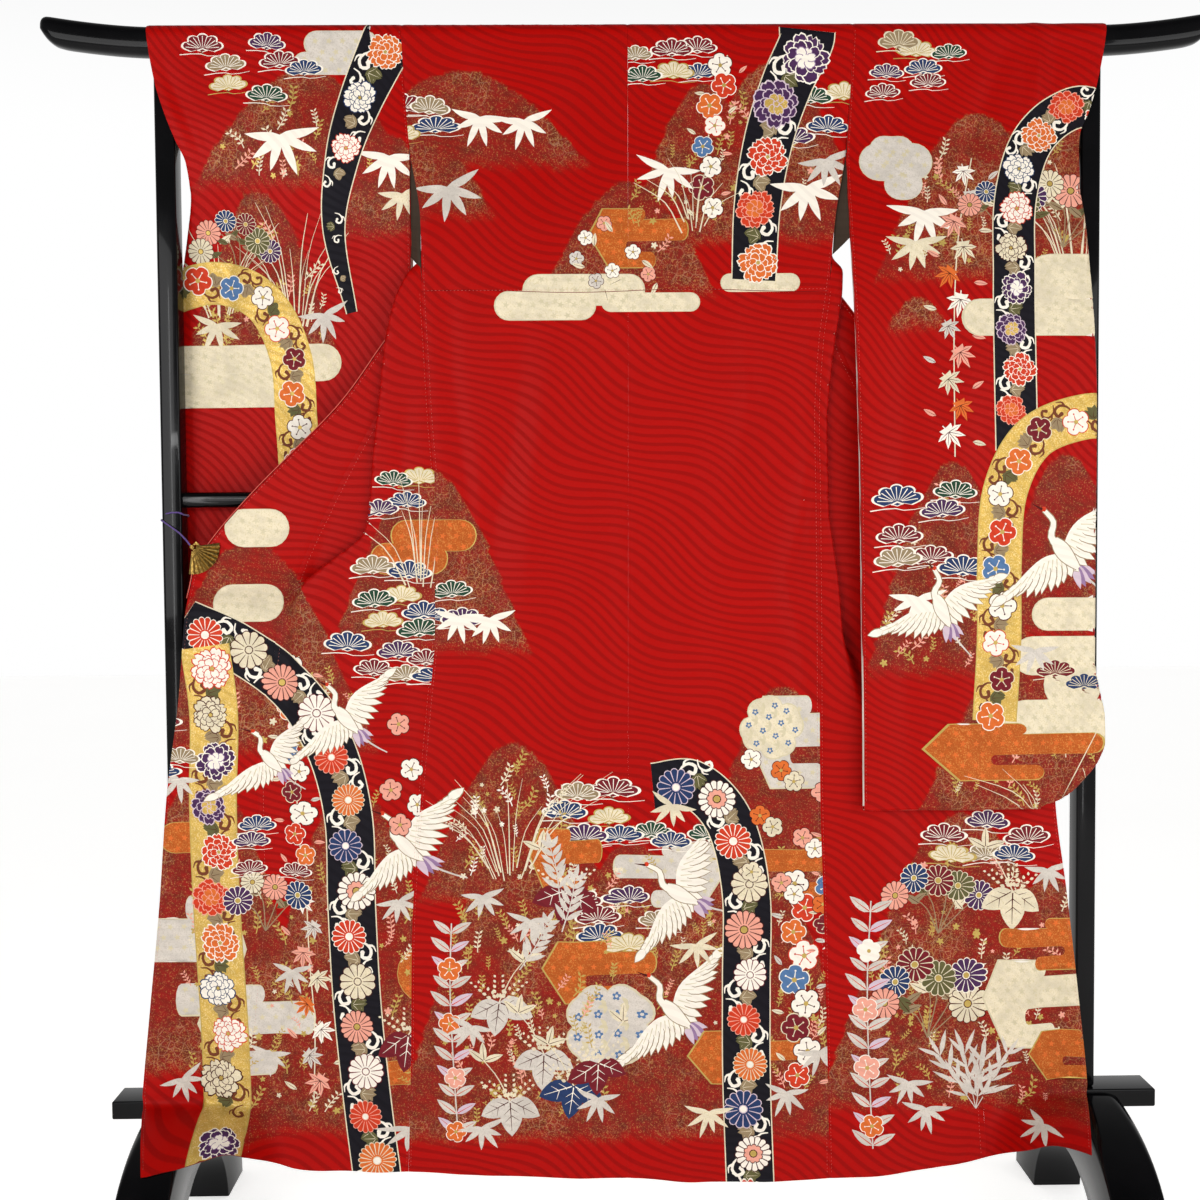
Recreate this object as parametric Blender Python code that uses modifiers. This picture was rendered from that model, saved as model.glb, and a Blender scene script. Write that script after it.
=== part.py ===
"""A furisode hung over a black lacquered kimono stand, seen from the garment's back.

Metres, +Z up. X runs across the stand, the garment's back faces -Y, and the floor is Z = 0.
The cloth is worked out in a plan of its own for each side: out is the distance from the
garment's middle, away from the centre back seam, depth is Y, and z is the height.
"""

import math

import bmesh
import bpy

# The stand
RAIL_HALF = 0.820
RAIL_Z = 1.711
RAIL_HALF_HEIGHT = 0.020
RAIL_HALF_DEPTH = 0.018
RAIL_SQUARENESS = 2.8
RAIL_RISE = 0.0165
RAIL_RISE_FROM = 0.665
RAIL_TIP_SLANT = 0.012
POST_OUT = 0.663
POST_WIDTH = 0.028
POST_DEPTH = 0.034
MIDDLE_RAIL_Z = 1.0715
MIDDLE_RAIL_HEIGHT = 0.022
LOWER_RAIL_HALF = 0.7477
LOWER_RAIL_DEPTH = 0.055
LOWER_RAIL_TOP = 0.216
LOWER_RAIL_HEIGHT = 0.026
FOOT_IN = 0.626
FOOT_OUT = 0.699
FOOT_RADIUS = 0.230
FOOT_HOLLOW = 0.138
FOOT_CENTRE_Z = -0.018
FOOT_CROWN_ROUND = 0.022
FOOT_TOE_ROUND = 0.004

# The cloth
CLOTH = 0.0016
LINING = 0.0010
LINING_BEHIND = 0.0018
SEAM_GAP = 0.0003
OFF_RAIL = 0.0014
BEND = 0.003
TIP = 0.012
COLLAR_WIDTH = 0.055
COLLAR_BACK = 0.0046
COLLAR_CLEAR = 0.006
TWIST_Z = 1.410
ARMHOLE_Z = 1.552
SIDE_SEAM_TOP = 1.385
WRIST_CLOSED_Z = 1.505
NECK_BACK_Z = 1.690
KENSAKI_Z = 1.400
COLLAR_END_Z = 0.930
SLEEVE_EDGE_ROUND = 0.004
LEVEL_HEM = 0.105
LEVEL_FREE = 0.500
DRAPE_Z = 0.225

# The centre back seam leans a little to the left as it goes down
CENTRE_TOP = -0.002
CENTRE_LEAN = -0.0065

BODY_EDGE = (
    ("z", "left", "right"),
    (1.733, 0.3170, 0.3170),
    (1.560, 0.3045, 0.3060),
    (1.460, 0.2890, 0.2900),
    (1.360, 0.2865, 0.2800),
    (1.280, 0.2820, 0.2690),
    (1.180, 0.2765, 0.2640),
    (1.080, 0.2700, 0.2660),
    (0.880, 0.2710, 0.2690),
    (0.780, 0.2800, 0.2700),
    (0.640, 0.2930, 0.2720),
    (0.450, 0.3060, 0.2790),
    (0.250, 0.3090, 0.2850),
    (0.080, 0.3140, 0.2890),
)

BACK_DEPTH = (
    ("z", "depth"),
    (1.711, -0.0194),
    (1.600, -0.0220),
    (1.450, -0.0310),
    (1.300, -0.0370),
    (1.000, -0.0390),
    (0.600, -0.0370),
    (0.080, -0.0350),
)

# The fronts hang behind the rail, come forward under it and open out beside the back. Each
# is folded on itself: a near layer out to a lip, a return behind it and a third layer out.
LEFT_FOLD = (
    ("z", "behind", "near", "lip_turn", "fold_out", "fold_turn", "seam_out"),
    (1.711, 0.0388, 0.004, 0, 0.030, 0, 0.0001),
    (1.690, 0.0392, 0.004, 0, 0.030, 0, 0.0001),
    (1.684, 0.0392, 0.004, 0, 0.060, 0, 0.0500),
    (1.670, 0.0392, 0.004, 0, 0.088, 20, 0.0760),
    (1.640, 0.0390, 0.004, 0, 0.092, 100, 0.0950),
    (1.600, 0.0380, 0.004, 0, 0.095, 170, 0.1270),
    (1.520, 0.0290, 0.004, 0, 0.107, 180, 0.1760),
    (1.450, 0.0150, 0.004, 0, 0.125, 180, 0.2190),
    (1.425, 0.0090, 0.004, 0, 0.133, 180, 0.2340),
    (1.405, 0.0045, 0.004, 90, 0.140, 180, 0.2460),
    (1.385, 0.0000, 0.016, 180, 0.150, 180, 0.2560),
    (1.352, 0.0000, 0.034, 180, 0.168, 180, 0.2700),
    (1.289, 0.0000, 0.053, 180, 0.212, 180, 0.2960),
    (1.187, 0.0000, 0.070, 180, 0.256, 180, 0.3525),
    (1.110, 0.0000, 0.084, 180, 0.290, 180, 0.3950),
    (1.035, 0.0000, 0.092, 180, 0.318, 180, 0.4330),
    (1.020, 0.0000, 0.098, 180, 0.328, 180, 0.4405),
    (0.985, 0.0000, 0.142, 176, 0.382, 176, 0.4570),
    (0.955, 0.0000, 0.180, 150, 0.430, 150, 0.4710),
    (0.935, 0.0000, 0.188, 80, 0.470, 80, 0.4800),
    (0.910, 0.0000, 0.186, 45, 0.474, 45, 0.4910),
    (0.850, 0.0000, 0.180, 30, 0.478, 30, 0.4990),
    (0.709, 0.0000, 0.170, 16, 0.482, 16, 0.5220),
    (0.510, 0.0000, 0.160, 10, 0.480, 10, 0.5205),
    (0.339, 0.0000, 0.160, 8, 0.484, 8, 0.5350),
    (0.080, 0.0000, 0.160, 8, 0.488, 8, 0.5530),
)

RIGHT_FOLD = (
    ("z", "behind", "near", "lip_turn", "fold_out", "fold_turn", "seam_out"),
    (1.711, 0.0388, 0.004, 0, 0.030, 0, 0.0001),
    (1.690, 0.0392, 0.004, 0, 0.030, 0, 0.0001),
    (1.684, 0.0392, 0.004, 0, 0.060, 0, 0.0500),
    (1.670, 0.0392, 0.004, 0, 0.088, 20, 0.0760),
    (1.640, 0.0390, 0.004, 0, 0.092, 100, 0.0950),
    (1.600, 0.0380, 0.004, 0, 0.095, 170, 0.1270),
    (1.520, 0.0290, 0.004, 0, 0.107, 180, 0.1760),
    (1.450, 0.0150, 0.004, 0, 0.125, 180, 0.2190),
    (1.425, 0.0090, 0.004, 0, 0.133, 180, 0.2340),
    (1.405, 0.0045, 0.004, 90, 0.140, 180, 0.2460),
    (1.385, 0.0000, 0.014, 180, 0.150, 180, 0.2560),
    (1.320, 0.0000, 0.018, 180, 0.168, 180, 0.2840),
    (1.266, 0.0000, 0.016, 180, 0.185, 180, 0.3050),
    (1.160, 0.0000, 0.012, 180, 0.205, 180, 0.3600),
    (1.106, 0.0000, 0.012, 180, 0.215, 180, 0.3880),
    (1.053, 0.0000, 0.012, 180, 0.225, 180, 0.4120),
    (1.000, 0.0000, 0.018, 180, 0.238, 180, 0.4320),
    (0.946, 0.0000, 0.025, 180, 0.254, 180, 0.4500),
    (0.905, 0.0000, 0.028, 176, 0.270, 176, 0.4600),
    (0.875, 0.0000, 0.030, 150, 0.284, 150, 0.4660),
    (0.850, 0.0000, 0.034, 80, 0.320, 80, 0.4700),
    (0.820, 0.0000, 0.040, 45, 0.340, 45, 0.4730),
    (0.760, 0.0000, 0.060, 30, 0.360, 30, 0.4750),
    (0.640, 0.0000, 0.090, 16, 0.400, 16, 0.4760),
    (0.495, 0.0000, 0.120, 10, 0.430, 10, 0.4837),
    (0.351, 0.0000, 0.130, 8, 0.440, 8, 0.4985),
    (0.080, 0.0000, 0.140, 8, 0.450, 8, 0.5160),
)

# The front edge: the collar seam down to the collar's end, then the okumi's own edge
FRONT_EDGE = (
    ("z", "left", "right"),
    (1.400, 0.2560, 0.2560),
    (1.352, 0.2920, 0.2960),
    (1.289, 0.3400, 0.3430),
    (1.208, 0.3985, 0.4020),
    (1.130, 0.4750, 0.4700),
    (1.088, 0.5175, 0.5060),
    (1.012, 0.5850, 0.5650),
    (0.969, 0.6126, 0.5900),
    (0.930, 0.6217, 0.5990),
    (0.790, 0.6328, 0.6040),
    (0.650, 0.6509, 0.6070),
    (0.500, 0.6625, 0.6260),
    (0.350, 0.6785, 0.6447),
    (0.238, 0.6905, 0.6580),
    (0.200, 0.6935, 0.6610),
    (0.080, 0.6935, 0.6610),
)

# How high the hem hangs, before the corners come forward over the feet
HEM = (
    ("x", "z"),
    (-0.700, 0.0840),
    (-0.640, 0.1000),
    (-0.560, 0.1210),
    (-0.409, 0.1164),
    (-0.295, 0.1120),
    (-0.150, 0.1040),
    (0.000, 0.0994),
    (0.133, 0.0930),
    (0.277, 0.0954),
    (0.377, 0.1028),
    (0.514, 0.1184),
    (0.600, 0.1120),
    (0.670, 0.0900),
)

# A sleeve's edges, and the depth of its front and back layers at the inner and outer edge
LEFT_SLEEVE = (
    ("z", "inner", "outer", "front_in", "front_out", "back_in", "back_out"),
    (1.7330, 0.3170, 0.6700, -0.0194, -0.0194, 0.0194, 0.0194),
    (1.7110, 0.3165, 0.6680, -0.0194, -0.0194, 0.0194, 0.0194),
    (1.6500, 0.3110, 0.6575, -0.0200, -0.0200, 0.0175, 0.0205),
    (1.6080, 0.3080, 0.6446, -0.0215, -0.0205, 0.0165, 0.0205),
    (1.5700, 0.3052, 0.6302, -0.0235, -0.0170, 0.0130, 0.0190),
    (1.5420, 0.3045, 0.6183, -0.0225, -0.0110, 0.0150, 0.0150),
    (1.5050, 0.3050, 0.6150, -0.0190, -0.0020, 0.0190, 0.0085),
    (1.4500, 0.3054, 0.6240, -0.0150, 0.0130, 0.0210, 0.0230),
    (1.4000, 0.3054, 0.6340, -0.0130, 0.0210, 0.0230, 0.0330),
    (1.3000, 0.3056, 0.6500, -0.0080, 0.0225, 0.0260, 0.0360),
    (1.2000, 0.3060, 0.6540, 0.0010, 0.0225, 0.0300, 0.0380),
    (1.1000, 0.3065, 0.6550, 0.0140, 0.0225, 0.0340, 0.0390),
    (0.8400, 0.3085, 0.6550, 0.0165, 0.0225, 0.0360, 0.0390),
    (0.7600, 0.3100, 0.6540, 0.0170, 0.0225, 0.0360, 0.0390),
    (0.7240, 0.3105, 0.6500, 0.0175, 0.0225, 0.0355, 0.0385),
    (0.6960, 0.3110, 0.6400, 0.0180, 0.0230, 0.0340, 0.0370),
    (0.6700, 0.3115, 0.6250, 0.0180, 0.0235, 0.0325, 0.0350),
    (0.6500, 0.3120, 0.6050, 0.0180, 0.0240, 0.0310, 0.0340),
    (0.6360, 0.3120, 0.5800, 0.0180, 0.0240, 0.0300, 0.0330),
    (0.6285, 0.3120, 0.5500, 0.0180, 0.0240, 0.0300, 0.0330),
)

RIGHT_SLEEVE = (
    ("z", "inner", "outer", "front_in", "front_out", "back_in", "back_out"),
    (1.7330, 0.3170, 0.6720, -0.0194, -0.0194, 0.0194, 0.0194),
    (1.7110, 0.3165, 0.6700, -0.0194, -0.0194, 0.0194, 0.0194),
    (1.6500, 0.3120, 0.6590, -0.0215, -0.0215, 0.0175, 0.0205),
    (1.6080, 0.3085, 0.6470, -0.0235, -0.0235, 0.0165, 0.0205),
    (1.5700, 0.3065, 0.6320, -0.0265, -0.0270, 0.0130, 0.0170),
    (1.5420, 0.3055, 0.6300, -0.0300, -0.0310, 0.0060, 0.0040),
    (1.5050, 0.3060, 0.6305, -0.0360, -0.0350, -0.0090, -0.0240),
    (1.4500, 0.3080, 0.6380, -0.0450, -0.0400, -0.0300, -0.0300),
    (1.4000, 0.3100, 0.6420, -0.0510, -0.0450, -0.0400, -0.0340),
    (1.3000, 0.3150, 0.6490, -0.0570, -0.0510, -0.0450, -0.0400),
    (1.2000, 0.3185, 0.6518, -0.0590, -0.0560, -0.0460, -0.0440),
    (1.1000, 0.3220, 0.6520, -0.0600, -0.0580, -0.0460, -0.0450),
    (0.8400, 0.3270, 0.6530, -0.0600, -0.0580, -0.0460, -0.0450),
    (0.7950, 0.3280, 0.6605, -0.0600, -0.0580, -0.0460, -0.0450),
    (0.7600, 0.3285, 0.6680, -0.0600, -0.0580, -0.0460, -0.0450),
    (0.7240, 0.3290, 0.6693, -0.0600, -0.0580, -0.0460, -0.0450),
    (0.6960, 0.3292, 0.6600, -0.0600, -0.0580, -0.0460, -0.0450),
    (0.6700, 0.3295, 0.6400, -0.0600, -0.0580, -0.0460, -0.0450),
    (0.6500, 0.3298, 0.6200, -0.0600, -0.0580, -0.0460, -0.0450),
    (0.6360, 0.3300, 0.5930, -0.0600, -0.0580, -0.0460, -0.0450),
    (0.6285, 0.3300, 0.5600, -0.0600, -0.0580, -0.0460, -0.0450),
)

# Soft folds that run down the cloth: where they are at the hem, how wide and how deep
HEM_FOLDS = (
    ("x", "width", "depth"),
    (-0.560, 0.030, 0.006),
    (-0.455, 0.040, 0.004),
    (-0.370, 0.030, 0.006),
    (-0.235, 0.045, 0.005),
    (-0.090, 0.050, 0.004),
    (0.070, 0.040, 0.007),
    (0.190, 0.045, 0.005),
    (0.345, 0.035, 0.006),
    (0.450, 0.030, 0.005),
    (0.560, 0.030, 0.006),
)

# How finely each piece is divided
FOLD_COUNTS = (3, 3, 3, 3, 4)
OKUMI_ACROSS = 4
SLEEVE_ACROSS = 6
WRAP_TURNS = (-72, -54, -36, -18, 0, 18, 36, 54, 72)
BACK_LEVELS = (
    0.105, 0.165, 0.190, 0.225, 0.320, 0.400, 0.500, 0.620, 0.740, 0.850,
    1.020, 1.187, 1.289, 1.385, 1.450, 1.520, 1.600, 1.650, 1.690, 1.711,
)
FRONT_LEVELS = (
    0.105, 0.135, 0.165, 0.190, 0.210, 0.225, 0.260, 0.320, 0.400, 0.500,
    0.620, 0.740, 0.820, 0.850, 0.880, 0.905, 0.930, 0.945, 0.965, 0.985,
    1.020, 1.088, 1.187, 1.289, 1.352, 1.385, 1.400, 1.425, 1.450, 1.520,
    1.560, 1.600, 1.650, 1.670, 1.684, 1.690, 1.711,
)
SLEEVE_LEVELS = (
    0.6285, 0.636, 0.650, 0.670, 0.696, 0.724, 0.760, 0.795, 0.840, 0.950, 1.100,
    1.200, 1.300, 1.400, 1.450, 1.505, 1.542, 1.560, 1.600, 1.650, 1.690, 1.711,
)

# Across the collar, hanging from the back neck and folded behind the fronts: how far in from
# the seam, and how far behind it
COLLAR_SECTION = (
    ("hanging_in", "hanging_back", "folded_in", "folded_back"),
    (0.0012, 0.0, -0.0012, -0.0004),
    (0.0050, 0.0012, -0.0027, 0.0008),
    (0.0100, 0.0025, -0.0025, 0.0032),
    (0.0180, 0.0040, 0.0, COLLAR_BACK),
    (0.0320, 0.0050, 0.020, COLLAR_BACK),
    (COLLAR_WIDTH, 0.0060, COLLAR_WIDTH, COLLAR_BACK),
)

# The clip: its pivot across and up, and its fan
CLIP_PIVOT = (-0.6175, 1.005)
CLIP_INNER = 0.006
CLIP_OUTER = 0.038
CLIP_FROM = 8
CLIP_TO = -98
CLIP_RIBS = 10
CLIP_PLEAT = 0.0013
CLIP_SHEET = 0.0010
CLIP_SEAT = 0.0008
CLIP_PIN = 0.0032
CORD_WIDTH = 0.0022
CORD_PATH = (
    (-0.6201, -0.0300, 1.0076),
    (-0.6300, -0.0275, 1.0175),
    (-0.6420, -0.0240, 1.0280),
    (-0.6560, -0.0200, 1.0370),
    (-0.6635, -0.0175, 1.0420),
    (-0.6645, -0.0080, 1.0450),
    (-0.6645, 0.0050, 1.0480),
    (-0.6645, 0.0165, 1.0510),
    (-0.6630, 0.0185, 1.0520),
    (-0.6500, 0.0185, 1.0530),
    (-0.6350, 0.0185, 1.0545),
    (-0.6335, 0.0165, 1.0550),
    (-0.6335, 0.0040, 1.0555),
    (-0.6335, -0.0080, 1.0550),
    (-0.6345, -0.0180, 1.0540),
    (-0.6440, -0.0195, 1.0490),
)

FINISHES = {
    "silk": ((0.62, 0.02, 0.03), 0.45, 0.0),
    "lining": ((0.90, 0.87, 0.82), 0.6, 0.0),
    "lacquer": ((0.012, 0.012, 0.014), 0.15, 0.0),
    "brass": ((0.65, 0.50, 0.20), 0.35, 1.0),
    "purple_cord": ((0.13, 0.05, 0.30), 0.7, 0.0),
}


# Tables and curves


def slopes(xs, ys):
    """The slope at each row of a table that keeps the curve between rows from overshooting."""
    steps = [(ys[i + 1] - ys[i]) / (xs[i + 1] - xs[i]) for i in range(len(xs) - 1)]
    found = [steps[0]]
    for before, after in zip(steps, steps[1:]):
        if before * after <= 0:
            found.append(0.0)
        else:
            found.append(2 * before * after / (before + after))
    found.append(steps[-1])
    return found


def read(table, name, where):
    """A table's column at a place between its rows, on a smooth curve. The first column is the place."""
    heads = table[0]
    rows = sorted(table[1:])
    column = heads.index(name)
    xs = [row[0] for row in rows]
    ys = [row[column] for row in rows]
    if where <= xs[0]:
        return ys[0]
    if where >= xs[-1]:
        return ys[-1]
    k = max(i for i in range(len(xs) - 1) if xs[i] <= where)
    slope = slopes(xs, ys)
    span = xs[k + 1] - xs[k]
    t = (where - xs[k]) / span
    return (
        (1 + 2 * t) * (1 - t) ** 2 * ys[k]
        + t * (1 - t) ** 2 * span * slope[k]
        + t * t * (3 - 2 * t) * ys[k + 1]
        + t * t * (t - 1) * span * slope[k + 1]
    )


def ease(value, low, high):
    """0 at low, 1 at high, smooth between."""
    t = min(1.0, max(0.0, (value - low) / (high - low)))
    return t * t * (3 - 2 * t)


def blend(a, b, t):
    return a + (b - a) * t


# Making solids


def finish(name):
    colour, roughness, metallic = FINISHES[name]
    material = bpy.data.materials.get(name) or bpy.data.materials.new(name)
    material.use_nodes = True
    shader = material.node_tree.nodes["Principled BSDF"]
    shader.inputs["Base Color"].default_value = (*colour, 1.0)
    shader.inputs["Roughness"].default_value = roughness
    shader.inputs["Metallic"].default_value = metallic
    return material


def named_object(name, data, collection, material):
    body = bpy.data.objects.new(name, data)
    data.materials.append(finish(material))
    collection.objects.link(body)
    return body


def add_solidify(body, thickness):
    wall = body.modifiers.new("Wall", "SOLIDIFY")
    wall.thickness = thickness
    wall.offset = 0.0
    wall.use_even_offset = False
    wall.use_rim = True


def cloth(name, points, faces, collection, material="silk", thickness=CLOTH):
    """An open sheet given as points and faces, thickened to a wall about its own surface."""
    mesh = bpy.data.meshes.new(name)
    mesh.from_pydata(points, [], faces)
    mesh.validate()
    mesh.shade_smooth()
    body = named_object(name, mesh, collection, material)
    add_solidify(body, thickness)
    return body


def sheet(name, rows, collection, material="silk", thickness=CLOTH):
    """A sheet lofted through rows of points, as many in each."""
    wide = len(rows[0])
    points = [point for row in rows for point in row]
    faces = []
    for i in range(len(rows) - 1):
        for j in range(wide - 1):
            a = i * wide + j
            faces.append((a, a + 1, a + wide + 1, a + wide))
    return cloth(name, points, faces, collection, material, thickness)


def loft(name, rings, collection, material):
    """A solid through rings of points, with both end rings filled."""
    shape = bmesh.new()
    made = [[shape.verts.new(point) for point in ring] for ring in rings]
    count = len(rings[0])
    for ring, after in zip(made, made[1:]):
        for j in range(count):
            k = (j + 1) % count
            shape.faces.new((ring[j], ring[k], after[k], after[j]))
    shape.faces.new(made[0])
    shape.faces.new(made[-1])
    bmesh.ops.recalc_face_normals(shape, faces=shape.faces)
    mesh = bpy.data.meshes.new(name)
    shape.to_mesh(mesh)
    shape.free()
    return named_object(name, mesh, collection, material)


def block(name, low, high, collection, material, round_edge=0.0):
    """A box between two corners, its edges rounded."""
    shape = bmesh.new()
    bmesh.ops.create_cube(shape, size=1.0)
    size = [b - a for a, b in zip(low, high)]
    middle = [(a + b) / 2 for a, b in zip(low, high)]
    bmesh.ops.scale(shape, vec=size, verts=shape.verts)
    bmesh.ops.translate(shape, vec=middle, verts=shape.verts)
    mesh = bpy.data.meshes.new(name)
    shape.to_mesh(mesh)
    shape.free()
    body = named_object(name, mesh, collection, material)
    if round_edge:
        bevel = body.modifiers.new("Edges", "BEVEL")
        bevel.width = round_edge
        bevel.segments = 2
    return body


# The stand


def rail_section(across, middle, half_height, half_depth, squareness, count=20):
    ring = []
    for k in range(count):
        turn = math.tau * k / count
        c, s = math.cos(turn), math.sin(turn)
        y = half_depth * math.copysign(abs(c) ** (2 / squareness), c)
        z = middle + half_height * math.copysign(abs(s) ** (2 / squareness), s)
        ring.append((across, y, z))
    return ring


def top_rail(collection):
    rings = []
    stations = (0.0, 0.30, 0.60, 0.665, 0.70, 0.735, 0.77, 0.80, 0.812, RAIL_HALF)
    places = [-x for x in reversed(stations[1:])] + list(stations)
    for x in places:
        past = max(0.0, abs(x) - RAIL_RISE_FROM)
        rise = RAIL_RISE * (past / (RAIL_HALF - RAIL_RISE_FROM)) ** 1.6
        shrink = 1.0 - 0.45 * max(0.0, (abs(x) - 0.812) / 0.008)
        ring = rail_section(
            x,
            RAIL_Z + rise,
            RAIL_HALF_HEIGHT * shrink,
            RAIL_HALF_DEPTH * shrink,
            RAIL_SQUARENESS,
        )
        slant = RAIL_TIP_SLANT * ease(abs(x), 0.78, RAIL_HALF)
        leaned = []
        for px, py, pz in ring:
            under = max(0.0, (RAIL_Z + rise - pz) / RAIL_HALF_HEIGHT)
            leaned.append((px - math.copysign(slant * under, x), py, pz))
        rings.append(leaned)
    rail = loft("stand_top_rail", rings, collection, "lacquer")
    rail.data.shade_smooth()


def foot_ring(share, side):
    """A section across the foot: its outer, floor-reaching arc and its hollow under it."""
    outer_end = math.acos(-FOOT_CENTRE_Z / FOOT_RADIUS)
    inner_end = math.acos(-FOOT_CENTRE_Z / FOOT_HOLLOW)
    a, b = share * outer_end, share * inner_end
    top = (-FOOT_RADIUS * math.sin(a), FOOT_CENTRE_Z + FOOT_RADIUS * math.cos(a))
    under = (-FOOT_HOLLOW * math.sin(b), FOOT_CENTRE_Z + FOOT_HOLLOW * math.cos(b))
    if abs(share) == 1.0:
        top, under = (top[0], 0.0), (under[0], 0.0)
    length = math.dist(top, under)
    down = ((under[0] - top[0]) / length, (under[1] - top[1]) / length)
    curl = blend(FOOT_CROWN_ROUND, FOOT_TOE_ROUND, ease(abs(share), 0.10, 0.62))
    low, high = FOOT_IN, FOOT_OUT
    steps = 4
    corner = []
    for k in range(steps + 1):
        turn = math.pi / 2 * k / steps
        corner.append((low + curl * (1 - math.cos(turn)), curl * (1 - math.sin(turn))))
    outline = corner + [(low + high - x, d) for x, d in reversed(corner)]
    outline += [(high, length - 0.002), (high - 0.002, length)]
    outline += [(low + 0.002, length), (low, length - 0.002)]
    return [(side * x, top[0] + down[0] * d, top[1] + down[1] * d) for x, d in outline]


def foot(name, side, collection, cutters):
    shares = [-1.0, -0.86, -0.72, -0.58, -0.45, -0.32, -0.20, -0.09]
    shares = shares + [0.0] + [-s for s in reversed(shares)]
    rings = [foot_ring(share, side) for share in shares]
    body = loft(name, rings, collection, "lacquer")
    low = (side * 0.60, -LOWER_RAIL_DEPTH / 2 - SEAM_GAP)
    bottom = LOWER_RAIL_TOP - LOWER_RAIL_HEIGHT - SEAM_GAP
    ends = sorted((side * 0.60, side * 0.72))
    slot = block(
        name + "_slot",
        (ends[0], low[1], bottom),
        (ends[1], -low[1], 0.25),
        cutters,
        "lacquer",
    )
    slot.hide_render = True
    slot.display_type = "WIRE"
    cut = body.modifiers.new("Slot", "BOOLEAN")
    cut.operation = "DIFFERENCE"
    cut.object = slot
    cut.solver = "EXACT"


def stand(collection, cutters):
    top_rail(collection)
    half_depth = POST_DEPTH / 2
    post_top = RAIL_Z - RAIL_HALF_HEIGHT - SEAM_GAP
    for name, side in (("stand_post_left", -1), ("stand_post_right", 1)):
        ends = sorted((side * (POST_OUT - POST_WIDTH), side * POST_OUT))
        block(
            name,
            (ends[0], -half_depth, LOWER_RAIL_TOP + SEAM_GAP),
            (ends[1], half_depth, post_top),
            collection,
            "lacquer",
            0.004,
        )
    reach = POST_OUT - POST_WIDTH - SEAM_GAP
    rings = [
        rail_section(
            x, MIDDLE_RAIL_Z, MIDDLE_RAIL_HEIGHT / 2, MIDDLE_RAIL_HEIGHT / 2, 2.8, 16
        )
        for x in (-reach, 0.0, reach)
    ]
    loft("stand_middle_rail", rings, collection, "lacquer").data.shade_smooth()
    block(
        "stand_lower_rail",
        (-LOWER_RAIL_HALF, -LOWER_RAIL_DEPTH / 2, LOWER_RAIL_TOP - LOWER_RAIL_HEIGHT),
        (LOWER_RAIL_HALF, LOWER_RAIL_DEPTH / 2, LOWER_RAIL_TOP),
        collection,
        "lacquer",
        0.003,
    )
    foot("stand_foot_left", -1, collection, cutters)
    foot("stand_foot_right", 1, collection, cutters)


# The cloth's shape


def centre_x(z):
    return CENTRE_TOP + CENTRE_LEAN * (RAIL_Z - z)


def side_key(side):
    return "left" if side < 0 else "right"


def hem_folds(x, z):
    """How far the soft folds bring the cloth forward."""
    fade = ease(z, 1.05, 0.20)
    total = 0.0
    for place, width, depth in HEM_FOLDS[1:]:
        total += depth * math.exp(-(((x - place) / width) ** 2))
    return total * fade


def over_feet(x, depth, z):
    """Carries the corners of the hem forward over the arched feet, at the same length."""
    fallen = DRAPE_Z - z
    if fallen <= 0:
        return x, depth, z
    side = math.copysign(1.0, x)
    share = ease(abs(x), 0.470, 0.600)
    if share == 0:
        return x, depth, z
    radius = FOOT_RADIUS + CLOTH / 2 + 0.0012
    start = math.asin(-depth / radius)
    crown = FOOT_CENTRE_Z + radius * math.cos(start)
    drop = DRAPE_Z - crown

    def path(length):
        if length <= drop:
            return depth, DRAPE_Z - length
        turn = start + (length - drop) / radius
        return -radius * math.sin(turn), FOOT_CENTRE_Z + radius * math.cos(turn)

    spread = 0.009 * ease(fallen, 0.0, 0.012)
    tries = [path(fallen + k * spread) for k in (-1, 0, 0, 1)]
    over_y = sum(y for y, _ in tries) / 4
    over_z = sum(high for _, high in tries) / 4
    pulled = 0.036 * share * (fallen / 0.14)
    return x - side * pulled, blend(depth, over_y, share), blend(z, over_z, share)


def hung(side, out, depth, z):
    """A point of the cloth: its place across from the centre seam, its depth and its height."""
    return centre_x(z) + side * out, depth, z


def placed(side, out, depth, z):
    """The same with the soft folds near the hem and the drape over the feet."""
    x, _, _ = hung(side, out, depth, z)
    return over_feet(x, depth - hem_folds(x, z), z)


def wrap(turn):
    """The cloth over the rail: depth and height at an angle from the crest, front negative."""
    s, c = math.sin(turn), math.cos(turn)
    power = 2 / RAIL_SQUARENESS
    depth = math.copysign(abs(s) ** power, s) * (RAIL_HALF_DEPTH + OFF_RAIL)
    return depth, RAIL_Z + abs(c) ** power * (RAIL_HALF_HEIGHT + OFF_RAIL)


def height(side, out, level):
    """The real height of a level at this place: the low levels follow the hem."""
    if level >= LEVEL_FREE:
        return level
    hem = read(HEM, "z", centre_x(0.1) + side * out)
    share = (level - LEVEL_HEM) / (LEVEL_FREE - LEVEL_HEM)
    return blend(hem, LEVEL_FREE, share)


def on_seam(table, name, level):
    """A column read straight between the back's own levels, so both sides of a seam agree."""
    levels = BACK_LEVELS
    above = next((k for k, z in enumerate(levels) if z >= level), len(levels) - 1)
    low, high = levels[max(0, above - 1)], levels[above]
    if low == high:
        return read(table, name, high)
    share = min(1.0, (level - low) / (high - low))
    return blend(read(table, name, low), read(table, name, high), share)


def body_edge(side, level):
    return on_seam(BODY_EDGE, side_key(side), level) - SEAM_GAP / 2


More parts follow.
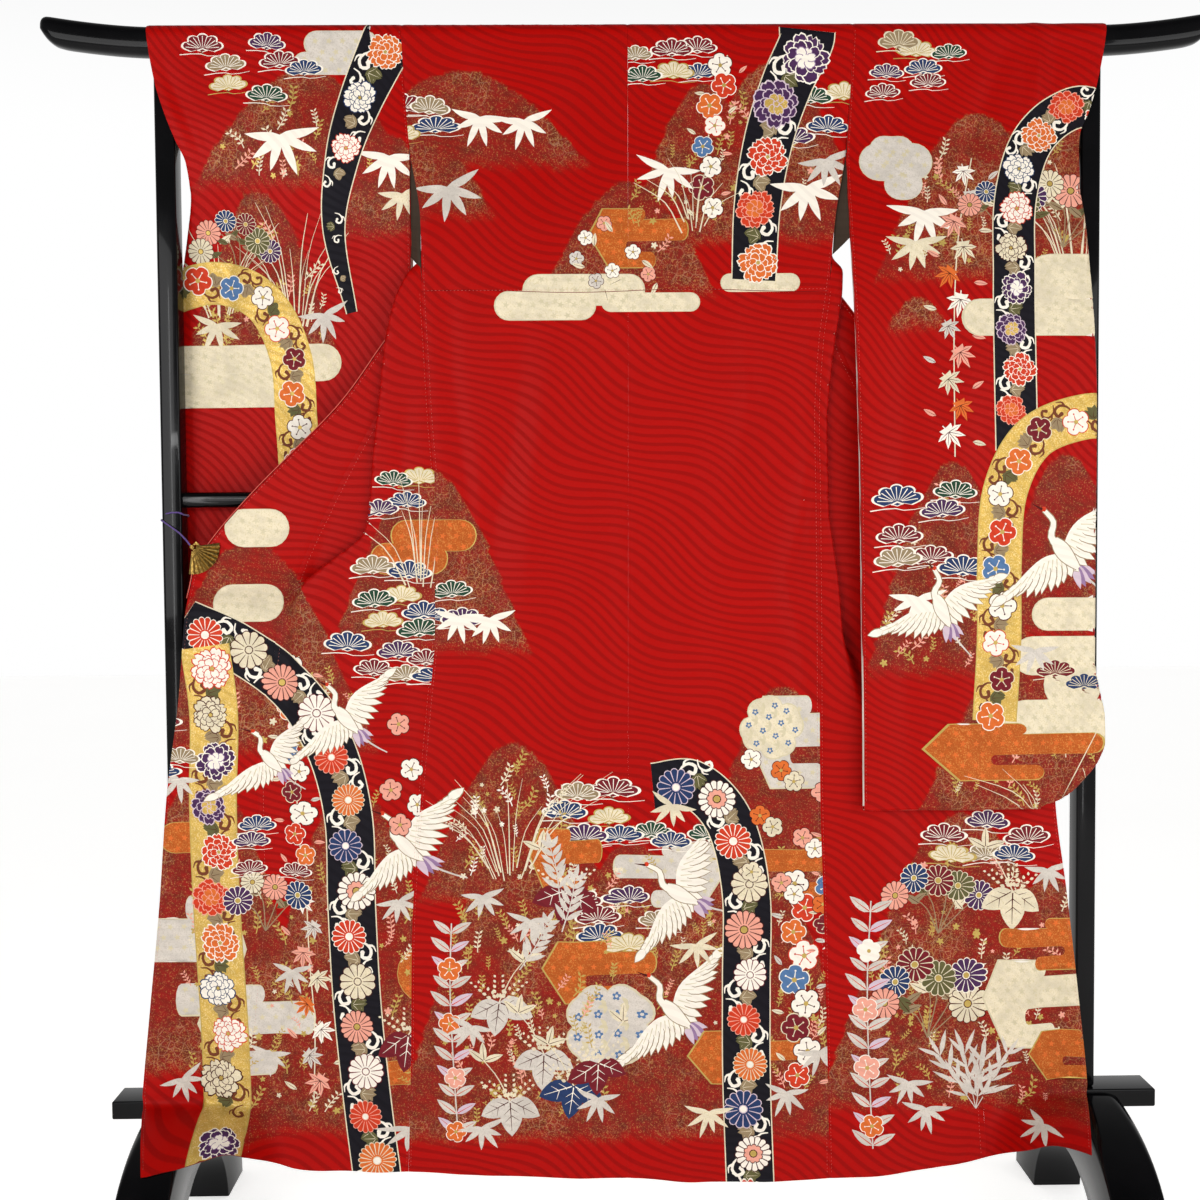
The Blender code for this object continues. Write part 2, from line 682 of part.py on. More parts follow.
def fold_section(side, level, counts=FOLD_COUNTS):
    """The front at one level, from its side edge to its front seam, as out and depth pairs.

    It is walked as a path: straight, a bend at the lip, straight back, a bend at the fold
    and straight out again. A heading of 0 goes out, 90 goes back and 180 goes in.
    """
    table = LEFT_FOLD if side < 0 else RIGHT_FOLD
    edge = body_edge(side, level) + 2 * SEAM_GAP * ease(level, 1.50, 1.47)
    if SIDE_SEAM_TOP < level < 1.42:
        edge += CLOTH * 0.8
    depth = on_seam(BACK_DEPTH, "depth", level) + read(table, "behind", level)
    near = read(table, "near", level)
    lip = math.radians(read(table, "lip_turn", level))
    fold = math.radians(read(table, "fold_turn", level))
    start = math.pi - lip if level > SIDE_SEAM_TOP else 0.0

    def walk(back_length, out_length):
        path = [(edge, depth)]
        angle = start
        amounts = (near, lip, back_length, -fold, out_length)
        for index, (amount, steps) in enumerate(zip(amounts, counts)):
            for _ in range(steps):
                x, y = path[-1]
                bends = index in (1, 3)
                run = BEND * math.pi / steps if bends else amount / steps
                angle += amount / steps / 2 if bends else 0.0
                path.append((x + run * math.cos(angle), y + run * math.sin(angle)))
                angle += amount / steps / 2 if bends else 0.0
        return path

    turned = start + lip
    from_lip = walk(0.0, 0.0)[counts[0] + counts[1]][0]
    inward = (from_lip - read(table, "fold_out", level)) / max(0.4, -math.cos(turned))
    back_length = max(TIP, inward) if math.cos(turned) < -0.4 else TIP
    last = turned - fold
    reach = read(table, "seam_out", level) - walk(back_length, 0.0)[-1][0]
    towards = reach / math.cos(last) if abs(math.cos(last)) > 0.7 else TIP
    return walk(back_length, max(TIP, towards))


def front_seam(side, level):
    """The end of the front's section, where the okumi or the collar joins it."""
    return fold_section(side, level)[-1]


# The cloth's pieces


def body(name, side, collection):
    """One body length, from the back hem over the rail to the front hem."""
    across = sum(FOLD_COUNTS)
    on_rail = [out for out, _ in fold_section(side, RAIL_Z)]
    rows = []
    for level in BACK_LEVELS:
        edge = body_edge(side, level)
        gather = ease(level, 1.40, 1.66)
        depth = read(BACK_DEPTH, "depth", level)
        row = []
        for j in range(across + 1):
            even = blend(edge, SEAM_GAP / 2, j / across)
            out = blend(even, on_rail[j] * edge / on_rail[0], gather)
            row.append(placed(side, out, depth, height(side, out, level)))
        rows.append(row)
    for turn in WRAP_TURNS:
        depth, z = wrap(math.radians(turn))
        rows.append([placed(side, out, depth, z) for out in on_rail])
    for level in reversed(FRONT_LEVELS):
        path = fold_section(side, level)
        rows.append(
            [placed(side, out, depth, height(side, out, level)) for out, depth in path]
        )
    sheet(name, rows, collection)


def okumi(name, side, collection):
    """The front gore, a point at the top, from the body's front edge to the free edge."""
    rows = []
    for level in FRONT_LEVELS:
        if level > KENSAKI_Z:
            break
        seam, depth = front_seam(side, level)
        inner = seam + SEAM_GAP * (1 + ease(level, 0.26, 0.20))
        outer = read(FRONT_EDGE, side_key(side), level)
        row = []
        for j in range(OKUMI_ACROSS + 1):
            out = blend(inner, outer, j / OKUMI_ACROSS)
            row.append(placed(side, out, depth, height(side, out, level)))
        rows.append(row)
    sheet(name, rows, collection)


def collar_seam(side, level):
    out, depth = front_seam(side, level)
    if level <= KENSAKI_Z:
        out = read(FRONT_EDGE, side_key(side), level)
    return out, depth


def seam_depth(side, z):
    """The depth of the front's third layer at any height, straight between levels."""
    above = next((k for k, level in enumerate(FRONT_LEVELS) if level >= z), 1)
    low, high = FRONT_LEVELS[max(0, above - 1)], FRONT_LEVELS[max(1, above)]
    share = (z - low) / (high - low)
    return blend(front_seam(side, low)[1], front_seam(side, high)[1], share)


def collar_side(side):
    """Rows of the collar from its low end up to the middle of the back neck."""
    levels = [z for z in FRONT_LEVELS if COLLAR_END_Z <= z <= NECK_BACK_Z]
    line = [(*collar_seam(side, z), z) for z in levels]
    rows = []
    for i, (out, depth, z) in enumerate(line):
        low, high = line[max(0, i - 1)], line[min(len(line) - 1, i + 1)]
        run, rise = low[0] - high[0], low[2] - high[2]
        length = math.hypot(run, rise)
        turned = ease(z, 1.68, 1.54)
        away = (turned * rise / length, -turned * run / length - (1 - turned))
        size = math.hypot(*away)
        away = (away[0] / size, away[1] / size)
        twist = max(4 * turned * (1 - turned), 1 - abs(z - TWIST_Z) / 0.07)
        behind = COLLAR_CLEAR * max(0.0, twist)
        row = []
        for hang_in, hang_back, fold_in, fold_back in COLLAR_SECTION[1:]:
            inwards = blend(hang_in, fold_in, turned)
            at = z + away[1] * inwards
            follow = blend(depth, seam_depth(side, at), ease(z, 1.60, 1.50))
            back = follow + behind + blend(hang_back, fold_back, turned)
            row.append(placed(side, out + away[0] * inwards, back, at))
        rows.append(row)
    return rows


def collar(collection):
    left = collar_side(-1)
    right = collar_side(1)
    sheet("collar", left + right[::-1], collection)


def sleeve(name, side, collection):
    """One folded piece: over the rail, closed along the bottom and up to the wrist opening."""
    table = LEFT_SLEEVE if side < 0 else RIGHT_SLEEVE

    def inner_edge(level):
        if level > ARMHOLE_Z:
            return body_edge(side, min(level, RAIL_Z)) + SEAM_GAP
        return read(table, "inner", level)

    def layer(level, face):
        inner = inner_edge(level)
        outer = read(table, "outer", level)
        outer -= SLEEVE_EDGE_ROUND if level <= WRIST_CLOSED_Z else 0.0
        z = level + (SLEEVE_EDGE_ROUND if level == SLEEVE_LEVELS[0] else 0.0)
        inner_depth = read(table, face + "_in", level)
        outer_depth = read(table, face + "_out", level)
        row = []
        for j in range(SLEEVE_ACROSS + 1):
            t = j / SLEEVE_ACROSS
            out = blend(inner, outer, t)
            row.append(hung(side, out, blend(inner_depth, outer_depth, t), z))
        return row

    front = [layer(level, "front") for level in SLEEVE_LEVELS]
    back = [layer(level, "back") for level in SLEEVE_LEVELS]
    over = []
    for turn in WRAP_TURNS:
        depth, z = wrap(math.radians(turn))
        inner, outer = inner_edge(z), read(table, "outer", z)
        outs = [blend(inner, outer, j / SLEEVE_ACROSS) for j in range(SLEEVE_ACROSS + 1)]
        over.append([hung(side, out, depth, z) for out in outs])
    rows = front + over + back[::-1]
    wide = SLEEVE_ACROSS + 1
    points = [point for row in rows for point in row]
    faces = []
    for i in range(len(rows) - 1):
        for j in range(wide - 1):
            a = i * wide + j
            faces.append((a, a + 1, a + wide + 1, a + wide))
    # The closing fold runs along the bottom and then up the outer edge
    closed = sum(1 for level in SLEEVE_LEVELS if level <= WRIST_CLOSED_Z)
    last = len(rows) - 1
    track = [(j, last * wide + j) for j in range(wide)]
    track += [(i * wide + wide - 1, (last - i + 1) * wide - 1) for i in range(1, closed)]
    first = len(points)
    for k, (a, b) in enumerate(track):
        middle = [(points[a][n] + points[b][n]) / 2 for n in range(3)]
        if k < wide:
            middle[2] -= SLEEVE_EDGE_ROUND
        if k >= wide - 1:
            middle[0] += side * SLEEVE_EDGE_ROUND
        points.append(tuple(middle))
    for k in range(len(track) - 1):
        (a, b), (c, d) = track[k], track[k + 1]
        faces.append((c, a, first + k, first + k + 1))
        faces.append((first + k + 1, first + k, b, d))
    cloth(name, points, faces, collection)


def sleeve_lining(name, side, collection):
    """A strip of the pale lining, just proud of the sleeve's open inner edge."""
    table = LEFT_SLEEVE if side < 0 else RIGHT_SLEEVE
    rows = []
    for level in SLEEVE_LEVELS[1:]:
        if level > ARMHOLE_Z:
            break
        inner, outer = read(table, "inner", level), read(table, "outer", level)
        row = []
        for away in (-0.0010, 0.003, 0.008):
            inner_depth = read(table, "front_in", level)
            outer_depth = read(table, "front_out", level)
            depth = blend(inner_depth, outer_depth, away / (outer - inner))
            row.append(hung(side, inner + away, depth + LINING_BEHIND, level))
        rows.append(row)
    sheet(name, rows, collection, "lining", LINING)


# The fan clip


def clip(collection):
    depths = [front_seam(-1, level)[1] for level in (0.965, 0.985, 1.020)]
    wall = CLOTH / 2 + SEAM_GAP + CLIP_SHEET / 2
    near = min(depths) - wall - CLIP_PLEAT + CLIP_SEAT
    far = max(depths) + COLLAR_BACK + wall
    rows = []
    for radius in (CLIP_INNER, CLIP_OUTER):
        row = []
        for k in range(2 * CLIP_RIBS + 1):
            turn = math.radians(blend(CLIP_FROM, CLIP_TO, k / (2 * CLIP_RIBS)))
            pleat = CLIP_PLEAT * (1 if k % 2 else -1) * radius / CLIP_OUTER
            x = CLIP_PIVOT[0] + radius * math.cos(turn)
            row.append((x, near + pleat, CLIP_PIVOT[1] + radius * math.sin(turn)))
        rows.append(row)
    sheet("clip_fan", rows, collection, "brass", CLIP_SHEET).data.shade_flat()
    ring = []
    for k in range(12):
        turn = math.tau * k / 12
        ring.append((CLIP_PIN * math.cos(turn), CLIP_PIN * math.sin(turn)))
    ends = (near - CLIP_PLEAT - 0.001, far - CLIP_SHEET / 2 - SEAM_GAP)
    rings = [
        [(CLIP_PIVOT[0] + x, y, CLIP_PIVOT[1] + z) for x, z in ring] for y in ends
    ]
    loft("clip_pin", rings, collection, "brass")
    rows = []
    for radius in (-0.005, 0.012, 0.026):
        row = []
        for degrees in (-20, -45, -70):
            turn = math.radians(degrees)
            mid = math.radians(-45)
            if radius < 0:
                side = 0.006 * (degrees + 45) / 25
                x = radius * math.cos(mid) - side * math.sin(mid)
                z = radius * math.sin(mid) + side * math.cos(mid)
            else:
                x, z = radius * math.cos(turn), radius * math.sin(turn)
            row.append((CLIP_PIVOT[0] + x, far, CLIP_PIVOT[1] + z))
        rows.append(row)
    sheet("clip_jaw", rows, collection, "brass", CLIP_SHEET)
    curve = bpy.data.curves.new("clip_cord", "CURVE")
    curve.dimensions = "3D"
    curve.bevel_depth = CORD_WIDTH / 2
    curve.bevel_resolution = 1
    curve.use_fill_caps = True
    spline = curve.splines.new("POLY")
    spline.points.add(len(CORD_PATH) - 1)
    for point, place in zip(spline.points, CORD_PATH):
        point.co = (*place, 1.0)
    named_object("clip_cord", curve, collection, "purple_cord")


def main():
    for old in list(bpy.data.objects):
        bpy.data.objects.remove(old)
    garment = bpy.data.collections.new("furisode")
    cutters = bpy.data.collections.new("cutters")
    bpy.context.scene.collection.children.link(garment)
    bpy.context.scene.collection.children.link(cutters)
    stand(garment, cutters)
    for word, side in (("left", -1), ("right", 1)):
        body("body_" + word, side, garment)
        okumi("okumi_" + word, side, garment)
        sleeve("sleeve_" + word, side, garment)
        sleeve_lining("sleeve_lining_" + word, side, garment)
    collar(garment)
    clip(garment)


main()
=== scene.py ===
"""A furisode hung over a black lacquered kimono stand, with its back to the viewer.

Metres, +Z up. Each cloth piece is worked out as a grid of points, then laid out flat, and the
dyed and embroidered motifs are cut into its outer face there, so that they bend with the cloth.
"""

import math
import random

import bmesh
import bpy
import numpy as np
from mathutils import Matrix, Vector
from mathutils.geometry import delaunay_2d_cdt


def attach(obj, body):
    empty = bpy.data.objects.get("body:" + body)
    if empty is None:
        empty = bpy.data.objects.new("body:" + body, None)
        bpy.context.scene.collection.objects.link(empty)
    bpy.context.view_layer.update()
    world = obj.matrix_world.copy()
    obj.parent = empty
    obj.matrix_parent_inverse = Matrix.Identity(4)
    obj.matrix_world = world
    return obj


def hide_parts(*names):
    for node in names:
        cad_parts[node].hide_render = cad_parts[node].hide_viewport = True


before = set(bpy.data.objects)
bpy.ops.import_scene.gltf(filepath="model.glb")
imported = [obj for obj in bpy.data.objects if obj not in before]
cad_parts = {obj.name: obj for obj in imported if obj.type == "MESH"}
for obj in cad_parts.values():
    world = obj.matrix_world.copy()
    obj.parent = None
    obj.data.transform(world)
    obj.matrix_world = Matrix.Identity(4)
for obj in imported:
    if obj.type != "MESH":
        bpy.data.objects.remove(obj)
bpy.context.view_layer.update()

# The stand
RAIL_HALF = 0.82
RAIL_Z = 1.711
RAIL_HALF_HEIGHT = 0.02
RAIL_HALF_DEPTH = 0.018
RAIL_SQUARENESS = 2.8
RAIL_RISE = 0.0165
RAIL_RISE_FROM = 0.665
RAIL_TIP_SLANT = 0.012
POST_OUT = 0.663
POST_WIDTH = 0.028
POST_DEPTH = 0.034
MIDDLE_RAIL_Z = 1.0715
MIDDLE_RAIL_HEIGHT = 0.022
LOWER_RAIL_HALF = 0.7477
LOWER_RAIL_DEPTH = 0.055
LOWER_RAIL_TOP = 0.216
LOWER_RAIL_HEIGHT = 0.026
FOOT_IN = 0.626
FOOT_OUT = 0.699
FOOT_RADIUS = 0.23
FOOT_HOLLOW = 0.138
FOOT_CENTRE_Z = -0.018
FOOT_CROWN_ROUND = 0.022
FOOT_TOE_ROUND = 0.004

# The cloth
WALL = 0.0012
LINING_WALL = 0.0008
LINING_BEHIND = 0.0018
SEAM_GAP = 0.00005
OFF_RAIL = 0.0014
BEND = 0.003
TIP = 0.012
COLLAR_WIDTH = 0.055
COLLAR_BACK = 0.0046
COLLAR_CLEAR = 0.006
TWIST_Z = 1.41
ARMHOLE_Z = 1.552
SIDE_SEAM_TOP = 1.385
WRIST_CLOSED_Z = 1.505
NECK_BACK_Z = 1.69
KENSAKI_Z = 1.4
COLLAR_END_Z = 0.93
SLEEVE_EDGE_ROUND = 0.004
LEVEL_HEM = 0.105
LEVEL_FREE = 0.5
DRAPE_Z = 0.225

# The centre back seam leans a little to the left as it goes down
CENTRE_TOP = -0.002
CENTRE_LEAN = -0.0065

BODY_EDGE = (
    ("z", "left", "right"),
    (1.733, 0.317, 0.317),
    (1.56, 0.3045, 0.306),
    (1.46, 0.289, 0.29),
    (1.36, 0.2865, 0.28),
    (1.28, 0.282, 0.269),
    (1.18, 0.2765, 0.264),
    (1.08, 0.27, 0.266),
    (0.88, 0.271, 0.269),
    (0.78, 0.28, 0.27),
    (0.64, 0.293, 0.272),
    (0.45, 0.306, 0.279),
    (0.25, 0.309, 0.285),
    (0.08, 0.314, 0.289),
)

BACK_DEPTH = (
    ("z", "depth"),
    (1.711, -0.0194),
    (1.6, -0.022),
    (1.45, -0.031),
    (1.3, -0.037),
    (1.0, -0.039),
    (0.6, -0.037),
    (0.08, -0.035),
)

# The fronts hang behind the rail, come forward under it and open out beside the back. Each
# is folded on itself: a near layer out to a lip, a return behind it and a third layer out.
FOLD_TOP = (
    ("z", "behind", "near", "lip_turn", "fold_out", "fold_turn", "seam_out"),
    (1.711, 0.0388, 0.004, 0, 0.03, 0, 0.0001),
    (1.69, 0.0392, 0.004, 0, 0.03, 0, 0.0001),
    (1.684, 0.0392, 0.004, 0, 0.06, 0, 0.05),
    (1.67, 0.0392, 0.004, 0, 0.088, 20, 0.076),
    (1.64, 0.039, 0.004, 0, 0.092, 100, 0.095),
    (1.6, 0.038, 0.004, 0, 0.095, 170, 0.127),
    (1.52, 0.029, 0.004, 0, 0.107, 180, 0.176),
    (1.45, 0.015, 0.004, 0, 0.125, 180, 0.219),
    (1.425, 0.009, 0.004, 0, 0.133, 180, 0.234),
    (1.405, 0.0045, 0.004, 90, 0.14, 180, 0.246),
)

LEFT_FOLD = (
    *FOLD_TOP,
    (1.385, 0.0, 0.016, 180, 0.15, 180, 0.256),
    (1.352, 0.0, 0.034, 180, 0.168, 180, 0.27),
    (1.289, 0.0, 0.053, 180, 0.212, 180, 0.296),
    (1.187, 0.0, 0.07, 180, 0.256, 180, 0.3525),
    (1.11, 0.0, 0.084, 180, 0.29, 180, 0.395),
    (1.035, 0.0, 0.092, 180, 0.318, 180, 0.433),
    (1.02, 0.0, 0.098, 180, 0.328, 180, 0.4405),
    (0.985, 0.0, 0.142, 176, 0.382, 176, 0.457),
    (0.955, 0.0, 0.18, 150, 0.43, 150, 0.471),
    (0.935, 0.0, 0.188, 80, 0.47, 80, 0.48),
    (0.91, 0.0, 0.186, 45, 0.474, 45, 0.491),
    (0.85, 0.0, 0.18, 30, 0.478, 30, 0.499),
    (0.709, 0.0, 0.17, 16, 0.482, 16, 0.522),
    (0.51, 0.0, 0.16, 10, 0.48, 10, 0.5205),
    (0.339, 0.0, 0.16, 8, 0.484, 8, 0.535),
    (0.08, 0.0, 0.16, 8, 0.488, 8, 0.553),
)

RIGHT_FOLD = (
    *FOLD_TOP,
    (1.385, 0.0, 0.014, 180, 0.15, 180, 0.256),
    (1.32, 0.0, 0.018, 180, 0.168, 180, 0.284),
    (1.266, 0.0, 0.016, 180, 0.185, 180, 0.305),
    (1.16, 0.0, 0.012, 180, 0.205, 180, 0.36),
    (1.106, 0.0, 0.012, 180, 0.215, 180, 0.388),
    (1.053, 0.0, 0.012, 180, 0.225, 180, 0.412),
    (1.0, 0.0, 0.018, 180, 0.238, 180, 0.432),
    (0.946, 0.0, 0.025, 180, 0.254, 180, 0.45),
    (0.905, 0.0, 0.028, 176, 0.27, 176, 0.46),
    (0.875, 0.0, 0.03, 150, 0.284, 150, 0.466),
    (0.85, 0.0, 0.034, 80, 0.32, 80, 0.47),
    (0.82, 0.0, 0.04, 45, 0.34, 45, 0.473),
    (0.76, 0.0, 0.06, 30, 0.36, 30, 0.475),
    (0.64, 0.0, 0.09, 16, 0.4, 16, 0.476),
    (0.495, 0.0, 0.12, 10, 0.43, 10, 0.4837),
    (0.351, 0.0, 0.13, 8, 0.44, 8, 0.4985),
    (0.08, 0.0, 0.14, 8, 0.45, 8, 0.516),
)

# The front edge: the collar seam down to the collar's end, then the okumi's own edge
FRONT_EDGE = (
    ("z", "left", "right"),
    (1.4, 0.256, 0.256),
    (1.352, 0.292, 0.296),
    (1.289, 0.34, 0.343),
    (1.208, 0.3985, 0.402),
    (1.13, 0.475, 0.47),
    (1.088, 0.5175, 0.506),
    (1.012, 0.585, 0.565),
    (0.969, 0.6126, 0.59),
    (0.93, 0.6217, 0.599),
    (0.79, 0.6328, 0.604),
    (0.65, 0.6509, 0.607),
    (0.5, 0.6625, 0.626),
    (0.35, 0.6785, 0.6447),
    (0.238, 0.6905, 0.658),
    (0.2, 0.6935, 0.661),
    (0.08, 0.6935, 0.661),
)

# How high the hem hangs, before the corners come forward over the feet
HEM = (
    ("x", "z"),
    (-0.7, 0.084),
    (-0.64, 0.1),
    (-0.56, 0.121),
    (-0.409, 0.1164),
    (-0.295, 0.112),
    (-0.15, 0.104),
    (0.0, 0.0994),
    (0.133, 0.093),
    (0.277, 0.0954),
    (0.377, 0.1028),
    (0.514, 0.1184),
    (0.6, 0.112),
    (0.67, 0.09),
)

# A sleeve's edges, and the depth of its front and back layers at the inner and outer edge
LEFT_SLEEVE = (
    ("z", "inner", "outer", "front_in", "front_out", "back_in", "back_out"),
    (1.733, 0.317, 0.67, -0.0194, -0.0194, 0.0194, 0.0194),
    (1.711, 0.3165, 0.668, -0.0194, -0.0194, 0.0194, 0.0194),
    (1.65, 0.311, 0.6575, -0.02, -0.02, 0.0175, 0.0205),
    (1.608, 0.308, 0.6446, -0.0215, -0.0205, 0.0165, 0.0205),
    (1.57, 0.3052, 0.6302, -0.0235, -0.017, 0.013, 0.019),
    (1.542, 0.3045, 0.6183, -0.0225, -0.011, 0.015, 0.015),
    (1.505, 0.305, 0.615, -0.019, -0.002, 0.019, 0.0085),
    (1.45, 0.3054, 0.624, -0.015, 0.013, 0.021, 0.023),
    (1.4, 0.3054, 0.634, -0.013, 0.021, 0.023, 0.033),
    (1.3, 0.3056, 0.65, -0.008, 0.0225, 0.026, 0.036),
    (1.2, 0.306, 0.654, 0.001, 0.0225, 0.03, 0.038),
    (1.1, 0.3065, 0.655, 0.014, 0.0225, 0.034, 0.039),
    (0.84, 0.3085, 0.655, 0.0165, 0.0225, 0.036, 0.039),
    (0.76, 0.31, 0.654, 0.017, 0.0225, 0.036, 0.039),
    (0.724, 0.3105, 0.65, 0.0175, 0.0225, 0.0355, 0.0385),
    (0.696, 0.311, 0.64, 0.018, 0.023, 0.034, 0.037),
    (0.67, 0.3115, 0.625, 0.018, 0.0235, 0.0325, 0.035),
    (0.65, 0.312, 0.605, 0.018, 0.024, 0.031, 0.034),
    (0.636, 0.312, 0.58, 0.018, 0.024, 0.03, 0.033),
    (0.6285, 0.312, 0.55, 0.018, 0.024, 0.03, 0.033),
)

RIGHT_SLEEVE = (
    ("z", "inner", "outer", "front_in", "front_out", "back_in", "back_out"),
    (1.733, 0.317, 0.672, -0.0194, -0.0194, 0.0194, 0.0194),
    (1.711, 0.3165, 0.67, -0.0194, -0.0194, 0.0194, 0.0194),
    (1.65, 0.312, 0.659, -0.0215, -0.0215, 0.0175, 0.0205),
    (1.608, 0.3085, 0.647, -0.0235, -0.0235, 0.0165, 0.0205),
    (1.57, 0.3065, 0.632, -0.0265, -0.027, 0.013, 0.017),
    (1.542, 0.3055, 0.63, -0.03, -0.031, 0.006, 0.004),
    (1.505, 0.306, 0.6305, -0.036, -0.035, -0.009, -0.024),
    (1.45, 0.308, 0.638, -0.045, -0.04, -0.03, -0.03),
    (1.4, 0.31, 0.642, -0.051, -0.045, -0.04, -0.034),
    (1.3, 0.315, 0.649, -0.057, -0.051, -0.045, -0.04),
    (1.2, 0.3185, 0.6518, -0.059, -0.056, -0.046, -0.044),
    (1.1, 0.322, 0.652, -0.06, -0.058, -0.046, -0.045),
    (0.84, 0.327, 0.653, -0.06, -0.058, -0.046, -0.045),
    (0.795, 0.328, 0.6605, -0.06, -0.058, -0.046, -0.045),
    (0.76, 0.3285, 0.668, -0.06, -0.058, -0.046, -0.045),
    (0.724, 0.329, 0.6693, -0.06, -0.058, -0.046, -0.045),
    (0.696, 0.3292, 0.66, -0.06, -0.058, -0.046, -0.045),
    (0.67, 0.3295, 0.64, -0.06, -0.058, -0.046, -0.045),
    (0.65, 0.3298, 0.62, -0.06, -0.058, -0.046, -0.045),
    (0.636, 0.33, 0.593, -0.06, -0.058, -0.046, -0.045),
    (0.6285, 0.33, 0.56, -0.06, -0.058, -0.046, -0.045),
)

# Soft folds that run down the cloth: where they are at the hem, how wide and how deep
HEM_FOLDS = (
    ("x", "width", "depth"),
    (-0.56, 0.03, 0.006),
    (-0.455, 0.04, 0.004),
    (-0.37, 0.03, 0.006),
    (-0.235, 0.045, 0.005),
    (-0.09, 0.05, 0.004),
    (0.07, 0.04, 0.007),
    (0.19, 0.045, 0.005),
    (0.345, 0.035, 0.006),
    (0.45, 0.03, 0.005),
    (0.56, 0.03, 0.006),
)

# Across the collar, hanging from the back neck and folded behind the fronts: how far in from
# the seam, and how far behind it
COLLAR_SECTION = (
    ("hanging_in", "hanging_back", "folded_in", "folded_back"),
    (0.0012, 0.0, -0.0012, -0.0004),
    (0.005, 0.0012, -0.0027, 0.0008),
    (0.01, 0.0025, -0.0025, 0.0032),
    (0.018, 0.004, 0.0, COLLAR_BACK),
    (0.032, 0.005, 0.02, COLLAR_BACK),
    (COLLAR_WIDTH, 0.006, COLLAR_WIDTH, COLLAR_BACK),
)

# The clip: its pivot across and up, and its fan
CLIP_PIVOT = (-0.6175, 1.005)
CLIP_INNER = 0.006
CLIP_OUTER = 0.038
CLIP_FROM = 8
CLIP_TO = -98
CLIP_RIBS = 10
CLIP_PLEAT = 0.0013
CLIP_SHEET = 0.001
CLIP_SEAT = 0.0008
CLIP_PIN = 0.0032
CORD_WIDTH = 0.0022
CORD_START = (-0.6201, -0.03, 1.0076)


# How finely each sheet is worked out, in metres, and the columns of a front's folded section
ROW_STEP = 0.008
MAP_STEP = 0.0075
INSIDE_STEP = 0.014
FRONT_COUNTS = (20, 8, 14, 8, 22)
OKUMI_COUNT = 20
SLEEVE_COUNT = 36
COLLAR_COUNT = 12
EDGE_COUNT = 5


# Tables and curves

columns = {}


def read(table, name, where):
    """A table's column at places between its rows, on a smooth curve that never overshoots."""
    key = (id(table), name)
    if key not in columns:
        rows = sorted(table[1:])
        k = table[0].index(name)
        xs = np.array([row[0] for row in rows], float)
        ys = np.array([row[k] for row in rows], float)
        steps = np.diff(ys) / np.diff(xs)
        same = steps[:-1] * steps[1:] > 0
        total = np.where(same, steps[:-1] + steps[1:], 1.0)
        inner = np.where(same, 2 * steps[:-1] * steps[1:] / total, 0.0)
        columns[key] = (xs, ys, np.concatenate([steps[:1], inner, steps[-1:]]))
    xs, ys, slope = columns[key]
    where = np.clip(where, xs[0], xs[-1])
    k = np.clip(np.searchsorted(xs, where, side="right") - 1, 0, len(xs) - 2)
    span = xs[k + 1] - xs[k]
    t = (where - xs[k]) / span
    return ((1 + 2 * t) * (1 - t) ** 2 * ys[k] + t * (1 - t) ** 2 * span * slope[k] + t * t * (3 - 2 * t)
        * ys[k + 1] + t * t * (t - 1) * span * slope[k + 1])


def ease(value, low, high):
    """0 at low, 1 at high, smooth between."""
    t = np.clip((value - low) / (high - low), 0.0, 1.0)
    return t * t * (3 - 2 * t)


def blend(a, b, t):
    return a + (b - a) * t


def span(low, high, step=ROW_STEP):
    """Evenly spaced places from low to high, about a step apart."""
    return np.linspace(low, high, max(2, int(round(abs(high - low) / step)) + 1))


def smooth_rows(grid, where):
    """Softens a grid from row to row by as much as where says, row by row."""
    reach = 3
    kernel = np.exp(-((np.arange(-reach, reach + 1) / (reach / 2)) ** 2))
    kernel /= kernel.sum()
    padded = np.concatenate([grid[:1]] * reach + [grid] + [grid[-1:]] * reach)
    soft = sum(w * padded[k : k + len(grid)] for k, w in enumerate(kernel))
    share = where[:, None, None]
    return grid * (1 - share) + soft * share


# Where the cloth hangs


def centre_x(z):
    return CENTRE_TOP + CENTRE_LEAN * (RAIL_Z - z)


def side_key(side):
    return "left" if side < 0 else "right"


FOLDS = {-1: LEFT_FOLD, 1: RIGHT_FOLD}
SLEEVES = {-1: LEFT_SLEEVE, 1: RIGHT_SLEEVE}


def hem_folds(x, z):
    """How far the soft folds bring the cloth forward."""
    total = 0.0
    for place, width, depth in HEM_FOLDS[1:]:
        total = total + depth * np.exp(-(((x - place) / width) ** 2))
    return total * ease(z, 1.05, 0.2)


def over_feet(x, depth, z):
    """Carries the corners of the hem forward over the arched feet, at the same length."""
    fallen = np.maximum(DRAPE_Z - z, 0.0)
    side = np.sign(x)
    share = ease(np.abs(x), 0.47, 0.6) * (fallen > 0)
    radius = FOOT_RADIUS + WALL / 2 + 0.0014
    start = np.arcsin(-depth / radius)
    drop = DRAPE_Z - (FOOT_CENTRE_Z + radius * np.cos(start))
    spread = 0.009 * ease(fallen, 0.0, 0.012)
    over_y, over_z = 0.0, 0.0
    for k in (-1, 0, 0, 1):
        length = fallen + k * spread
        turn = start + np.maximum(length - drop, 0.0) / radius
        free = length <= drop
        over_y = over_y + np.where(free, depth, -radius * np.sin(turn)) / 4
        bent_z = FOOT_CENTRE_Z + radius * np.cos(turn)
        over_z = over_z + np.where(free, DRAPE_Z - length, bent_z) / 4
    pulled = 0.036 * share * (fallen / 0.14)
    return x - side * pulled, blend(depth, over_y, share), blend(z, over_z, share)


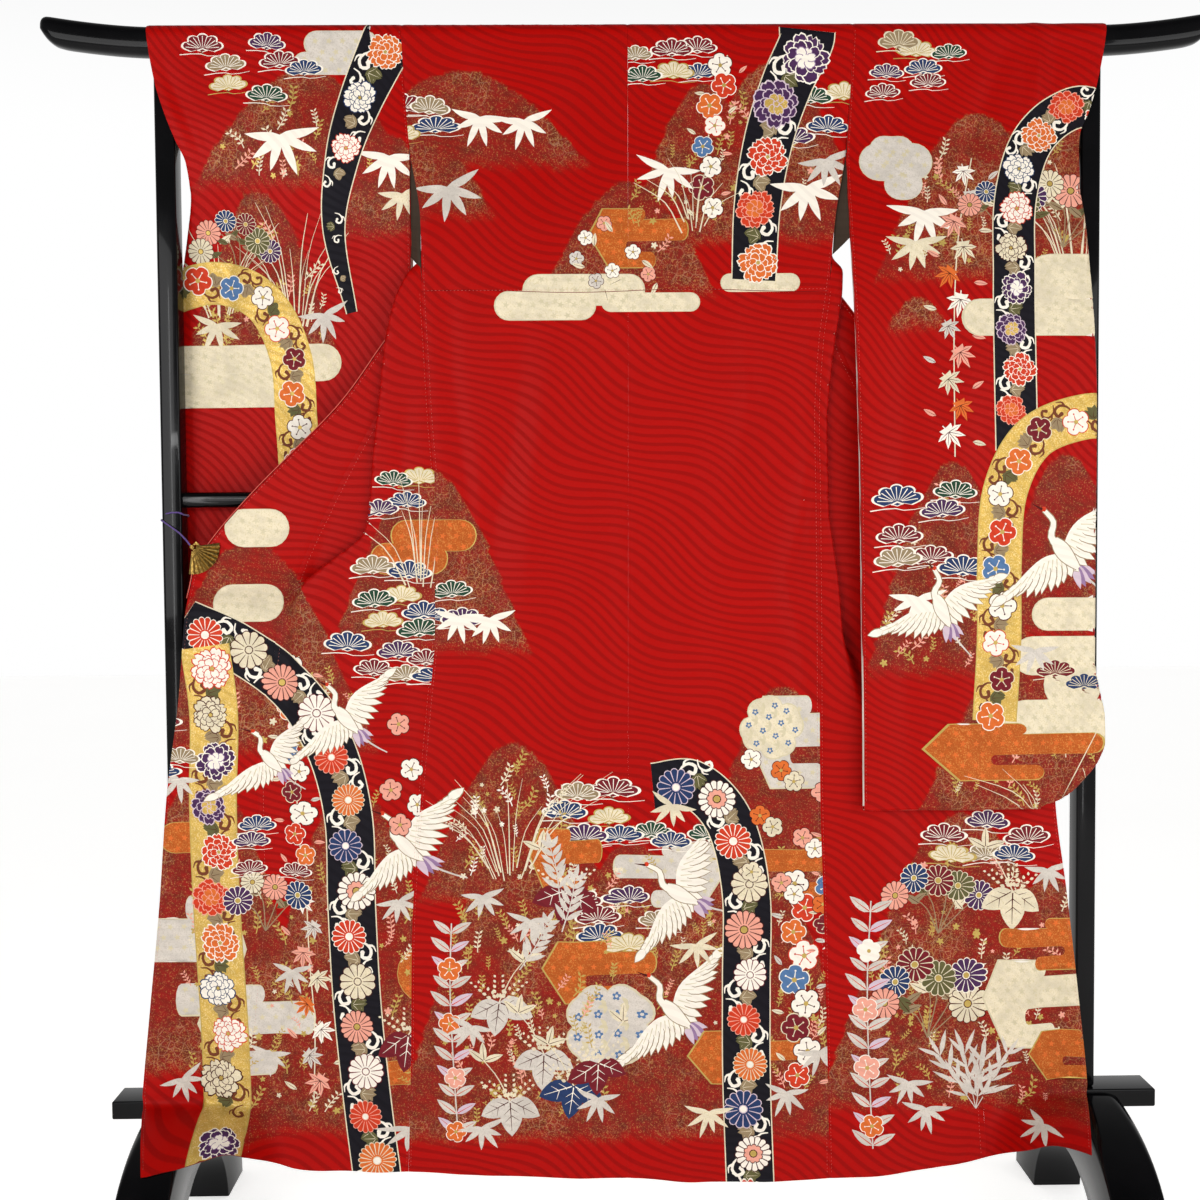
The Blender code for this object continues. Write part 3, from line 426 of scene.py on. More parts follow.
def hung(side, out, depth, z):
    """Points of the cloth from their places across, their depths and their heights."""
    x = centre_x(z) + side * out
    return np.stack(np.broadcast_arrays(x, depth, z), axis=-1)


def placed(side, out, depth, z):
    """The same with the soft folds near the hem and the drape over the feet."""
    x = centre_x(z) + side * out
    depth = depth - hem_folds(x, z)
    return np.stack(np.broadcast_arrays(*over_feet(x, depth, z)), axis=-1)


def wrap(turn):
    """The cloth over the rail: depth and height at an angle from the crest, front negative."""
    s, c = math.sin(turn), math.cos(turn)
    power = 2 / RAIL_SQUARENESS
    depth = math.copysign(abs(s) ** power, s) * (RAIL_HALF_DEPTH + OFF_RAIL)
    return depth, RAIL_Z + abs(c) ** power * (RAIL_HALF_HEIGHT + OFF_RAIL)


WRAP_TURNS = np.radians(np.linspace(-84, 84, 29))


def height(side, out, level):
    """The real height of a level at this place: the low levels follow the hem."""
    hem = read(HEM, "z", centre_x(0.1) + side * out)
    share = (level - LEVEL_HEM) / (LEVEL_FREE - LEVEL_HEM)
    return np.where(level >= LEVEL_FREE, level, blend(hem, LEVEL_FREE, share))


def body_edge(side, level):
    return read(BODY_EDGE, side_key(side), level) - SEAM_GAP / 2


def fold_section(side, level):
    """The front at one level, from its side edge to its front seam, as out and depth pairs.

    It is walked as a path: straight, a bend at the lip, straight back, a bend at the fold
    and straight out again. A heading of 0 goes out, 90 goes back and 180 goes in.
    """
    table = FOLDS[side]
    edge = body_edge(side, level) + 2 * SEAM_GAP * ease(level, 1.5, 1.47)
    edge += 0.0013 * ease(level, SIDE_SEAM_TOP - 0.006, SIDE_SEAM_TOP) * ease(level, 1.43, 1.41)
    depth = read(BACK_DEPTH, "depth", level) + read(table, "behind", level)
    near = read(table, "near", level)
    lip = math.radians(read(table, "lip_turn", level))
    fold = math.radians(read(table, "fold_turn", level))
    start = math.pi - lip if level > SIDE_SEAM_TOP else 0.0

    def walk(back_length, out_length):
        headings, runs, angle = [], [], start
        amounts = (near, lip, back_length, -fold, out_length)
        for index, (amount, steps) in enumerate(zip(amounts, FRONT_COUNTS)):
            bends = index in (1, 3)
            turn = amount / steps if bends else 0.0
            headings += [angle + turn * (k + 0.5) for k in range(steps)]
            runs += [(BEND * math.pi if bends else amount) / steps] * steps
            angle += turn * steps
        moves = np.array(runs)[:, None] * np.stack([np.cos(headings), np.sin(headings)], 1)
        return np.vstack([(edge, depth), (edge, depth) + np.cumsum(moves, axis=0)])

    turned = start + lip
    from_lip = walk(0.0, 0.0)[FRONT_COUNTS[0] + FRONT_COUNTS[1]][0]
    inward = (from_lip - read(table, "fold_out", level)) / max(0.4, -math.cos(turned))
    back_length = max(TIP, inward) if math.cos(turned) < -0.4 else TIP
    last = turned - fold
    reach = read(table, "seam_out", level) - walk(back_length, 0.0)[-1][0]
    towards = reach / math.cos(last) if abs(math.cos(last)) > 0.7 else TIP
    return walk(back_length, max(TIP, towards))


# Sheets of cloth


FRONT_ROWS = np.concatenate([span(RAIL_Z, 1.48)[:-1], span(1.48, 1.34, 0.005)[:-1],
                             span(1.34, 1.04)[:-1], span(1.04, 0.8, 0.005)[:-1],
                             span(0.8, LEVEL_HEM)])
front_sections = {}
for side in (-1, 1):
    walked = np.array([fold_section(side, level) for level in FRONT_ROWS])
    crossing = np.maximum(ease(np.abs(FRONT_ROWS - 0.94), 0.16, 0.1),
        ease(np.abs(FRONT_ROWS - 1.4), 0.08, 0.05))
    front_sections[side] = smooth_rows(walked, crossing)


def front_seam(side, level):
    """Where the front's section ends, at any level: out and depth."""
    ends = front_sections[side][:, -1]
    down = FRONT_ROWS[::-1]
    return tuple(np.interp(level, down, ends[::-1, k]) for k in (0, 1))


def body_grid(side):
    """One body length, from the back hem over the rail to the front hem."""
    on_rail = front_sections[side][0][:, 0]
    across = len(on_rail) - 1
    share = np.arange(across + 1) / across
    rows = []
    back_levels = span(LEVEL_HEM, RAIL_Z)[:-1]
    for level in back_levels:
        edge = body_edge(side, level)
        even = blend(edge, SEAM_GAP / 2, share)
        out = blend(even, on_rail * edge / on_rail[0], ease(level, 1.4, 1.66))
        depth = read(BACK_DEPTH, "depth", level)
        rows.append(placed(side, out, depth, height(side, out, level)))
    for turn in WRAP_TURNS:
        depth, z = wrap(turn)
        rows.append(placed(side, on_rail, depth, z))
    for level, path in zip(FRONT_ROWS, front_sections[side]):
        out, depth = path[:, 0], path[:, 1]
        rows.append(placed(side, out, depth, height(side, out, level)))
    return np.array(rows), len(back_levels) + len(WRAP_TURNS) // 2


def okumi_grid(side):
    """The front gore, a point at the top, from the body's front edge to the free edge."""
    rows = []
    share = np.arange(OKUMI_COUNT + 1) / OKUMI_COUNT
    for level in span(LEVEL_HEM, KENSAKI_Z, 0.007):
        seam, depth = front_seam(side, level)
        inner = seam + SEAM_GAP * (1 + ease(level, 0.26, 0.2))
        out = blend(inner, read(FRONT_EDGE, side_key(side), level), share)
        rows.append(placed(side, out, depth, height(side, out, level)))
    return np.array(rows)


def collar_side(side):
    """Rows of the collar from its low end up to the middle of the back neck."""
    levels = span(COLLAR_END_Z, NECK_BACK_Z, 0.009)
    line = []
    for z in levels:
        out, depth = front_seam(side, z)
        if z <= KENSAKI_Z:
            out = read(FRONT_EDGE, side_key(side), z)
        line.append((float(out), float(depth), z))
    wide = [rows[0] for rows in COLLAR_SECTION[2:]]
    nodes = np.arange(len(wide))
    fine = np.linspace(0, nodes[-1], COLLAR_COUNT + 1)
    section = [np.interp(fine, nodes, [row[k] for row in COLLAR_SECTION[2:]]) for k in range(4)]
    hang_in, hang_back, fold_in, fold_back = section
    rows = []
    for i, (out, depth, z) in enumerate(line):
        low, high = line[max(0, i - 2)], line[min(len(line) - 1, i + 2)]
        run, rise = low[0] - high[0], low[2] - high[2]
        length = math.hypot(run, rise)
        turned = ease(z, 1.68, 1.54)
        away = np.array([turned * rise / length, -turned * run / length - (1 - turned)])
        away /= np.linalg.norm(away)
        twist = max(4 * turned * (1 - turned), 1 - abs(z - TWIST_Z) / 0.07)
        behind = COLLAR_CLEAR * max(0.0, twist)
        inwards = blend(hang_in, fold_in, turned)
        at = z + away[1] * inwards
        follow = blend(depth, front_seam(side, at)[1], ease(z, 1.6, 1.5))
        back = follow + behind + blend(hang_back, fold_back, turned)
        rows.append(placed(side, out + away[0] * inwards, back, at))
    return rows


def collar_grid():
    left, right = collar_side(-1), collar_side(1)
    grid = np.array(left + right[::-1])
    return smooth_rows(grid, np.full(len(grid), 0.7))


def sleeve_grid(side):
    """One folded piece: over the rail, rolled shut along the bottom and up to the wrist."""
    table = SLEEVES[side]
    low = table[-1][0]
    levels = np.concatenate([span(low, low + 0.12, 0.005)[:-1], span(low + 0.12, RAIL_Z)])
    share = np.arange(SLEEVE_COUNT + 1) / SLEEVE_COUNT
    quarter = np.linspace(0, math.pi / 2, EDGE_COUNT + 1)[1:]

    def across(inner, outer):
        even = blend(inner, outer - SLEEVE_EDGE_ROUND, share)
        return np.concatenate([even, outer - SLEEVE_EDGE_ROUND * (1 - np.sin(quarter))])

    def inner_edge(level):
        seam = body_edge(side, np.minimum(level, RAIL_Z)) + SEAM_GAP
        return blend(read(table, "inner", level), seam, ease(level, ARMHOLE_Z, ARMHOLE_Z + 0.008))

    def layer(level, face, sink):
        other = "back" if face == "front" else "front"
        inner, outer = inner_edge(level), read(table, "outer", level)
        closed = ease(level, WRIST_CLOSED_Z + 0.004, WRIST_CLOSED_Z - 0.008)
        out = across(inner, outer)
        t = np.clip((out - inner) / (outer - inner), 0, 1)
        depth = blend(read(table, face + "_in", level), read(table, face + "_out", level), t)
        far = blend(read(table, other + "_in", level), read(table, other + "_out", level), t)
        sign = 1.0 if face == "front" else -1.0
        middle = (depth + far) / 2 - sign * 0.0009
        shut = np.concatenate([np.zeros(SLEEVE_COUNT + 1), 1 - np.cos(quarter)]) * closed
        depth = blend(depth, middle, np.maximum(shut, sink[0]))
        return hung(side, out, depth, level - sink[1])

    def layers(face):
        bottom = [(1 - math.cos(a), SLEEVE_EDGE_ROUND * math.sin(a)) for a in quarter[::-1]]
        rows = [layer(low + SLEEVE_EDGE_ROUND, face, sink) for sink in bottom]
        return rows + [layer(level, face, (0.0, 0.0)) for level in levels if level > low + 0.0045]

    over = []
    for turn in WRAP_TURNS:
        depth, z = wrap(turn)
        over.append(hung(side, across(inner_edge(z), read(table, "outer", z)), depth, z))
    front, back = layers("front"), layers("back")
    return np.array(front[:-1] + over + back[::-1][1:]), len(front) + len(over) // 2


def sleeve_lining_grid(side):
    """A strip of the pale lining, just proud of the sleeve's open inner edge."""
    table = SLEEVES[side]
    rows = []
    away = np.linspace(-0.001, 0.008, 7)
    for z in span(table[-1][0] + 0.008, ARMHOLE_Z - 0.004, 0.01):
        inner, outer = read(table, "inner", z), read(table, "outer", z)
        t = away / (outer - inner)
        depth = blend(read(table, "front_in", z), read(table, "front_out", z), t) + LINING_BEHIND
        wave = 0.0004 * math.sin(z * 47) + 0.0003 * math.sin(z * 113)
        rows.append(hung(side, inner + away + wave, depth, z))
    return np.array(rows)


def armhole_grid(side):
    """The pale lining inside the front that shows between the sleeve and the body, dyed dark grey-brown as
    painted shade.
    """
    table = SLEEVES[side]
    low = 1.416 if side < 0 else 1.433
    share = np.linspace(0, 1, 7)
    rows = []
    for level in span(low, 1.538, 0.006):
        z = level - 0.026 * share * ease(level, low + 0.05, low)
        inner, edge = read(table, "inner", z) + 0.004, body_edge(side, z)
        over = 0.0045 * ease(z, 1.44, 1.46) - 0.0012
        near = read(table, "front_in", z) + 0.0046
        far = read(BACK_DEPTH, "depth", z) + np.minimum(read(FOLDS[side], "behind", z), 0.012) / 2
        rows.append(hung(side, blend(inner, edge - over, share), blend(near, far, ease(share, 0.1, 1)), z))
    return np.array(rows)


def catmull(t):
    """The four weights of a smooth curve through even points."""
    return (((2 - t) * t - 1) * t / 2, ((3 * t - 5) * t * t + 2) / 2, ((4 - 3 * t) * t + 1) * t / 2,
        (t - 1) * t * t / 2)


class Cloth:
    """A sheet: its grid of points in place, and where each lies when the sheet is flat."""

    def __init__(self, name, grid, turn_row=None, facing=-1):
        self.name, self.grid, self.turn_row = name, grid, turn_row
        across = np.linalg.norm(np.diff(grid, axis=1), axis=2)
        self.u = np.concatenate([np.zeros((len(grid), 1)), np.cumsum(across, axis=1)], axis=1)
        along = np.linalg.norm(np.diff(grid[:, 0], axis=0), axis=1)
        self.v = np.concatenate([[0.0], np.cumsum(along)])
        self.length = self.v[-1]
        self.out = 1.0
        normal = self.normal(np.array([self.width(self.v[3]) / 2]), self.v[3:4])[0]
        self.out = 1.0 if normal[1] * facing > 0 else -1.0
        self.marks, self.creases, self.hills, self.views = [], [], [], {}

    def width(self, v):
        return np.interp(v, self.v, self.u[:, -1])

    def cell(self, u, v):
        """Row and column numbers, and how far on from each, of flat places."""
        row = np.interp(v, self.v, np.arange(len(self.v)))
        i = np.clip(row.astype(int), 0, len(self.v) - 2)
        f = row - i
        j = np.empty(len(u), int)
        g = np.empty(len(u))
        last = self.u.shape[1] - 2
        for start in range(0, len(u), 60000):
            part = slice(start, start + 60000)
            line = self.u[i[part]] * (1 - f[part])[:, None] + self.u[i[part] + 1] * f[part][:, None]
            k = np.clip((line <= u[part][:, None]).sum(1) - 1, 0, last)
            pick = np.arange(len(k))
            low, high = line[pick, k], line[pick, k + 1]
            j[part] = k
            g[part] = np.clip((u[part] - low) / np.maximum(high - low, 1e-9), 0, 1)
        return i, f, j, g

    def at(self, u, v):
        """Where flat places are on the hanging sheet."""
        i, f, j, g = self.cell(u, v)
        across, along = catmull(g), catmull(f)
        rows, wide = self.grid.shape[:2]
        found = np.zeros((len(u), 3))
        for m in range(4):
            row = np.clip(i + m - 1, 0, rows - 1)
            for n in range(4):
                column = np.clip(j + n - 1, 0, wide - 1)
                found += (along[m] * across[n])[:, None] * self.grid[row, column]
        return found

    def slopes(self, u, v, step=0.0012):
        """How the place moves with u and with v."""
        u = np.clip(u, 0, self.width(v))
        v = np.clip(v, 0, self.length)
        u0, u1 = np.maximum(u - step, 0), np.minimum(u + step, self.width(v))
        v0, v1 = np.maximum(v - step, 0), np.minimum(v + step, self.length)
        along_u = (self.at(u1, v) - self.at(u0, v)) / np.maximum(u1 - u0, 1e-9)[:, None]
        along_v = (self.at(u, v1) - self.at(u, v0)) / np.maximum(v1 - v0, 1e-9)[:, None]
        return along_u, along_v

    def normal(self, u, v):
        normal = np.cross(*self.slopes(u, v))
        size = np.maximum(np.linalg.norm(normal, axis=1), 1e-12)
        return self.out * normal / size[:, None]

    def look(self, view):
        """The grid points that show in a view, as row numbers, column numbers and places."""
        if view not in self.views:
            rows, wide = self.grid.shape[:2]
            row, column = np.meshgrid(np.arange(rows), np.arange(wide), indexing="ij")
            low = self.grid[:, :, 2] < 0.925
            folded = sum(FRONT_COUNTS[:4])
            if view == "back":
                keep = row < self.turn_row
            elif view == "front":
                keep = (row >= self.turn_row) & (low | (column >= folded))
            elif view == "near":
                keep = (row >= self.turn_row) & (column <= FRONT_COUNTS[0])
            elif view == "far":
                keep = row >= self.turn_row
            else:
                keep = row >= 0
            self.views[view] = (row[keep], column[keep], self.grid[keep][:, [0, 2]])
        return self.views[view]

    def find(self, view, places):
        """The flat places of points that are seen straight on at (x, z) in a view."""
        rows, wide, seen = self.look(view)
        places = np.asarray(places, float)
        near = np.empty(len(places), int)
        for start in range(0, len(places), 500):
            part = places[start : start + 500]
            gap = ((part[:, None] - seen[None]) ** 2).sum(2)
            near[start : start + 500] = gap.argmin(1)
        u, v = self.u[rows[near], wide[near]], self.v[rows[near]]
        for _ in range(3):
            inside_v = np.clip(v, 0, self.length)
            inside_u = np.clip(u, 0, self.width(inside_v))
            here = self.at(inside_u, inside_v)
            along_u, along_v = self.slopes(inside_u, inside_v)
            gap = places - here[:, [0, 2]]
            a, b, c, d = along_u[:, 0], along_v[:, 0], along_u[:, 2], along_v[:, 2]
            size = a * d - b * c
            size = np.where(np.abs(size) < 0.2, np.sign(size) * 0.2 + 1e-9, size)
            u = inside_u + (d * gap[:, 0] - b * gap[:, 1]) / size
            v = inside_v + (a * gap[:, 1] - c * gap[:, 0]) / size
        return u, v

    def drawn(self):
        """Every shape as a dye and a flat outline, in the order they are laid."""
        ready = [None] * len(self.marks)
        for view in sorted({mark[1] for mark in self.marks}):
            motifs = [k for k, m in enumerate(self.marks) if m[0] == "motif" and m[1] == view]
            if motifs:
                u, v = self.find(view, [self.marks[k][2] for k in motifs])
                along_u, along_v = self.slopes(u, v)
                facing = self.normal(np.clip(u, 0, self.width(v)), np.clip(v, 0, self.length))
                up = np.array([0.0, 0.0, 1.0]) - facing * facing[:, 2:3]
                up /= np.linalg.norm(up, axis=1)[:, None]
                right = np.cross(up, facing)
                uu, vv, uv = (along_u**2).sum(1), (along_v**2).sum(1), (along_u * along_v).sum(1)
                for n, k in enumerate(motifs):
                    _, _, _, shapes, size, turn = self.marks[k]
                    metric = np.array([[uu[n], uv[n]], [uv[n], vv[n]]])
                    wanted = np.array([[along_u[n] @ right[n], along_u[n] @ up[n]],
                        [along_v[n] @ right[n], along_v[n] @ up[n]]])
                    c, s = math.cos(turn) * size, math.sin(turn) * size
                    spin = np.array([[c, -s], [s, c]])
                    carry = np.linalg.solve(metric, wanted) @ spin
                    here = np.array([u[n], v[n]])
                    ready[k] = [(dye, here + outline @ carry.T) for dye, outline in shapes]
            areas = [k for k, m in enumerate(self.marks) if m[0] == "area" and m[1] == view]
            if areas:
                u, v = self.find(view, np.concatenate([self.marks[k][2] for k in areas]))
                start = 0
                for k in areas:
                    count = len(self.marks[k][2])
                    part = np.stack([u[start : start + count], v[start : start + count]], 1)
                    ready[k] = [(self.marks[k][3], part)]
                    start += count
        return [shape for shapes in ready for shape in shapes]

    def border(self):
        """The sheet's outline when flat, anticlockwise."""
        step = MAP_STEP
        top_width, low_width = self.width(self.length), self.width(0.0)
        low = [(u, 0.0) for u in span(0, low_width, step)[:-1]]
        right = [(self.u[k, -1], self.v[k]) for k in range(len(self.v))][:-1]
        top = [(u, self.length) for u in span(top_width, 0, step)[:-1]]
        left = [(0.0, v) for v in self.v[::-1]][:-1]
        return np.array(low + right + top + left)

    def inside(self, step, margin):
        """Points spread evenly over the flat sheet, clear of its outline."""
        found = []
        for k, v in enumerate(np.arange(margin, self.length - margin / 2, step * 0.87)):
            start = margin + (step / 2 if k % 2 else 0.0)
            for u in np.arange(start, self.width(v) - margin * 0.8, step):
                found.append((u, v))
        return np.array(found) if found else np.zeros((0, 2))

    def bends(self):
        """The grid's own points wherever the sheet bends sharply, clear of its outline."""
        sharp = np.zeros(self.grid.shape[:2], bool)
        for axis in (0, 1):
            run = np.diff(self.grid, axis=axis)
            run = run / np.maximum(np.linalg.norm(run, axis=2, keepdims=True), 1e-9)
            part = [slice(None)] * 2
            after = list(part)
            part[axis], after[axis] = slice(None, -1), slice(1, None)
            turned = (run[tuple(part)] * run[tuple(after)]).sum(2) < math.cos(math.radians(2.6))
            middle = [slice(None)] * 2
            middle[axis] = slice(1, -1)
            sharp[tuple(middle)] |= turned
        u, v = self.u, np.repeat(self.v[:, None], self.grid.shape[1], axis=1)
        wide_here = self.u[:, -1:]
        sharp &= (u > 0.0012) & (u < wide_here - 0.0012) & (v > 0.002) & (v < self.length - 0.002)
        return np.stack([u[sharp], v[sharp]], 1)

    def lift(self, u, v, place, normal):
        """How far creases and rolled seams move each point, outwards along its normal."""
        raised = np.zeros(len(u))
        wide = self.width(v)
        for edge in (u, wide - u):
            raised -= 0.0007 * np.exp(-((edge / 0.0022) ** 2))
        clear = ease(u, 0.0, 0.022) * ease(wide - u, 0.0, 0.022)
        for view, line, width, depth in self.creases:
            line = np.asarray(line, float)
            best = np.full(len(u), 9.0)
            fade = np.zeros(len(u))
            total = np.linalg.norm(np.diff(line, axis=0), axis=1).sum()
            passed = 0.0
            for a, b in zip(line, line[1:]):
                run = b - a
                size = np.linalg.norm(run)
                gap = place[:, [0, 2]] - a
                t = np.clip(gap @ run / size**2, 0, 1)
                away = np.linalg.norm(gap - t[:, None] * run, axis=1)
                along = (passed + t * size) / total
                closer = away < best
                best = np.where(closer, away, best)
                fade = np.where(closer, np.sin(math.pi * np.clip(along, 0.02, 0.98)) ** 0.6, fade)
                passed += size
            raised += shows(self, view, normal, v) * clear * depth * fade * np.exp(-((best / width) ** 2))
        return raised


def in_outline(points, outline):
    """Which points are inside a closed outline."""
    inside = np.zeros(len(points), bool)
    x, y = points[:, 0], points[:, 1]
    ends = np.roll(outline, -1, axis=0)
    for (ax, ay), (bx, by) in zip(outline, ends):
        if ay == by:
            continue
        cross = (ay > y) != (by > y)
        inside ^= cross & (x < (bx - ax) * (y - ay) / (by - ay) + ax)
    return inside


def cut(points, lines):
    """Triangles over flat points with lines kept as edges: places and corners."""
    made = delaunay_2d_cdt([tuple(p) for p in points], lines, [], 0, 1e-6, False)
    return np.array([tuple(p) for p in made[0]]), np.array(made[2], int)


def loop_lines(start, count):
    return [(start + k, start + (k + 1) % count) for k in range(count)]


def dyed(places, corners, shapes, base):
    """The dye of each triangle: that of the last shape laid over it."""
    middles = places[corners].mean(axis=1)
    order = np.argsort(middles[:, 1])
    sorted_v = middles[order, 1]
    sorted_u = middles[order, 0]
    found = np.full(len(corners), base)
    for dye, outline in shapes:
        low, high = outline.min(0), outline.max(0)
        a, b = np.searchsorted(sorted_v, (low[1], high[1]))
        if a == b:
            continue
        u = sorted_u[a:b]
        pick = np.nonzero((u >= low[0]) & (u <= high[0]))[0] + a
        if len(pick) == 0:
            continue
        inside = in_outline(np.stack([sorted_u[pick], sorted_v[pick]], 1), outline)
        found[order[pick[inside]]] = dye
    return found


def tidy_shapes(cloth, shapes):
    """Drops shapes that miss the sheet, and turns dye names into numbers."""
    kept = []
    for dye, outline in shapes:
        low, high = outline.min(0), outline.max(0)
        if high[1] < 0 or low[1] > cloth.length or high[0] < 0:
            continue
        wide = max(cloth.width(low[1]), cloth.width(high[1]), cloth.width((low[1] + high[1]) / 2))
        if low[0] > wide:
            continue
        kept.append((DYES.index(dye), outline))
    return kept


def on_cloth(cloth, places, corners):
    """The triangles whose middles lie on the flat sheet."""
    u, v = places[corners].mean(axis=1).T
    return corners[(u > 0) & (v > 0) & (v < cloth.length) & (u < cloth.width(v))]


def sew(cloth, name, node, base="red", lining="lining", edge="edge", picture=True, wall=WALL):
    """Makes the sheet a closed wall: a dyed outer face, a lining face and a turned edge."""
    rim = cloth.border()
    shapes = tidy_shapes(cloth, cloth.drawn()) if picture else []
    bends = cloth.bends()
    spread = np.concatenate([cloth.inside(MAP_STEP, MAP_STEP * 0.55), bends])
    points = [rim, spread]
    lines = loop_lines(0, len(rim))
    total = len(rim) + len(spread)
    for _, outline in shapes:
        points.append(outline)
        lines += loop_lines(total, len(outline))
        total += len(outline)
    places, corners = cut(np.concatenate(points), lines)
    corners = on_cloth(cloth, places, corners)
    colour = dyed(places, corners, shapes, DYES.index(base))

    # The outer face's own edge, in order, is shared with the lining face through the turned edge
    a, b = corners, np.roll(corners, -1, axis=1)
    pairs = np.stack([a.ravel(), b.ravel()], 1)
    key = np.sort(pairs, axis=1)
    _, index, counts = np.unique(key, axis=0, return_index=True, return_counts=True)
    open_edges = pairs[index[counts == 1]]
    ring = np.unique(open_edges)
    back_points = np.concatenate([places[ring], cloth.inside(INSIDE_STEP, INSIDE_STEP * 0.5), bends])
    place_of = {int(k): n for n, k in enumerate(ring)}
    back_lines = [(place_of[int(p)], place_of[int(q)]) for p, q in open_edges]
    made = delaunay_2d_cdt([tuple(p) for p in back_points], back_lines, [], 0, 1e-7, True)
    back_places = np.array([tuple(p) for p in made[0]])
    moved_to = {}
    for new, olds in enumerate(made[3]):
        moved_to.update((old, new) for old in olds)
    back_corners = on_cloth(cloth, back_places, np.array(made[2], int))

    flat = np.concatenate([places, back_places])
    u = np.clip(flat[:, 0], 0, cloth.width(flat[:, 1]))
    v = np.clip(flat[:, 1], 0, cloth.length)
    where = cloth.at(u, v)
    normal = cloth.normal(u, v)
    raised = cloth.lift(u, v, where, normal)
    half = np.full(len(flat), wall / 2)
    half[len(places) :] = -wall / 2
    where = where + normal * (raised + half)[:, None]

    front = corners if cloth.out > 0 else corners[:, ::-1]
    behind = back_corners[:, ::-1] if cloth.out > 0 else back_corners
    behind = behind + len(places)
    turned = []
    for p, q in open_edges:
        if cloth.out < 0:
            p, q = q, p
        far_p = moved_to[place_of[int(p)]] + len(places)
        far_q = moved_to[place_of[int(q)]] + len(places)
        turned.append((int(q), int(p), far_p, far_q))
    faces = front.tolist() + behind.tolist() + turned
    inner, rim_dye = np.full(len(behind), DYES.index(lining)), np.full(len(turned), DYES.index(edge))
    dyes = np.concatenate([colour, inner, rim_dye])
    used = np.zeros(len(where), bool)
    for part in (front, behind):
        used[part.ravel()] = True
    renumber = np.cumsum(used) - 1
    mesh = bpy.data.meshes.new(name)
    mesh.from_pydata(where[used].tolist(), [], [[int(renumber[k]) for k in f] for f in faces])
    # Inside a sharp bend the lining is out of sight, so it takes the face's own dye there
    bent = np.zeros(len(behind), bool)
    for n in range(3):
        p, q = behind[:, n], behind[:, (n + 1) % 3]
        run = where[q] - where[p]
        opened = ((normal[q] - normal[p]) * run).sum(1) / np.maximum(np.linalg.norm(run, axis=1), 1e-9)
        bent |= opened > 0.16
    dyes[len(colour) : len(colour) + len(behind)][bent] = DYES.index(base)
    if base == "lining":
        # High up, the silk's own edge is turned over the strip
        high = np.array([where[list(face), 2].mean() > 0.84 for face in faces])
        dyes[high] = DYES.index("red")
    numbers = sorted(set(dyes.tolist()))
    for number in numbers:
        mesh.materials.append(DYE_MATERIALS[DYES[number]])
    slot_of = {number: k for k, number in enumerate(numbers)}
    mesh.polygons.foreach_set("material_index", [slot_of[n] for n in dyes.tolist()])
    mesh.shade_smooth()
    mesh.set_sharp_from_angle(angle=math.radians(60))
    for label, values in (("figure", cloth_figure(cloth, where)),
            ("hill", cloth_hills(cloth, where, normal, v))):
        attribute = mesh.attributes.new(label, "FLOAT", "POINT")
        attribute.data.foreach_set("value", values[used].astype(np.float32))
    uv = mesh.uv_layers.new(name="weave")
    corner_of = np.empty(len(mesh.loops), int)
    mesh.loops.foreach_get("vertex_index", corner_of)
    flat_used = np.stack([u, v], 1)[used]
    uv.data.foreach_set("uv", flat_used[corner_of].ravel().astype(np.float32))
    mesh.validate()
    mesh.update()
    piece = new_object(name, mesh)
    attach(piece, "root")
    if node:
        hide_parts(node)
    print(name, "triangles", len(front), len(behind), "shapes", len(shapes), flush=True)
    return piece


# The camera, the light and the floor

CAMERA_PLACE = (-0.0729, -2.0, 1.006)
CAMERA_TURNS = (0.767, 2.32, 0.424)
CAMERA_LENS = 42.0


def new_object(name, data):
    """A new object in the scene."""
    made = bpy.data.objects.new(name, data)
    bpy.context.scene.collection.objects.link(made)
    return made


def set_camera():
    data = bpy.data.cameras.new("camera")
    data.lens, data.sensor_width = CAMERA_LENS, 36.0
    camera = new_object("camera", data)
    turned, lowered, rolled = (math.radians(a) for a in CAMERA_TURNS)
    camera.matrix_world = (Matrix.Translation(CAMERA_PLACE) @ Matrix.Rotation(-turned, 4, "Z")
        @ Matrix.Rotation(math.pi / 2 - lowered, 4, "X") @ Matrix.Rotation(-rolled, 4, "Z"))
    bpy.context.scene.camera = camera


def soft_light(name, place, target, size, power):
    data = bpy.data.lights.new(name, "AREA")
    data.shape, data.size, data.size_y, data.energy = "RECTANGLE", size[0], size[1], power
    light = new_object(name, data)
    light.rotation_mode = "QUATERNION"
    light.location = place
    light.rotation_quaternion = (Vector(target) - Vector(place)).to_track_quat("-Z", "Y")


# Materials


def linear(shade):
    """A colour written as six hex digits, as a shader reads it."""
    parts = [int(shade[k : k + 2], 16) / 255 for k in (0, 2, 4)]
    return tuple(p / 12.92 if p <= 0.04045 else ((p + 0.055) / 1.055) ** 2.4 for p in parts) + (1.0,)


# The node tree that nodes are being added to
work = {}


def put(socket, value):
    """Gives an input a value, or joins another node's output to it."""
    if isinstance(value, bpy.types.NodeSocket):
        work["tree"].links.new(value, socket)
    else:
        socket.default_value = value


def add(kind, inputs=(), **settings):
    """A node in the tree being worked on, with its settings and its inputs."""
    node = work["tree"].nodes.new("ShaderNode" + kind)
    for key, value in settings.items():
        setattr(node, key, value)
    for key, value in dict(inputs).items():
        put(node.inputs[key], value)
    return node


def calc(operation, a, b=0.0, c=0.0):
    return add("Math", {0: a, 1: b, 2: c}, operation=operation).outputs[0]


def mix(share, a, b):
    return add("Mix", {0: share, 6: a, 7: b}, data_type="RGBA").outputs[2]


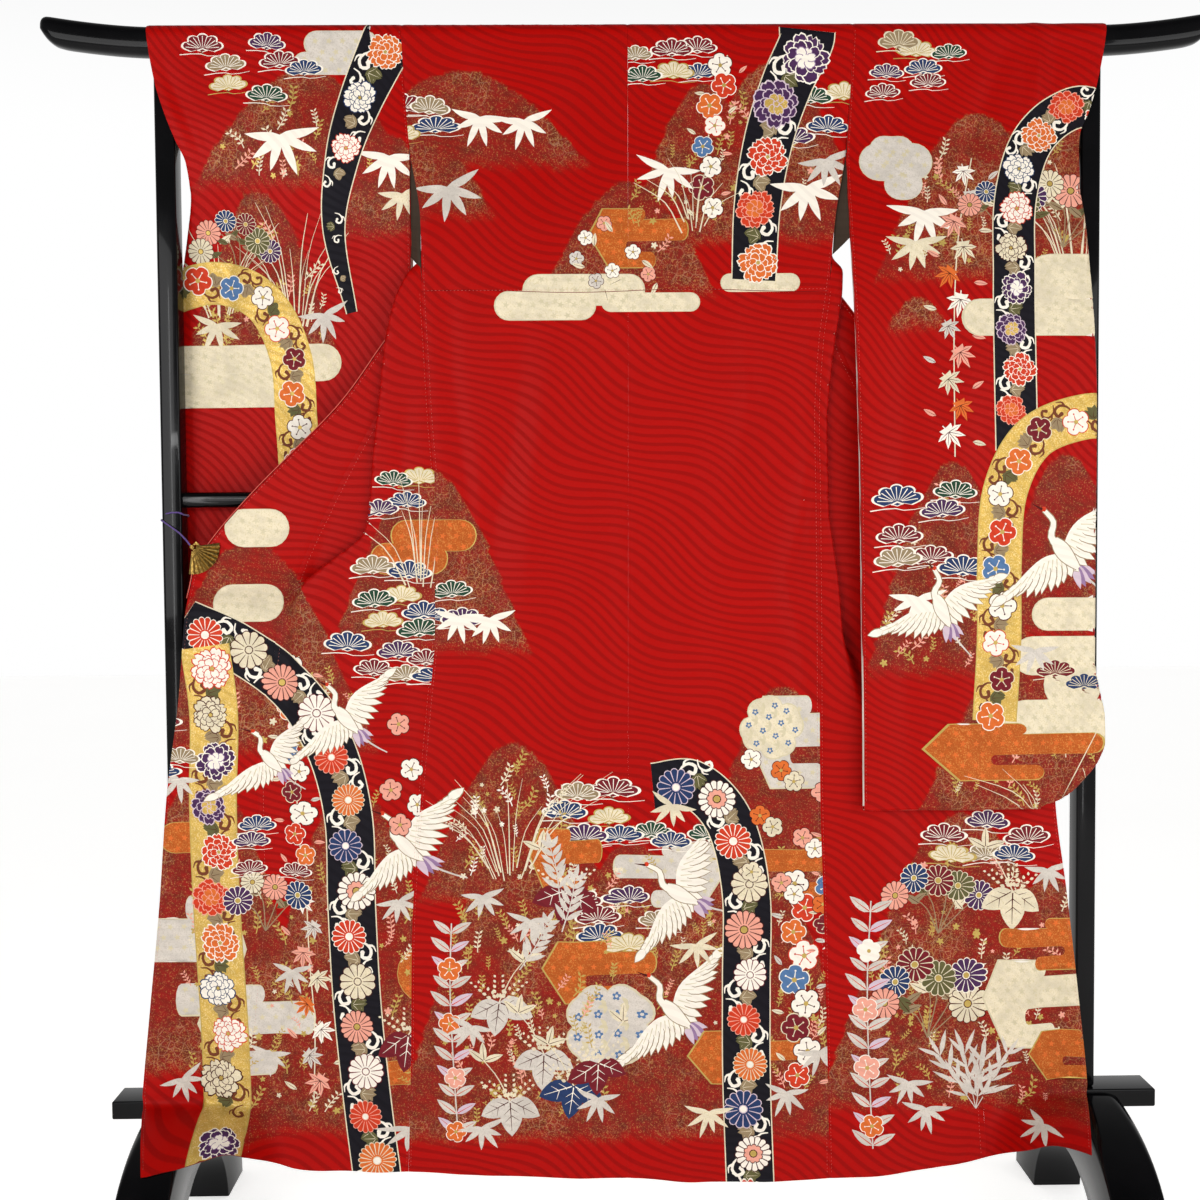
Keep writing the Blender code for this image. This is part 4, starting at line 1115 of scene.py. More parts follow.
def noise(place, scale, detail, rough=0.5):
    inputs = {"Vector": place, "Scale": scale, "Detail": detail, "Roughness": rough}
    return add("TexNoise", inputs).outputs["Fac"]


def band(value, low, high, start=0.0, end=1.0):
    inputs = {"Value": value, "From Min": low, "From Max": high, "To Min": start, "To Max": end}
    return add("MapRange", inputs, interpolation_type="SMOOTHSTEP").outputs[0]


def shaded(colour, share):
    return tuple(c * share for c in colour[:3]) + (1.0,)


def new_material(name):
    material = bpy.data.materials.new(name)
    material.use_nodes = True
    work["tree"] = material.node_tree
    return material, material.node_tree.nodes["Principled BSDF"]


def fill(shader, **values):
    for key, value in values.items():
        put(shader.inputs[key.replace("_", " ").title().replace("Ior", "IOR")], value)


def silk(name, shade, wave=0.13, gloss=0.44, hills=False, shine=0.0, glint=None):
    """Figured silk: a wave of light and dark stripes woven in, fine ribs and a soft sheen."""
    colour = linear(shade)
    material, shader = new_material(name)
    place = add("TexCoord").outputs["Object"]
    flat = add("UVMap", uv_map="weave").outputs["UV"]
    phase = add("Attribute", attribute_name="figure").outputs["Fac"]
    turn = calc("MULTIPLY", phase, math.tau)
    main = calc("SINE", turn)
    second = calc("SINE", calc("MULTIPLY_ADD", turn, 2.0, 1.1))
    ripple = calc("MULTIPLY_ADD", second, 0.42, main)
    stripe = band(ripple, -0.55, 0.55)
    patchy = noise(place, 5.0, 3.0, 0.6)
    tone = mix(stripe, shaded(colour, 1 - wave), shaded(colour, 1 + wave))
    tone = mix(band(patchy, 0.35, 0.68, 0.0, 0.1), tone, shaded(colour, 0.72))
    thread = noise(add("Mapping", {"Vector": flat, "Scale": (1.0, 0.22, 1.0)}).outputs[0], 1400.0, 2.0, 0.6)
    tone = mix(band(thread, 0.3, 0.7, 0.0, 0.1), tone, shaded(colour, 1.35))
    rough = band(stripe, 0.0, 1.0, gloss + 0.09, gloss - 0.05)
    if glint:
        fleck = noise(place, 520.0, 2.0, 0.7)
        tone = mix(band(fleck, 0.52, 0.62, 0.0, 0.65), tone, linear(glint))
        slow = noise(place, 34.0, 3.0, 0.6)
        tone = mix(band(slow, 0.4, 0.66, 0.0, 0.45), tone, shaded(colour, 0.7))
    if hills:
        hill = add("Attribute", attribute_name="hill").outputs["Fac"]
        grain = noise(place, 60.0, 5.0, 0.7)
        drift = noise(place, 13.0, 2.0, 0.5)
        earth = mix(band(grain, 0.35, 0.65), linear("86201a"), linear("65261b"))
        cover = calc("MULTIPLY", band(hill, 0.02, 0.8), band(drift, 0.25, 0.6, 0.6, 0.95))
        tone = mix(cover, tone, earth)
        spots = noise(place, 430.0, 3.0, 0.8)
        limit = calc("MULTIPLY_ADD", drift, -0.2, 0.685)
        speck = calc("GREATER_THAN", spots, limit)
        speck = calc("MULTIPLY", speck, band(hill, 0.1, 0.6))
        tone = mix(calc("MULTIPLY", speck, 0.5), tone, linear("bd8c4e"))
        twigs = add("TexVoronoi", {"Vector": place, "Scale": 95.0}, feature="DISTANCE_TO_EDGE").outputs[0]
        lines = calc("MULTIPLY", band(twigs, 0.05, 0.02), band(hill, 0.2, 0.9))
        lines = calc("MULTIPLY", lines, band(drift, 0.48, 0.66, 0.0, 0.22))
        tone = mix(lines, tone, linear("d8b48a"))
    ribs = add("TexWave", {"Vector": flat, "Scale": 640.0, "Distortion": 0.6, "Detail": 1.0},
        bands_direction="Y").outputs["Fac"]
    relief = calc("ADD", calc("MULTIPLY", ribs, 0.25), calc("MULTIPLY", thread, 0.35))
    relief = calc("ADD", relief, calc("MULTIPLY", stripe, 0.5))
    bump = add("Bump", {"Height": relief, "Strength": 0.35, "Distance": 0.00025})
    fill(shader, base_color=tone, roughness=rough, normal=bump.outputs[0])
    fill(shader, metallic=shine, sheen_weight=0.008, sheen_roughness=0.35, specular_ior_level=0.07,
        sheen_tint=(1.0, 0.45, 0.38, 1.0))
    return material


SILKS = {
    "red": ("9c0502", dict(hills=True, wave=0.17)),
    "lining": ("e6ded2", dict(wave=0.02, gloss=0.5)),
    "edge": ("c8564a", dict(wave=0.02, gloss=0.5)),
    # Darker red on the turned edges of the body and gores and along the tuck: painted shade in the seam gaps
    # and along the tuck
    "seam": ("6d0c0a", dict(wave=0.02, gloss=0.6)),
    # Dark grey-brown for the pale lining seen in the armhole gap: painted shade
    "shade": ("3f342b", dict(wave=0.02, gloss=0.6)),
    "white": ("ebe2d4", dict(wave=0.035, gloss=0.5)),
    "cream": ("dfd2b6", dict(wave=0.03, gloss=0.42, glint="cdbd8e")),
    "silver": ("cfc6bb", dict(wave=0.03, gloss=0.4, glint="b7ab9d")),
    "navy": ("26375c", dict(wave=0.06)),
    "blue": ("4f6f98", dict(wave=0.05)),
    "purple": ("472a4e", dict(wave=0.06)),
    "mauve": ("8d6f93", dict(wave=0.05)),
    "lilac": ("c9b4bf", dict(wave=0.03)),
    "thread": ("cbbf9f", dict(wave=0.03, shine=0.15)),
    "maroon": ("6d1d25", dict(wave=0.06)),
    "orange": ("d0662c", dict(wave=0.05)),
    "vermilion": ("c4391f", dict(wave=0.06)),
    "salmon": ("df9a86", dict(wave=0.04)),
    "taupe": ("8f7b5d", dict(wave=0.05)),
    "olive": ("5c5836", dict(wave=0.05)),
    "green": ("24412f", dict(wave=0.05)),
    "black": ("16141a", dict(wave=0.1, gloss=0.5)),
    "gold": ("c9a44f", dict(wave=0.05, gloss=0.38, shine=0.25, glint="eed9a0")),
    "leaf": ("b59a52", dict(wave=0.04, gloss=0.36, shine=0.3)),
    "ochre": ("b3551f", dict(wave=0.06, glint="d69149")),
    "line": ("4a1512", dict(wave=0.02)),
    "bark": ("6e3a24", dict(wave=0.03)),
}
DYES = list(SILKS)


def lacquer():
    """Black lacquer: deep, glossy, with faint polishing marks and dust dulling it in patches."""
    material, shader = new_material("black_lacquer")
    place = add("TexCoord").outputs["Object"]
    dull = noise(place, 9.0, 4.0, 0.6)
    marks = noise(add("Mapping", {"Vector": place, "Scale": (6.0, 60.0, 60.0)}).outputs[0], 6.0, 4.0, 0.7)
    rough = calc("ADD", band(dull, 0.4, 0.75, 0.1, 0.2), calc("MULTIPLY", marks, 0.05))
    tone = mix(band(dull, 0.35, 0.7), linear("040405"), linear("0a090b"))
    bump = add("Bump", {"Height": noise(place, 26.0, 2.0), "Strength": 0.06, "Distance": 0.001})
    fill(shader, base_color=tone, roughness=rough, normal=bump.outputs[0])
    fill(shader, coat_weight=0.15, coat_roughness=0.04, specular_ior_level=0.06)
    return material


def brass():
    """Old brass: warm, a little dulled in random patches, with fine scratches."""
    material, shader = new_material("old_brass")
    place = add("TexCoord").outputs["Object"]
    dull = noise(place, 240.0, 4.0, 0.65)
    scratches = noise(add("Mapping", {"Vector": place, "Scale": (1.0, 1.0, 9.0)}).outputs[0], 900.0, 3.0, 0.7)
    tone = mix(band(dull, 0.35, 0.7), linear("ad8d4a"), linear("5f4a26"))
    rough = band(dull, 0.3, 0.7, 0.26, 0.48)
    bump = add("Bump", {"Height": scratches, "Strength": 0.3, "Distance": 0.0003})
    fill(shader, base_color=tone, roughness=rough, normal=bump.outputs[0], metallic=1.0)
    return material


def cord_silk():
    """Purple twisted cord: slanting strands, with painted shade darkening the gaps between them."""
    material, shader = new_material("purple_cord_silk")
    flat = add("UVMap", uv_map="weave").outputs["UV"]
    strands = add("TexWave", {"Vector": flat, "Scale": 3.0, "Distortion": 0.4, "Detail": 1.0},
        bands_direction="DIAGONAL").outputs["Fac"]
    fibre = noise(flat, 60.0, 3.0, 0.7)
    # The dark purple between the strands is painted shade in the gaps
    tone = mix(band(strands, 0.1, 0.6), linear("24103f"), linear("5c3a92"))
    tone = mix(band(fibre, 0.4, 0.7, 0.0, 0.4), tone, linear("8064b4"))
    bump = add("Bump", {"Height": strands, "Strength": 0.6, "Distance": 0.0004})
    fill(shader, base_color=tone, roughness=0.55, normal=bump.outputs[0])
    fill(shader, sheen_weight=0.3, sheen_roughness=0.4)
    return material


def floor_paint():
    material, shader = new_material("pale_floor")
    place = add("TexCoord").outputs["Object"]
    soft = noise(place, 1.5, 2.0)
    fill(shader, base_color=mix(soft, linear("f7f6f4"), linear("f2f1ee")), roughness=0.7)
    fill(shader, emission_color=linear("ffffff"), emission_strength=0.58)
    return material


def set_light():
    world = bpy.data.worlds.new("studio")
    bpy.context.scene.world = world
    world.use_nodes = True
    work["tree"] = world.node_tree
    way = add("TexCoord").outputs["Generated"]
    parts = add("SeparateXYZ", {0: way}).outputs
    strength = band(parts["Y"], -0.55, 0.45, 0.33, 1.0)
    strength = calc("MULTIPLY", strength, band(parts["Z"], 0.25, 0.75, 1.0, 0.45))
    fill(world.node_tree.nodes["Background"], color=(1.0, 1.0, 1.0, 1.0), strength=strength)
    bpy.context.scene.view_settings.view_transform = "Standard"
    soft_light("key", (-1.5, -2.2, 1.45), (0.0, 0.0, 1.0), (1.0, 1.4), 19.5)
    soft_light("side", (1.9, -1.9, 1.25), (0.1, 0.0, 1.0), (1.0, 1.4), 17.5)
    soft_light("long_tube", (0.0, -2.5, 1.45), (0.0, 0.0, 1.1), (2.6, 0.05), 9.0)
    soft_light("left_tube", (-1.25, -2.3, 1.0), (-0.6, 0.0, 1.0), (0.05, 2.0), 4.0)
    soft_light("right_tube", (1.25, -2.3, 1.0), (0.6, 0.0, 1.0), (0.05, 2.0), 4.0)
    mesh = bpy.data.meshes.new("floor")
    mesh.from_pydata([(-9, -9, 0), (9, -9, 0), (9, 9, 0), (-9, 9, 0)], [], [(0, 1, 2, 3)])
    mesh.materials.append(floor_paint())
    floor = new_object("floor", mesh)


# Motifs. Each is a list of dyes and outlines, about one metre across before it is sized.


def petals(radius, lobes, notch, steps, sharp=0.5, centre=(0.0, 0.0)):
    """A round outline with lobes between sharp notches."""
    count = lobes * steps
    angle = np.linspace(0, math.tau, count, endpoint=False)
    lobe = np.abs(np.sin(lobes * angle / 2)) ** sharp
    size = radius * (1 - notch + notch * lobe)
    return np.stack([centre[0] + size * np.cos(angle), centre[1] + size * np.sin(angle)], 1)


def dot(x, y, radius, count=6):
    angle = np.linspace(0, math.tau, count, endpoint=False)
    return np.stack([x + radius * np.cos(angle), y + radius * np.sin(angle)], 1)


def stroke(points, start, end=None, middle=None):
    """A line of changing width as an outline."""
    points = np.asarray(points, float)
    end = start if end is None else end
    share = np.linspace(0, 1, len(points))
    wide = start + (end - start) * share
    if middle is not None:
        wide = wide + (middle - (start + end) / 2) * np.sin(math.pi * share)
    run = np.gradient(points, axis=0)
    run /= np.maximum(np.linalg.norm(run, axis=1), 1e-9)[:, None]
    away = np.stack([-run[:, 1], run[:, 0]], 1) * wide[:, None] / 2
    return np.concatenate([points + away, (points - away)[::-1]])


def curve(points, count):
    """A smooth line through a few points."""
    points = np.asarray(points, float)
    nodes = np.concatenate([[2 * points[0] - points[1]], points, [2 * points[-1] - points[-2]]])
    t = np.linspace(0, len(points) - 1, count)
    k = np.clip(t.astype(int), 0, len(points) - 2)
    weights = catmull(t - k)
    return sum(w[:, None] * nodes[k + n] for n, w in enumerate(weights))


def spin(outline, degrees, x=0.0, y=0.0):
    a = math.radians(degrees)
    turned = outline @ np.array([[math.cos(a), math.sin(a)], [-math.sin(a), math.cos(a)]])
    return turned + (x, y)


def plum(main, mark="line"):
    """A plum blossom: five round petals, a heart and its stamens."""
    shapes = [(mark, petals(0.5, 5, 0.22, 6)), (main, petals(0.465, 5, 0.23, 6))]
    for k in range(5):
        a = math.tau * k / 5 + math.pi / 5
        way = np.array([math.cos(a), math.sin(a)])
        shapes.append((mark, stroke([way * 0.08, way * 0.26], 0.035, 0.02)))
        shapes.append((mark, dot(*(way * 0.29), 0.034, 5)))
    shapes.append(("leaf", dot(0, 0, 0.085)))
    return shapes


def one_petal(long, wide, notch):
    """A rounded petal along +Y with a dent in its tip."""
    half = [(0.3, 0.0), (0.86, 0.22), (1.0, 0.55), (0.8, 0.86), (0.36, 1.0)]
    right = [(x * wide / 2, y * long) for x, y in half]
    left = [(-x, y) for x, y in right[::-1]]
    return np.array(right + [(0.0, long * (1 - notch))] + left)


def peony(main, mark, middle, seed):
    """A full peony: rings of dented petals lying over one another, each with a fine edge."""
    draw = random.Random(seed)
    shapes = []
    rings = ((0.17, 0.35, 0.3, 10, main), (0.1, 0.27, 0.25, 8, main), (0.03, 0.22, 0.2, 6, middle or main))
    for place, long, wide, count, dye in rings:
        start = draw.uniform(0, 90)
        for k in range(count):
            degrees = start + 360 * k / count + draw.uniform(-7, 7)
            size = draw.uniform(0.86, 1.1)
            petal = one_petal(long * size, wide * size, draw.uniform(0.02, 0.22)) + (0, place)
            core = (0, place + long * 0.5)
            edge = mark if mark != dye else "mauve"
            shapes.append((edge, spin(core + (petal - core) * 1.12, degrees)))
            shapes.append((dye, spin(core + (petal - core) * 0.94, degrees)))
    heart = petals(0.085, 5, 0.3, 3)
    return shapes + [(mark, heart), (middle or "leaf", heart * 0.7)]


def mum(main, mark="line", heart="leaf", rays=16, second=None):
    """A chrysanthemum seen full face."""
    shapes = [(mark, petals(0.51, rays, 0.13, 4, sharp=0.7)), (main, petals(0.485, rays, 0.13, 4, sharp=0.7))]
    for k in range(rays):
        a = math.tau * k / rays
        way = np.array([math.cos(a), math.sin(a)])
        shapes.append((mark, stroke([way * 0.43, way * 0.15], 0.032, 0.014)))
    if second:
        shapes += [(mark, petals(0.275, 10, 0.16, 4)), (second, petals(0.25, 10, 0.17, 4))]
    shapes += [(mark, dot(0, 0, 0.115, 9)), (heart, dot(0, 0, 0.09, 8))]
    return shapes


def maple(main):
    """A maple leaf with seven points."""
    points = []
    for k, (degrees, reach) in enumerate(((-130, 0.26), (-84, 0.4), (-40, 0.48), (0, 0.54), (40, 0.48),
            (84, 0.4), (130, 0.26))):
        a = math.radians(90 - degrees)
        way = np.array([math.cos(a), math.sin(a)])
        across = np.array([-way[1], way[0]])
        points += [tuple(way * reach * 0.55 + across * 0.075), tuple(way * reach),
            tuple(way * reach * 0.55 - across * 0.075)]
        if k < 6:
            b = math.radians(90 - degrees - 22)
            points.append((0.12 * math.cos(b), 0.12 * math.sin(b)))
    shapes = [(main, np.array(points)[::-1])]
    for degrees, reach in ((-84, 0.3), (-40, 0.36), (0, 0.42), (40, 0.36), (84, 0.3)):
        a = math.radians(90 - degrees)
        shapes.append(("line", stroke([(0, 0), (reach * math.cos(a), reach * math.sin(a))], 0.022, 0.006)))
    shapes.append((main, stroke([(0, 0), (0.03, -0.24)], 0.035, 0.03)))
    return shapes


def blade(length, wide, bend=0.0, count=5):
    """A slender pointed leaf along +Y."""
    t = np.linspace(0, 1, count + 1)
    half = wide / 2 * np.sin(math.pi * t**0.8) ** 0.8
    x = bend * t * t
    return np.concatenate([np.stack([x - half, t * length], 1)[:-1],
        np.stack([x + half, t * length], 1)[::-1][:-1]])


def leaf(main, mark="line"):
    """One pointed leaf with its midrib."""
    return [(main, blade(1.0, 0.36, 0.08)), (mark, stroke([(0.0, 0.06), (0.03, 0.5), (0.07, 0.86)], 0.04,
        0.012))]


def lobed_leaf(main, mark):
    """A peony leaf of three points with cut edges."""
    shapes = []
    for degrees, size in ((50, 0.78), (-50, 0.78), (0, 1.0)):
        t = blade(0.7 * size, 0.36 * size, 0.0, 5)
        t = np.concatenate([t, [(0, 0)]])
        shapes.append((main, spin(t, degrees) - (0, 0.3)))
        line = spin(np.array([(0, 0.04), (0, 0.56 * size)]), degrees) - (0, 0.3)
        shapes.append((mark, stroke(line, 0.03, 0.008)))
    return shapes


def bamboo_grass(main, seed):
    """A spray of broad bamboo leaves fanning down from one point."""
    draw = random.Random(seed)
    shapes = []
    for degrees, length, bend in ((-86, 0.5, 0.13), (86, 0.5, -0.13), (-50, 0.5, 0.06), (50, 0.5, -0.06),
            (-17, 0.54, 0.0), (18, 0.52, 0.0)):
        size = length * draw.uniform(0.9, 1.12)
        turn = degrees + draw.uniform(-7, 7)
        shapes.append((main, spin(blade(size, 0.125, bend, 6), 180 + turn, 0, 0.2)))
    return shapes


def fern(main, seed):
    """An upright twig with pairs of narrow leaves."""
    draw = random.Random(seed)
    shapes = [(main, stroke(curve([(0.0, -0.5), (0.04, 0.0), (0.0, 0.42)], 8), 0.022, 0.012))]
    for k in range(6):
        y = -0.3 + 0.135 * k
        for hand in (-1, 1):
            leaf_shape = blade(0.33 - 0.02 * k, 0.085, 0.0, 4)
            shapes.append((main, spin(leaf_shape, -hand * (42 + draw.uniform(-6, 6)), 0.02, y)))
    shapes.append((main, blade(0.26, 0.08, 0.0, 4) + (0.0, 0.4)))
    return shapes


def pine(body, edge, seed):
    """A pine crown: a scalloped fan of needles over a soft base line."""
    draw = random.Random(seed)
    lobes = 5
    outline = []
    for k in range(lobes):
        a0 = math.pi - math.pi * k / lobes
        for s in range(6):
            a = a0 - math.pi / lobes * s / 6
            bulge = 0.4 + 0.085 * math.sin(math.pi * s / 6) ** 0.7
            outline.append((bulge * 1.12 * math.cos(a), bulge * 0.78 * math.sin(a)))
    outline.append((0.45, 0.0))
    outline += [(0.3, -0.06), (0.14, -0.02), (0.0, -0.07), (-0.14, -0.02), (-0.3, -0.06), (-0.45, 0.0)]
    outline = np.array(outline[::-1])
    centre = np.array([0.0, 0.1])
    shapes = [(edge, outline), (body, centre + (outline - centre) * 0.9)]
    for k in range(11):
        a = math.pi * (k + 0.5) / 11
        tip = np.array([0.41 * math.cos(a), 0.3 * math.sin(a) + 0.015])
        foot = np.array([0.1 * math.cos(a), 0.03 + 0.02 * math.sin(a)])
        shapes.append((edge, stroke([foot, tip], 0.01, 0.02)))
    shapes.append((edge, stroke([(-0.12, -0.03), (0.0, 0.02), (0.12, -0.03)], 0.03, 0.03)))
    if draw.random() < 0.5:
        shapes.append(("bark", stroke([(-0.05, -0.05), (0.03, -0.13), (0.14, -0.16)], 0.05, 0.02)))
    shapes.append((edge, stroke(curve([(-0.56, -0.13), (-0.1, -0.1), (0.18, -0.16), (0.58, -0.12)], 6), 0.022,
        0.01)))
    return shapes


def crane(seed):
    """A flying crane: one wing up and one down, a long neck with a red crown, and trailing legs."""
    draw = random.Random(seed)
    shapes = [("silver", stroke(curve([(0.1, -0.1), (0.28, -0.22), (0.46, -0.3)], 5), 0.024, 0.012))]
    for k in range(5):
        shapes.append(("mauve" if k % 2 else "lilac", spin(blade(0.24, 0.07), -108 - 12 * k, 0.07, -0.06)))
    wings = (([(0.0, -0.02), (0.08, 0.26), (0.34, 0.5)], -128, -48),
        ([(0.0, -0.03), (-0.2, -0.12), (-0.46, -0.42)], -156, -230))
    for points, first, last in wings:
        lead = curve(points, 12)
        for k, (x, y) in enumerate(lead):
            share = k / 11
            turn = blend(first, last, share) + draw.uniform(-3, 3)
            length = 0.17 + 0.12 * math.sin(math.pi * min(1.0, share * 1.15))
            feather = blade(length, 0.08, 0.0, 4)
            shapes.append(("taupe", spin(feather * (1.22, 1.03), turn, x, y)))
            shapes.append(("white", spin(feather, turn, x, y)))
        shapes.append(("white", stroke(lead, 0.1, 0.03, 0.1)))
        for k in range(1, 11):
            x, y = lead[k]
            turn = blend(first, last, k / 11)
            shapes.append(("thread", spin(stroke([(0, -0.01), (0, 0.1)], 0.01, 0.004), turn, x, y)))
    body = curve([(0.12, -0.1), (0.02, -0.02), (-0.06, 0.06), (-0.12, 0.12)], 9)
    neck = curve([(-0.05, 0.04), (-0.15, 0.14), (-0.15, 0.27), (-0.25, 0.36)], 10)
    for wider, dye in ((0.016, "taupe"), (0.0, "white")):
        shapes.append((dye, stroke(body, 0.04 + wider, 0.06 + wider, 0.13 + wider)))
        shapes.append((dye, stroke(neck, 0.068 + wider, 0.034 + wider)))
    shapes.append(("vermilion", dot(-0.252, 0.368, 0.024)))
    shapes.append(("line", stroke([(-0.265, 0.362), (-0.36, 0.4)], 0.022, 0.004)))
    return shapes


def scroll(dye, hand):
    """A bold tendril that hooks in on itself, with a short branch."""
    main = curve([(-0.34, -0.44), (0.02, -0.36), (0.22, -0.04), (0.08, 0.26), (-0.2, 0.2), (-0.14, -0.02)],
        13)
    branch = curve([(0.12, -0.22), (0.34, -0.16), (0.4, 0.1)], 6)
    flip = (hand, 1.0)
    return [(dye, stroke(main * flip, 0.05, 0.15, 0.13)), (dye, stroke(branch * flip, 0.13, 0.03)),
        (dye, dot(-0.15 * hand, 0.0, 0.1))]


def capsule(x0, x1, z0, z1):
    """A bar with round ends."""
    radius = (z1 - z0) / 2
    middle = (z0 + z1) / 2
    a = np.linspace(-math.pi / 2, math.pi / 2, 11)
    right = np.stack([x1 - radius + radius * np.cos(a), middle + radius * np.sin(a)], 1)
    left = np.stack([x0 + radius - radius * np.cos(a), middle - radius * np.sin(a)], 1)
    top = np.array([(x, z1) for x in np.linspace(x1 - radius, x0 + radius, 6)[1:-1]])
    low = np.array([(x, z0) for x in np.linspace(x0 + radius, x1 - radius, 6)[1:-1]])
    return np.concatenate([right, top, left, low])


def reed(height, lean, wide):
    return ("cream", stroke(curve([(0, 0), (lean * 0.35, height * 0.6), (lean, height)], 7), wide * 1.3,
        wide * 0.4))


# The woven wave and the soft hills

WAVE_PITCH = 0.0142
# The sheet, and the view of it, that motifs are being laid on
brush = {}


def use(cloth, view):
    brush.update(cloth=cloth, view=view)


def lay(x, z, shapes, size=1.0, turn=0.0):
    """Puts a motif's shapes on the sheet where (x, z) is seen in the view."""
    brush["cloth"].marks.append(("motif", brush["view"], (x, z), shapes, size, math.radians(turn)))


def area(dye, outline):
    """Puts one large shape on the sheet, its outline given as it is seen in the view."""
    brush["cloth"].marks.append(("area", brush["view"], np.asarray(outline, float), dye))


def each(draw, *places):
    """Draws one kind of thing at several places, in order."""
    for place in places:
        draw(*place)


def hill(x, base, half_width, tall):
    brush["cloth"].hills.append((brush["view"], x, base, half_width, tall))


def crest_of(x, middle, base, half, tall):
    """How high a hill stands over each place, and whether the place is between its feet."""
    across = np.clip(np.abs(x - middle) / half, 0, 1)
    return base - 0.012 + (tall + 0.012) * np.cos(across * math.pi / 2) ** 1.15, across < 1


def on_hill(x, z):
    for view, middle, base, half, tall in brush["cloth"].hills:
        crest, between = crest_of(x, middle, base, half, tall)
        if view == brush["view"] and between and base - 0.01 < z < crest - 0.008:
            return True
    return False


def shows(cloth, view, normal, v):
    """Which points belong to a view of the sheet."""
    toward = normal[:, 1] < 0.2
    if cloth.turn_row is None or view == "all":
        return np.ones(len(v), bool)
    turn = cloth.v[cloth.turn_row]
    if view == "back":
        return (v < turn) & toward
    if view == "far":
        return v > turn
    return (v > turn) & toward


def cloth_figure(cloth, where):
    """How many stripes of the woven wave lie below each point: they run down to the right, in long swells."""
    x, z = where[:, 0], where[:, 2]
    lean = 0.72 if cloth.name.startswith("sleeve") else 0.44
    swell = 0.0165 * np.sin(17.2 * (x - z + 0.925)) + 0.004 * np.sin(41 * x + 23 * z)
    return (z + lean * x + swell) / WAVE_PITCH


def cloth_hills(cloth, where, normal, v):
    total = np.zeros(len(v))
    x, z = where[:, 0], where[:, 2]
    ragged = 0.0012 * np.sin(x * 83 + z * 31) + 0.001 * np.sin(x * 190 - z * 77)
    for view, middle, base, half, tall in cloth.hills:
        crest, between = crest_of(x, middle, base, half, tall)
        value = ease(crest + ragged - z, -0.002, 0.005) * ease(z + ragged * 2, base - 0.03, base + 0.03)
        total = np.maximum(total, value * between * shows(cloth, view, normal, v))
    return total


# The picture: arched bands of flowers over misty hills, clouds and cranes


def along(line, step, start):
    """Places at even steps along a line, each with its heading in degrees."""
    line = np.asarray(line, float)
    runs = np.linalg.norm(np.diff(line, axis=0), axis=1)
    total = np.concatenate([[0], np.cumsum(runs)])
    found = []
    for s in np.arange(start, total[-1], step):
        x, z = np.interp(s, total, line[:, 0]), np.interp(s, total, line[:, 1])
        x1, z1 = np.interp(s + 0.01, total, line[:, 0]), np.interp(s + 0.01, total, line[:, 1])
        x0, z0 = np.interp(s - 0.01, total, line[:, 0]), np.interp(s - 0.01, total, line[:, 1])
        found.append((x, z, math.degrees(math.atan2(z1 - z0, x1 - x0))))
    return found


def beside(x, z, heading, ahead, aside):
    """The place that far ahead along a heading and to its left."""
    a = math.radians(heading)
    return x + ahead * math.cos(a) - aside * math.sin(a), z + ahead * math.sin(a) + aside * math.cos(a)


def flower_band(points, wide, ground, kinds, seed, size=None, end=None):
    """A band with fine edges, flowers to and fro along it, and leaves and tendrils in the gaps."""
    draw = random.Random(seed)
    line = curve(points, 70)
    end = wide if end is None else end
    dark = ground == "black"
    area("cream" if dark else "leaf", stroke(line, wide, end))
    area(ground, stroke(line, wide - 0.0032, max(0.001, end - 0.0032)))
    size = size or wide * 0.8
    step = size * 1.17
    places = along(line, step, step * 0.5)
    for k, (x, z, heading) in enumerate(places):
        share = min(1.0, (wide + (end - wide) * (k + 1) / len(places)) / wide)
        hand = 1 if (k + seed) % 2 else -1
        room = wide * share
        if k == len(places) - 1:
            break
        for turn in (22, 92):
            spot = beside(x, z, heading, step * 0.5, hand * room * 0.04)
            motif = lobed_leaf("taupe" if k % 3 else "olive", "cream" if dark else "line")
            lay(*spot, motif, room * 0.44, heading - 90 + hand * turn + draw.uniform(-12, 12))
        for ahead, reach in ((0.34, 0.5), (0.72, 0.42)):
            spot = beside(x, z, heading, step * ahead, -hand * room * 0.25)
            motif = scroll("white" if dark else "bark", hand if ahead < 0.5 else -hand)
            lay(*spot, motif, room * reach, heading - 90 + draw.uniform(-12, 12))
    for k, (x, z, heading) in enumerate(places):
        share = (wide + (end - wide) * (k + 0.5) / len(places)) / wide
        if share < 0.55:
            continue
        hand = 1 if (k + seed) % 2 else -1
        spot = beside(x, z, heading, 0.0, hand * wide * share * draw.uniform(0.04, 0.11))
        lay(*spot, kinds[(k * 3 + seed) % len(kinds)], size * share * draw.uniform(0.84, 1.06),
            draw.uniform(0, 360))


def garland(points, kinds, seed, size):
    """A hanging string of leaves or blossoms on a thin twig."""
    draw = random.Random(seed)
    line = curve(points, 40)
    area("cream", stroke(line, 0.0016))
    for k, (x, z, _) in enumerate(along(line, size * 0.8, size * 0.4)):
        side = 1 if k % 2 else -1
        lay(x + side * size * 0.18, z, kinds[k % len(kinds)], size * draw.uniform(0.85, 1.1),
            draw.uniform(-50, 50) + 180)
        lay(x - side * size * 0.55, z - size * 0.3, leaf(draw.choice(("cream", "silver", "salmon"))),
            size * 0.42, draw.uniform(-30, 30) + side * 70)


BLOSSOM = petals(0.5, 5, 0.55, 2)


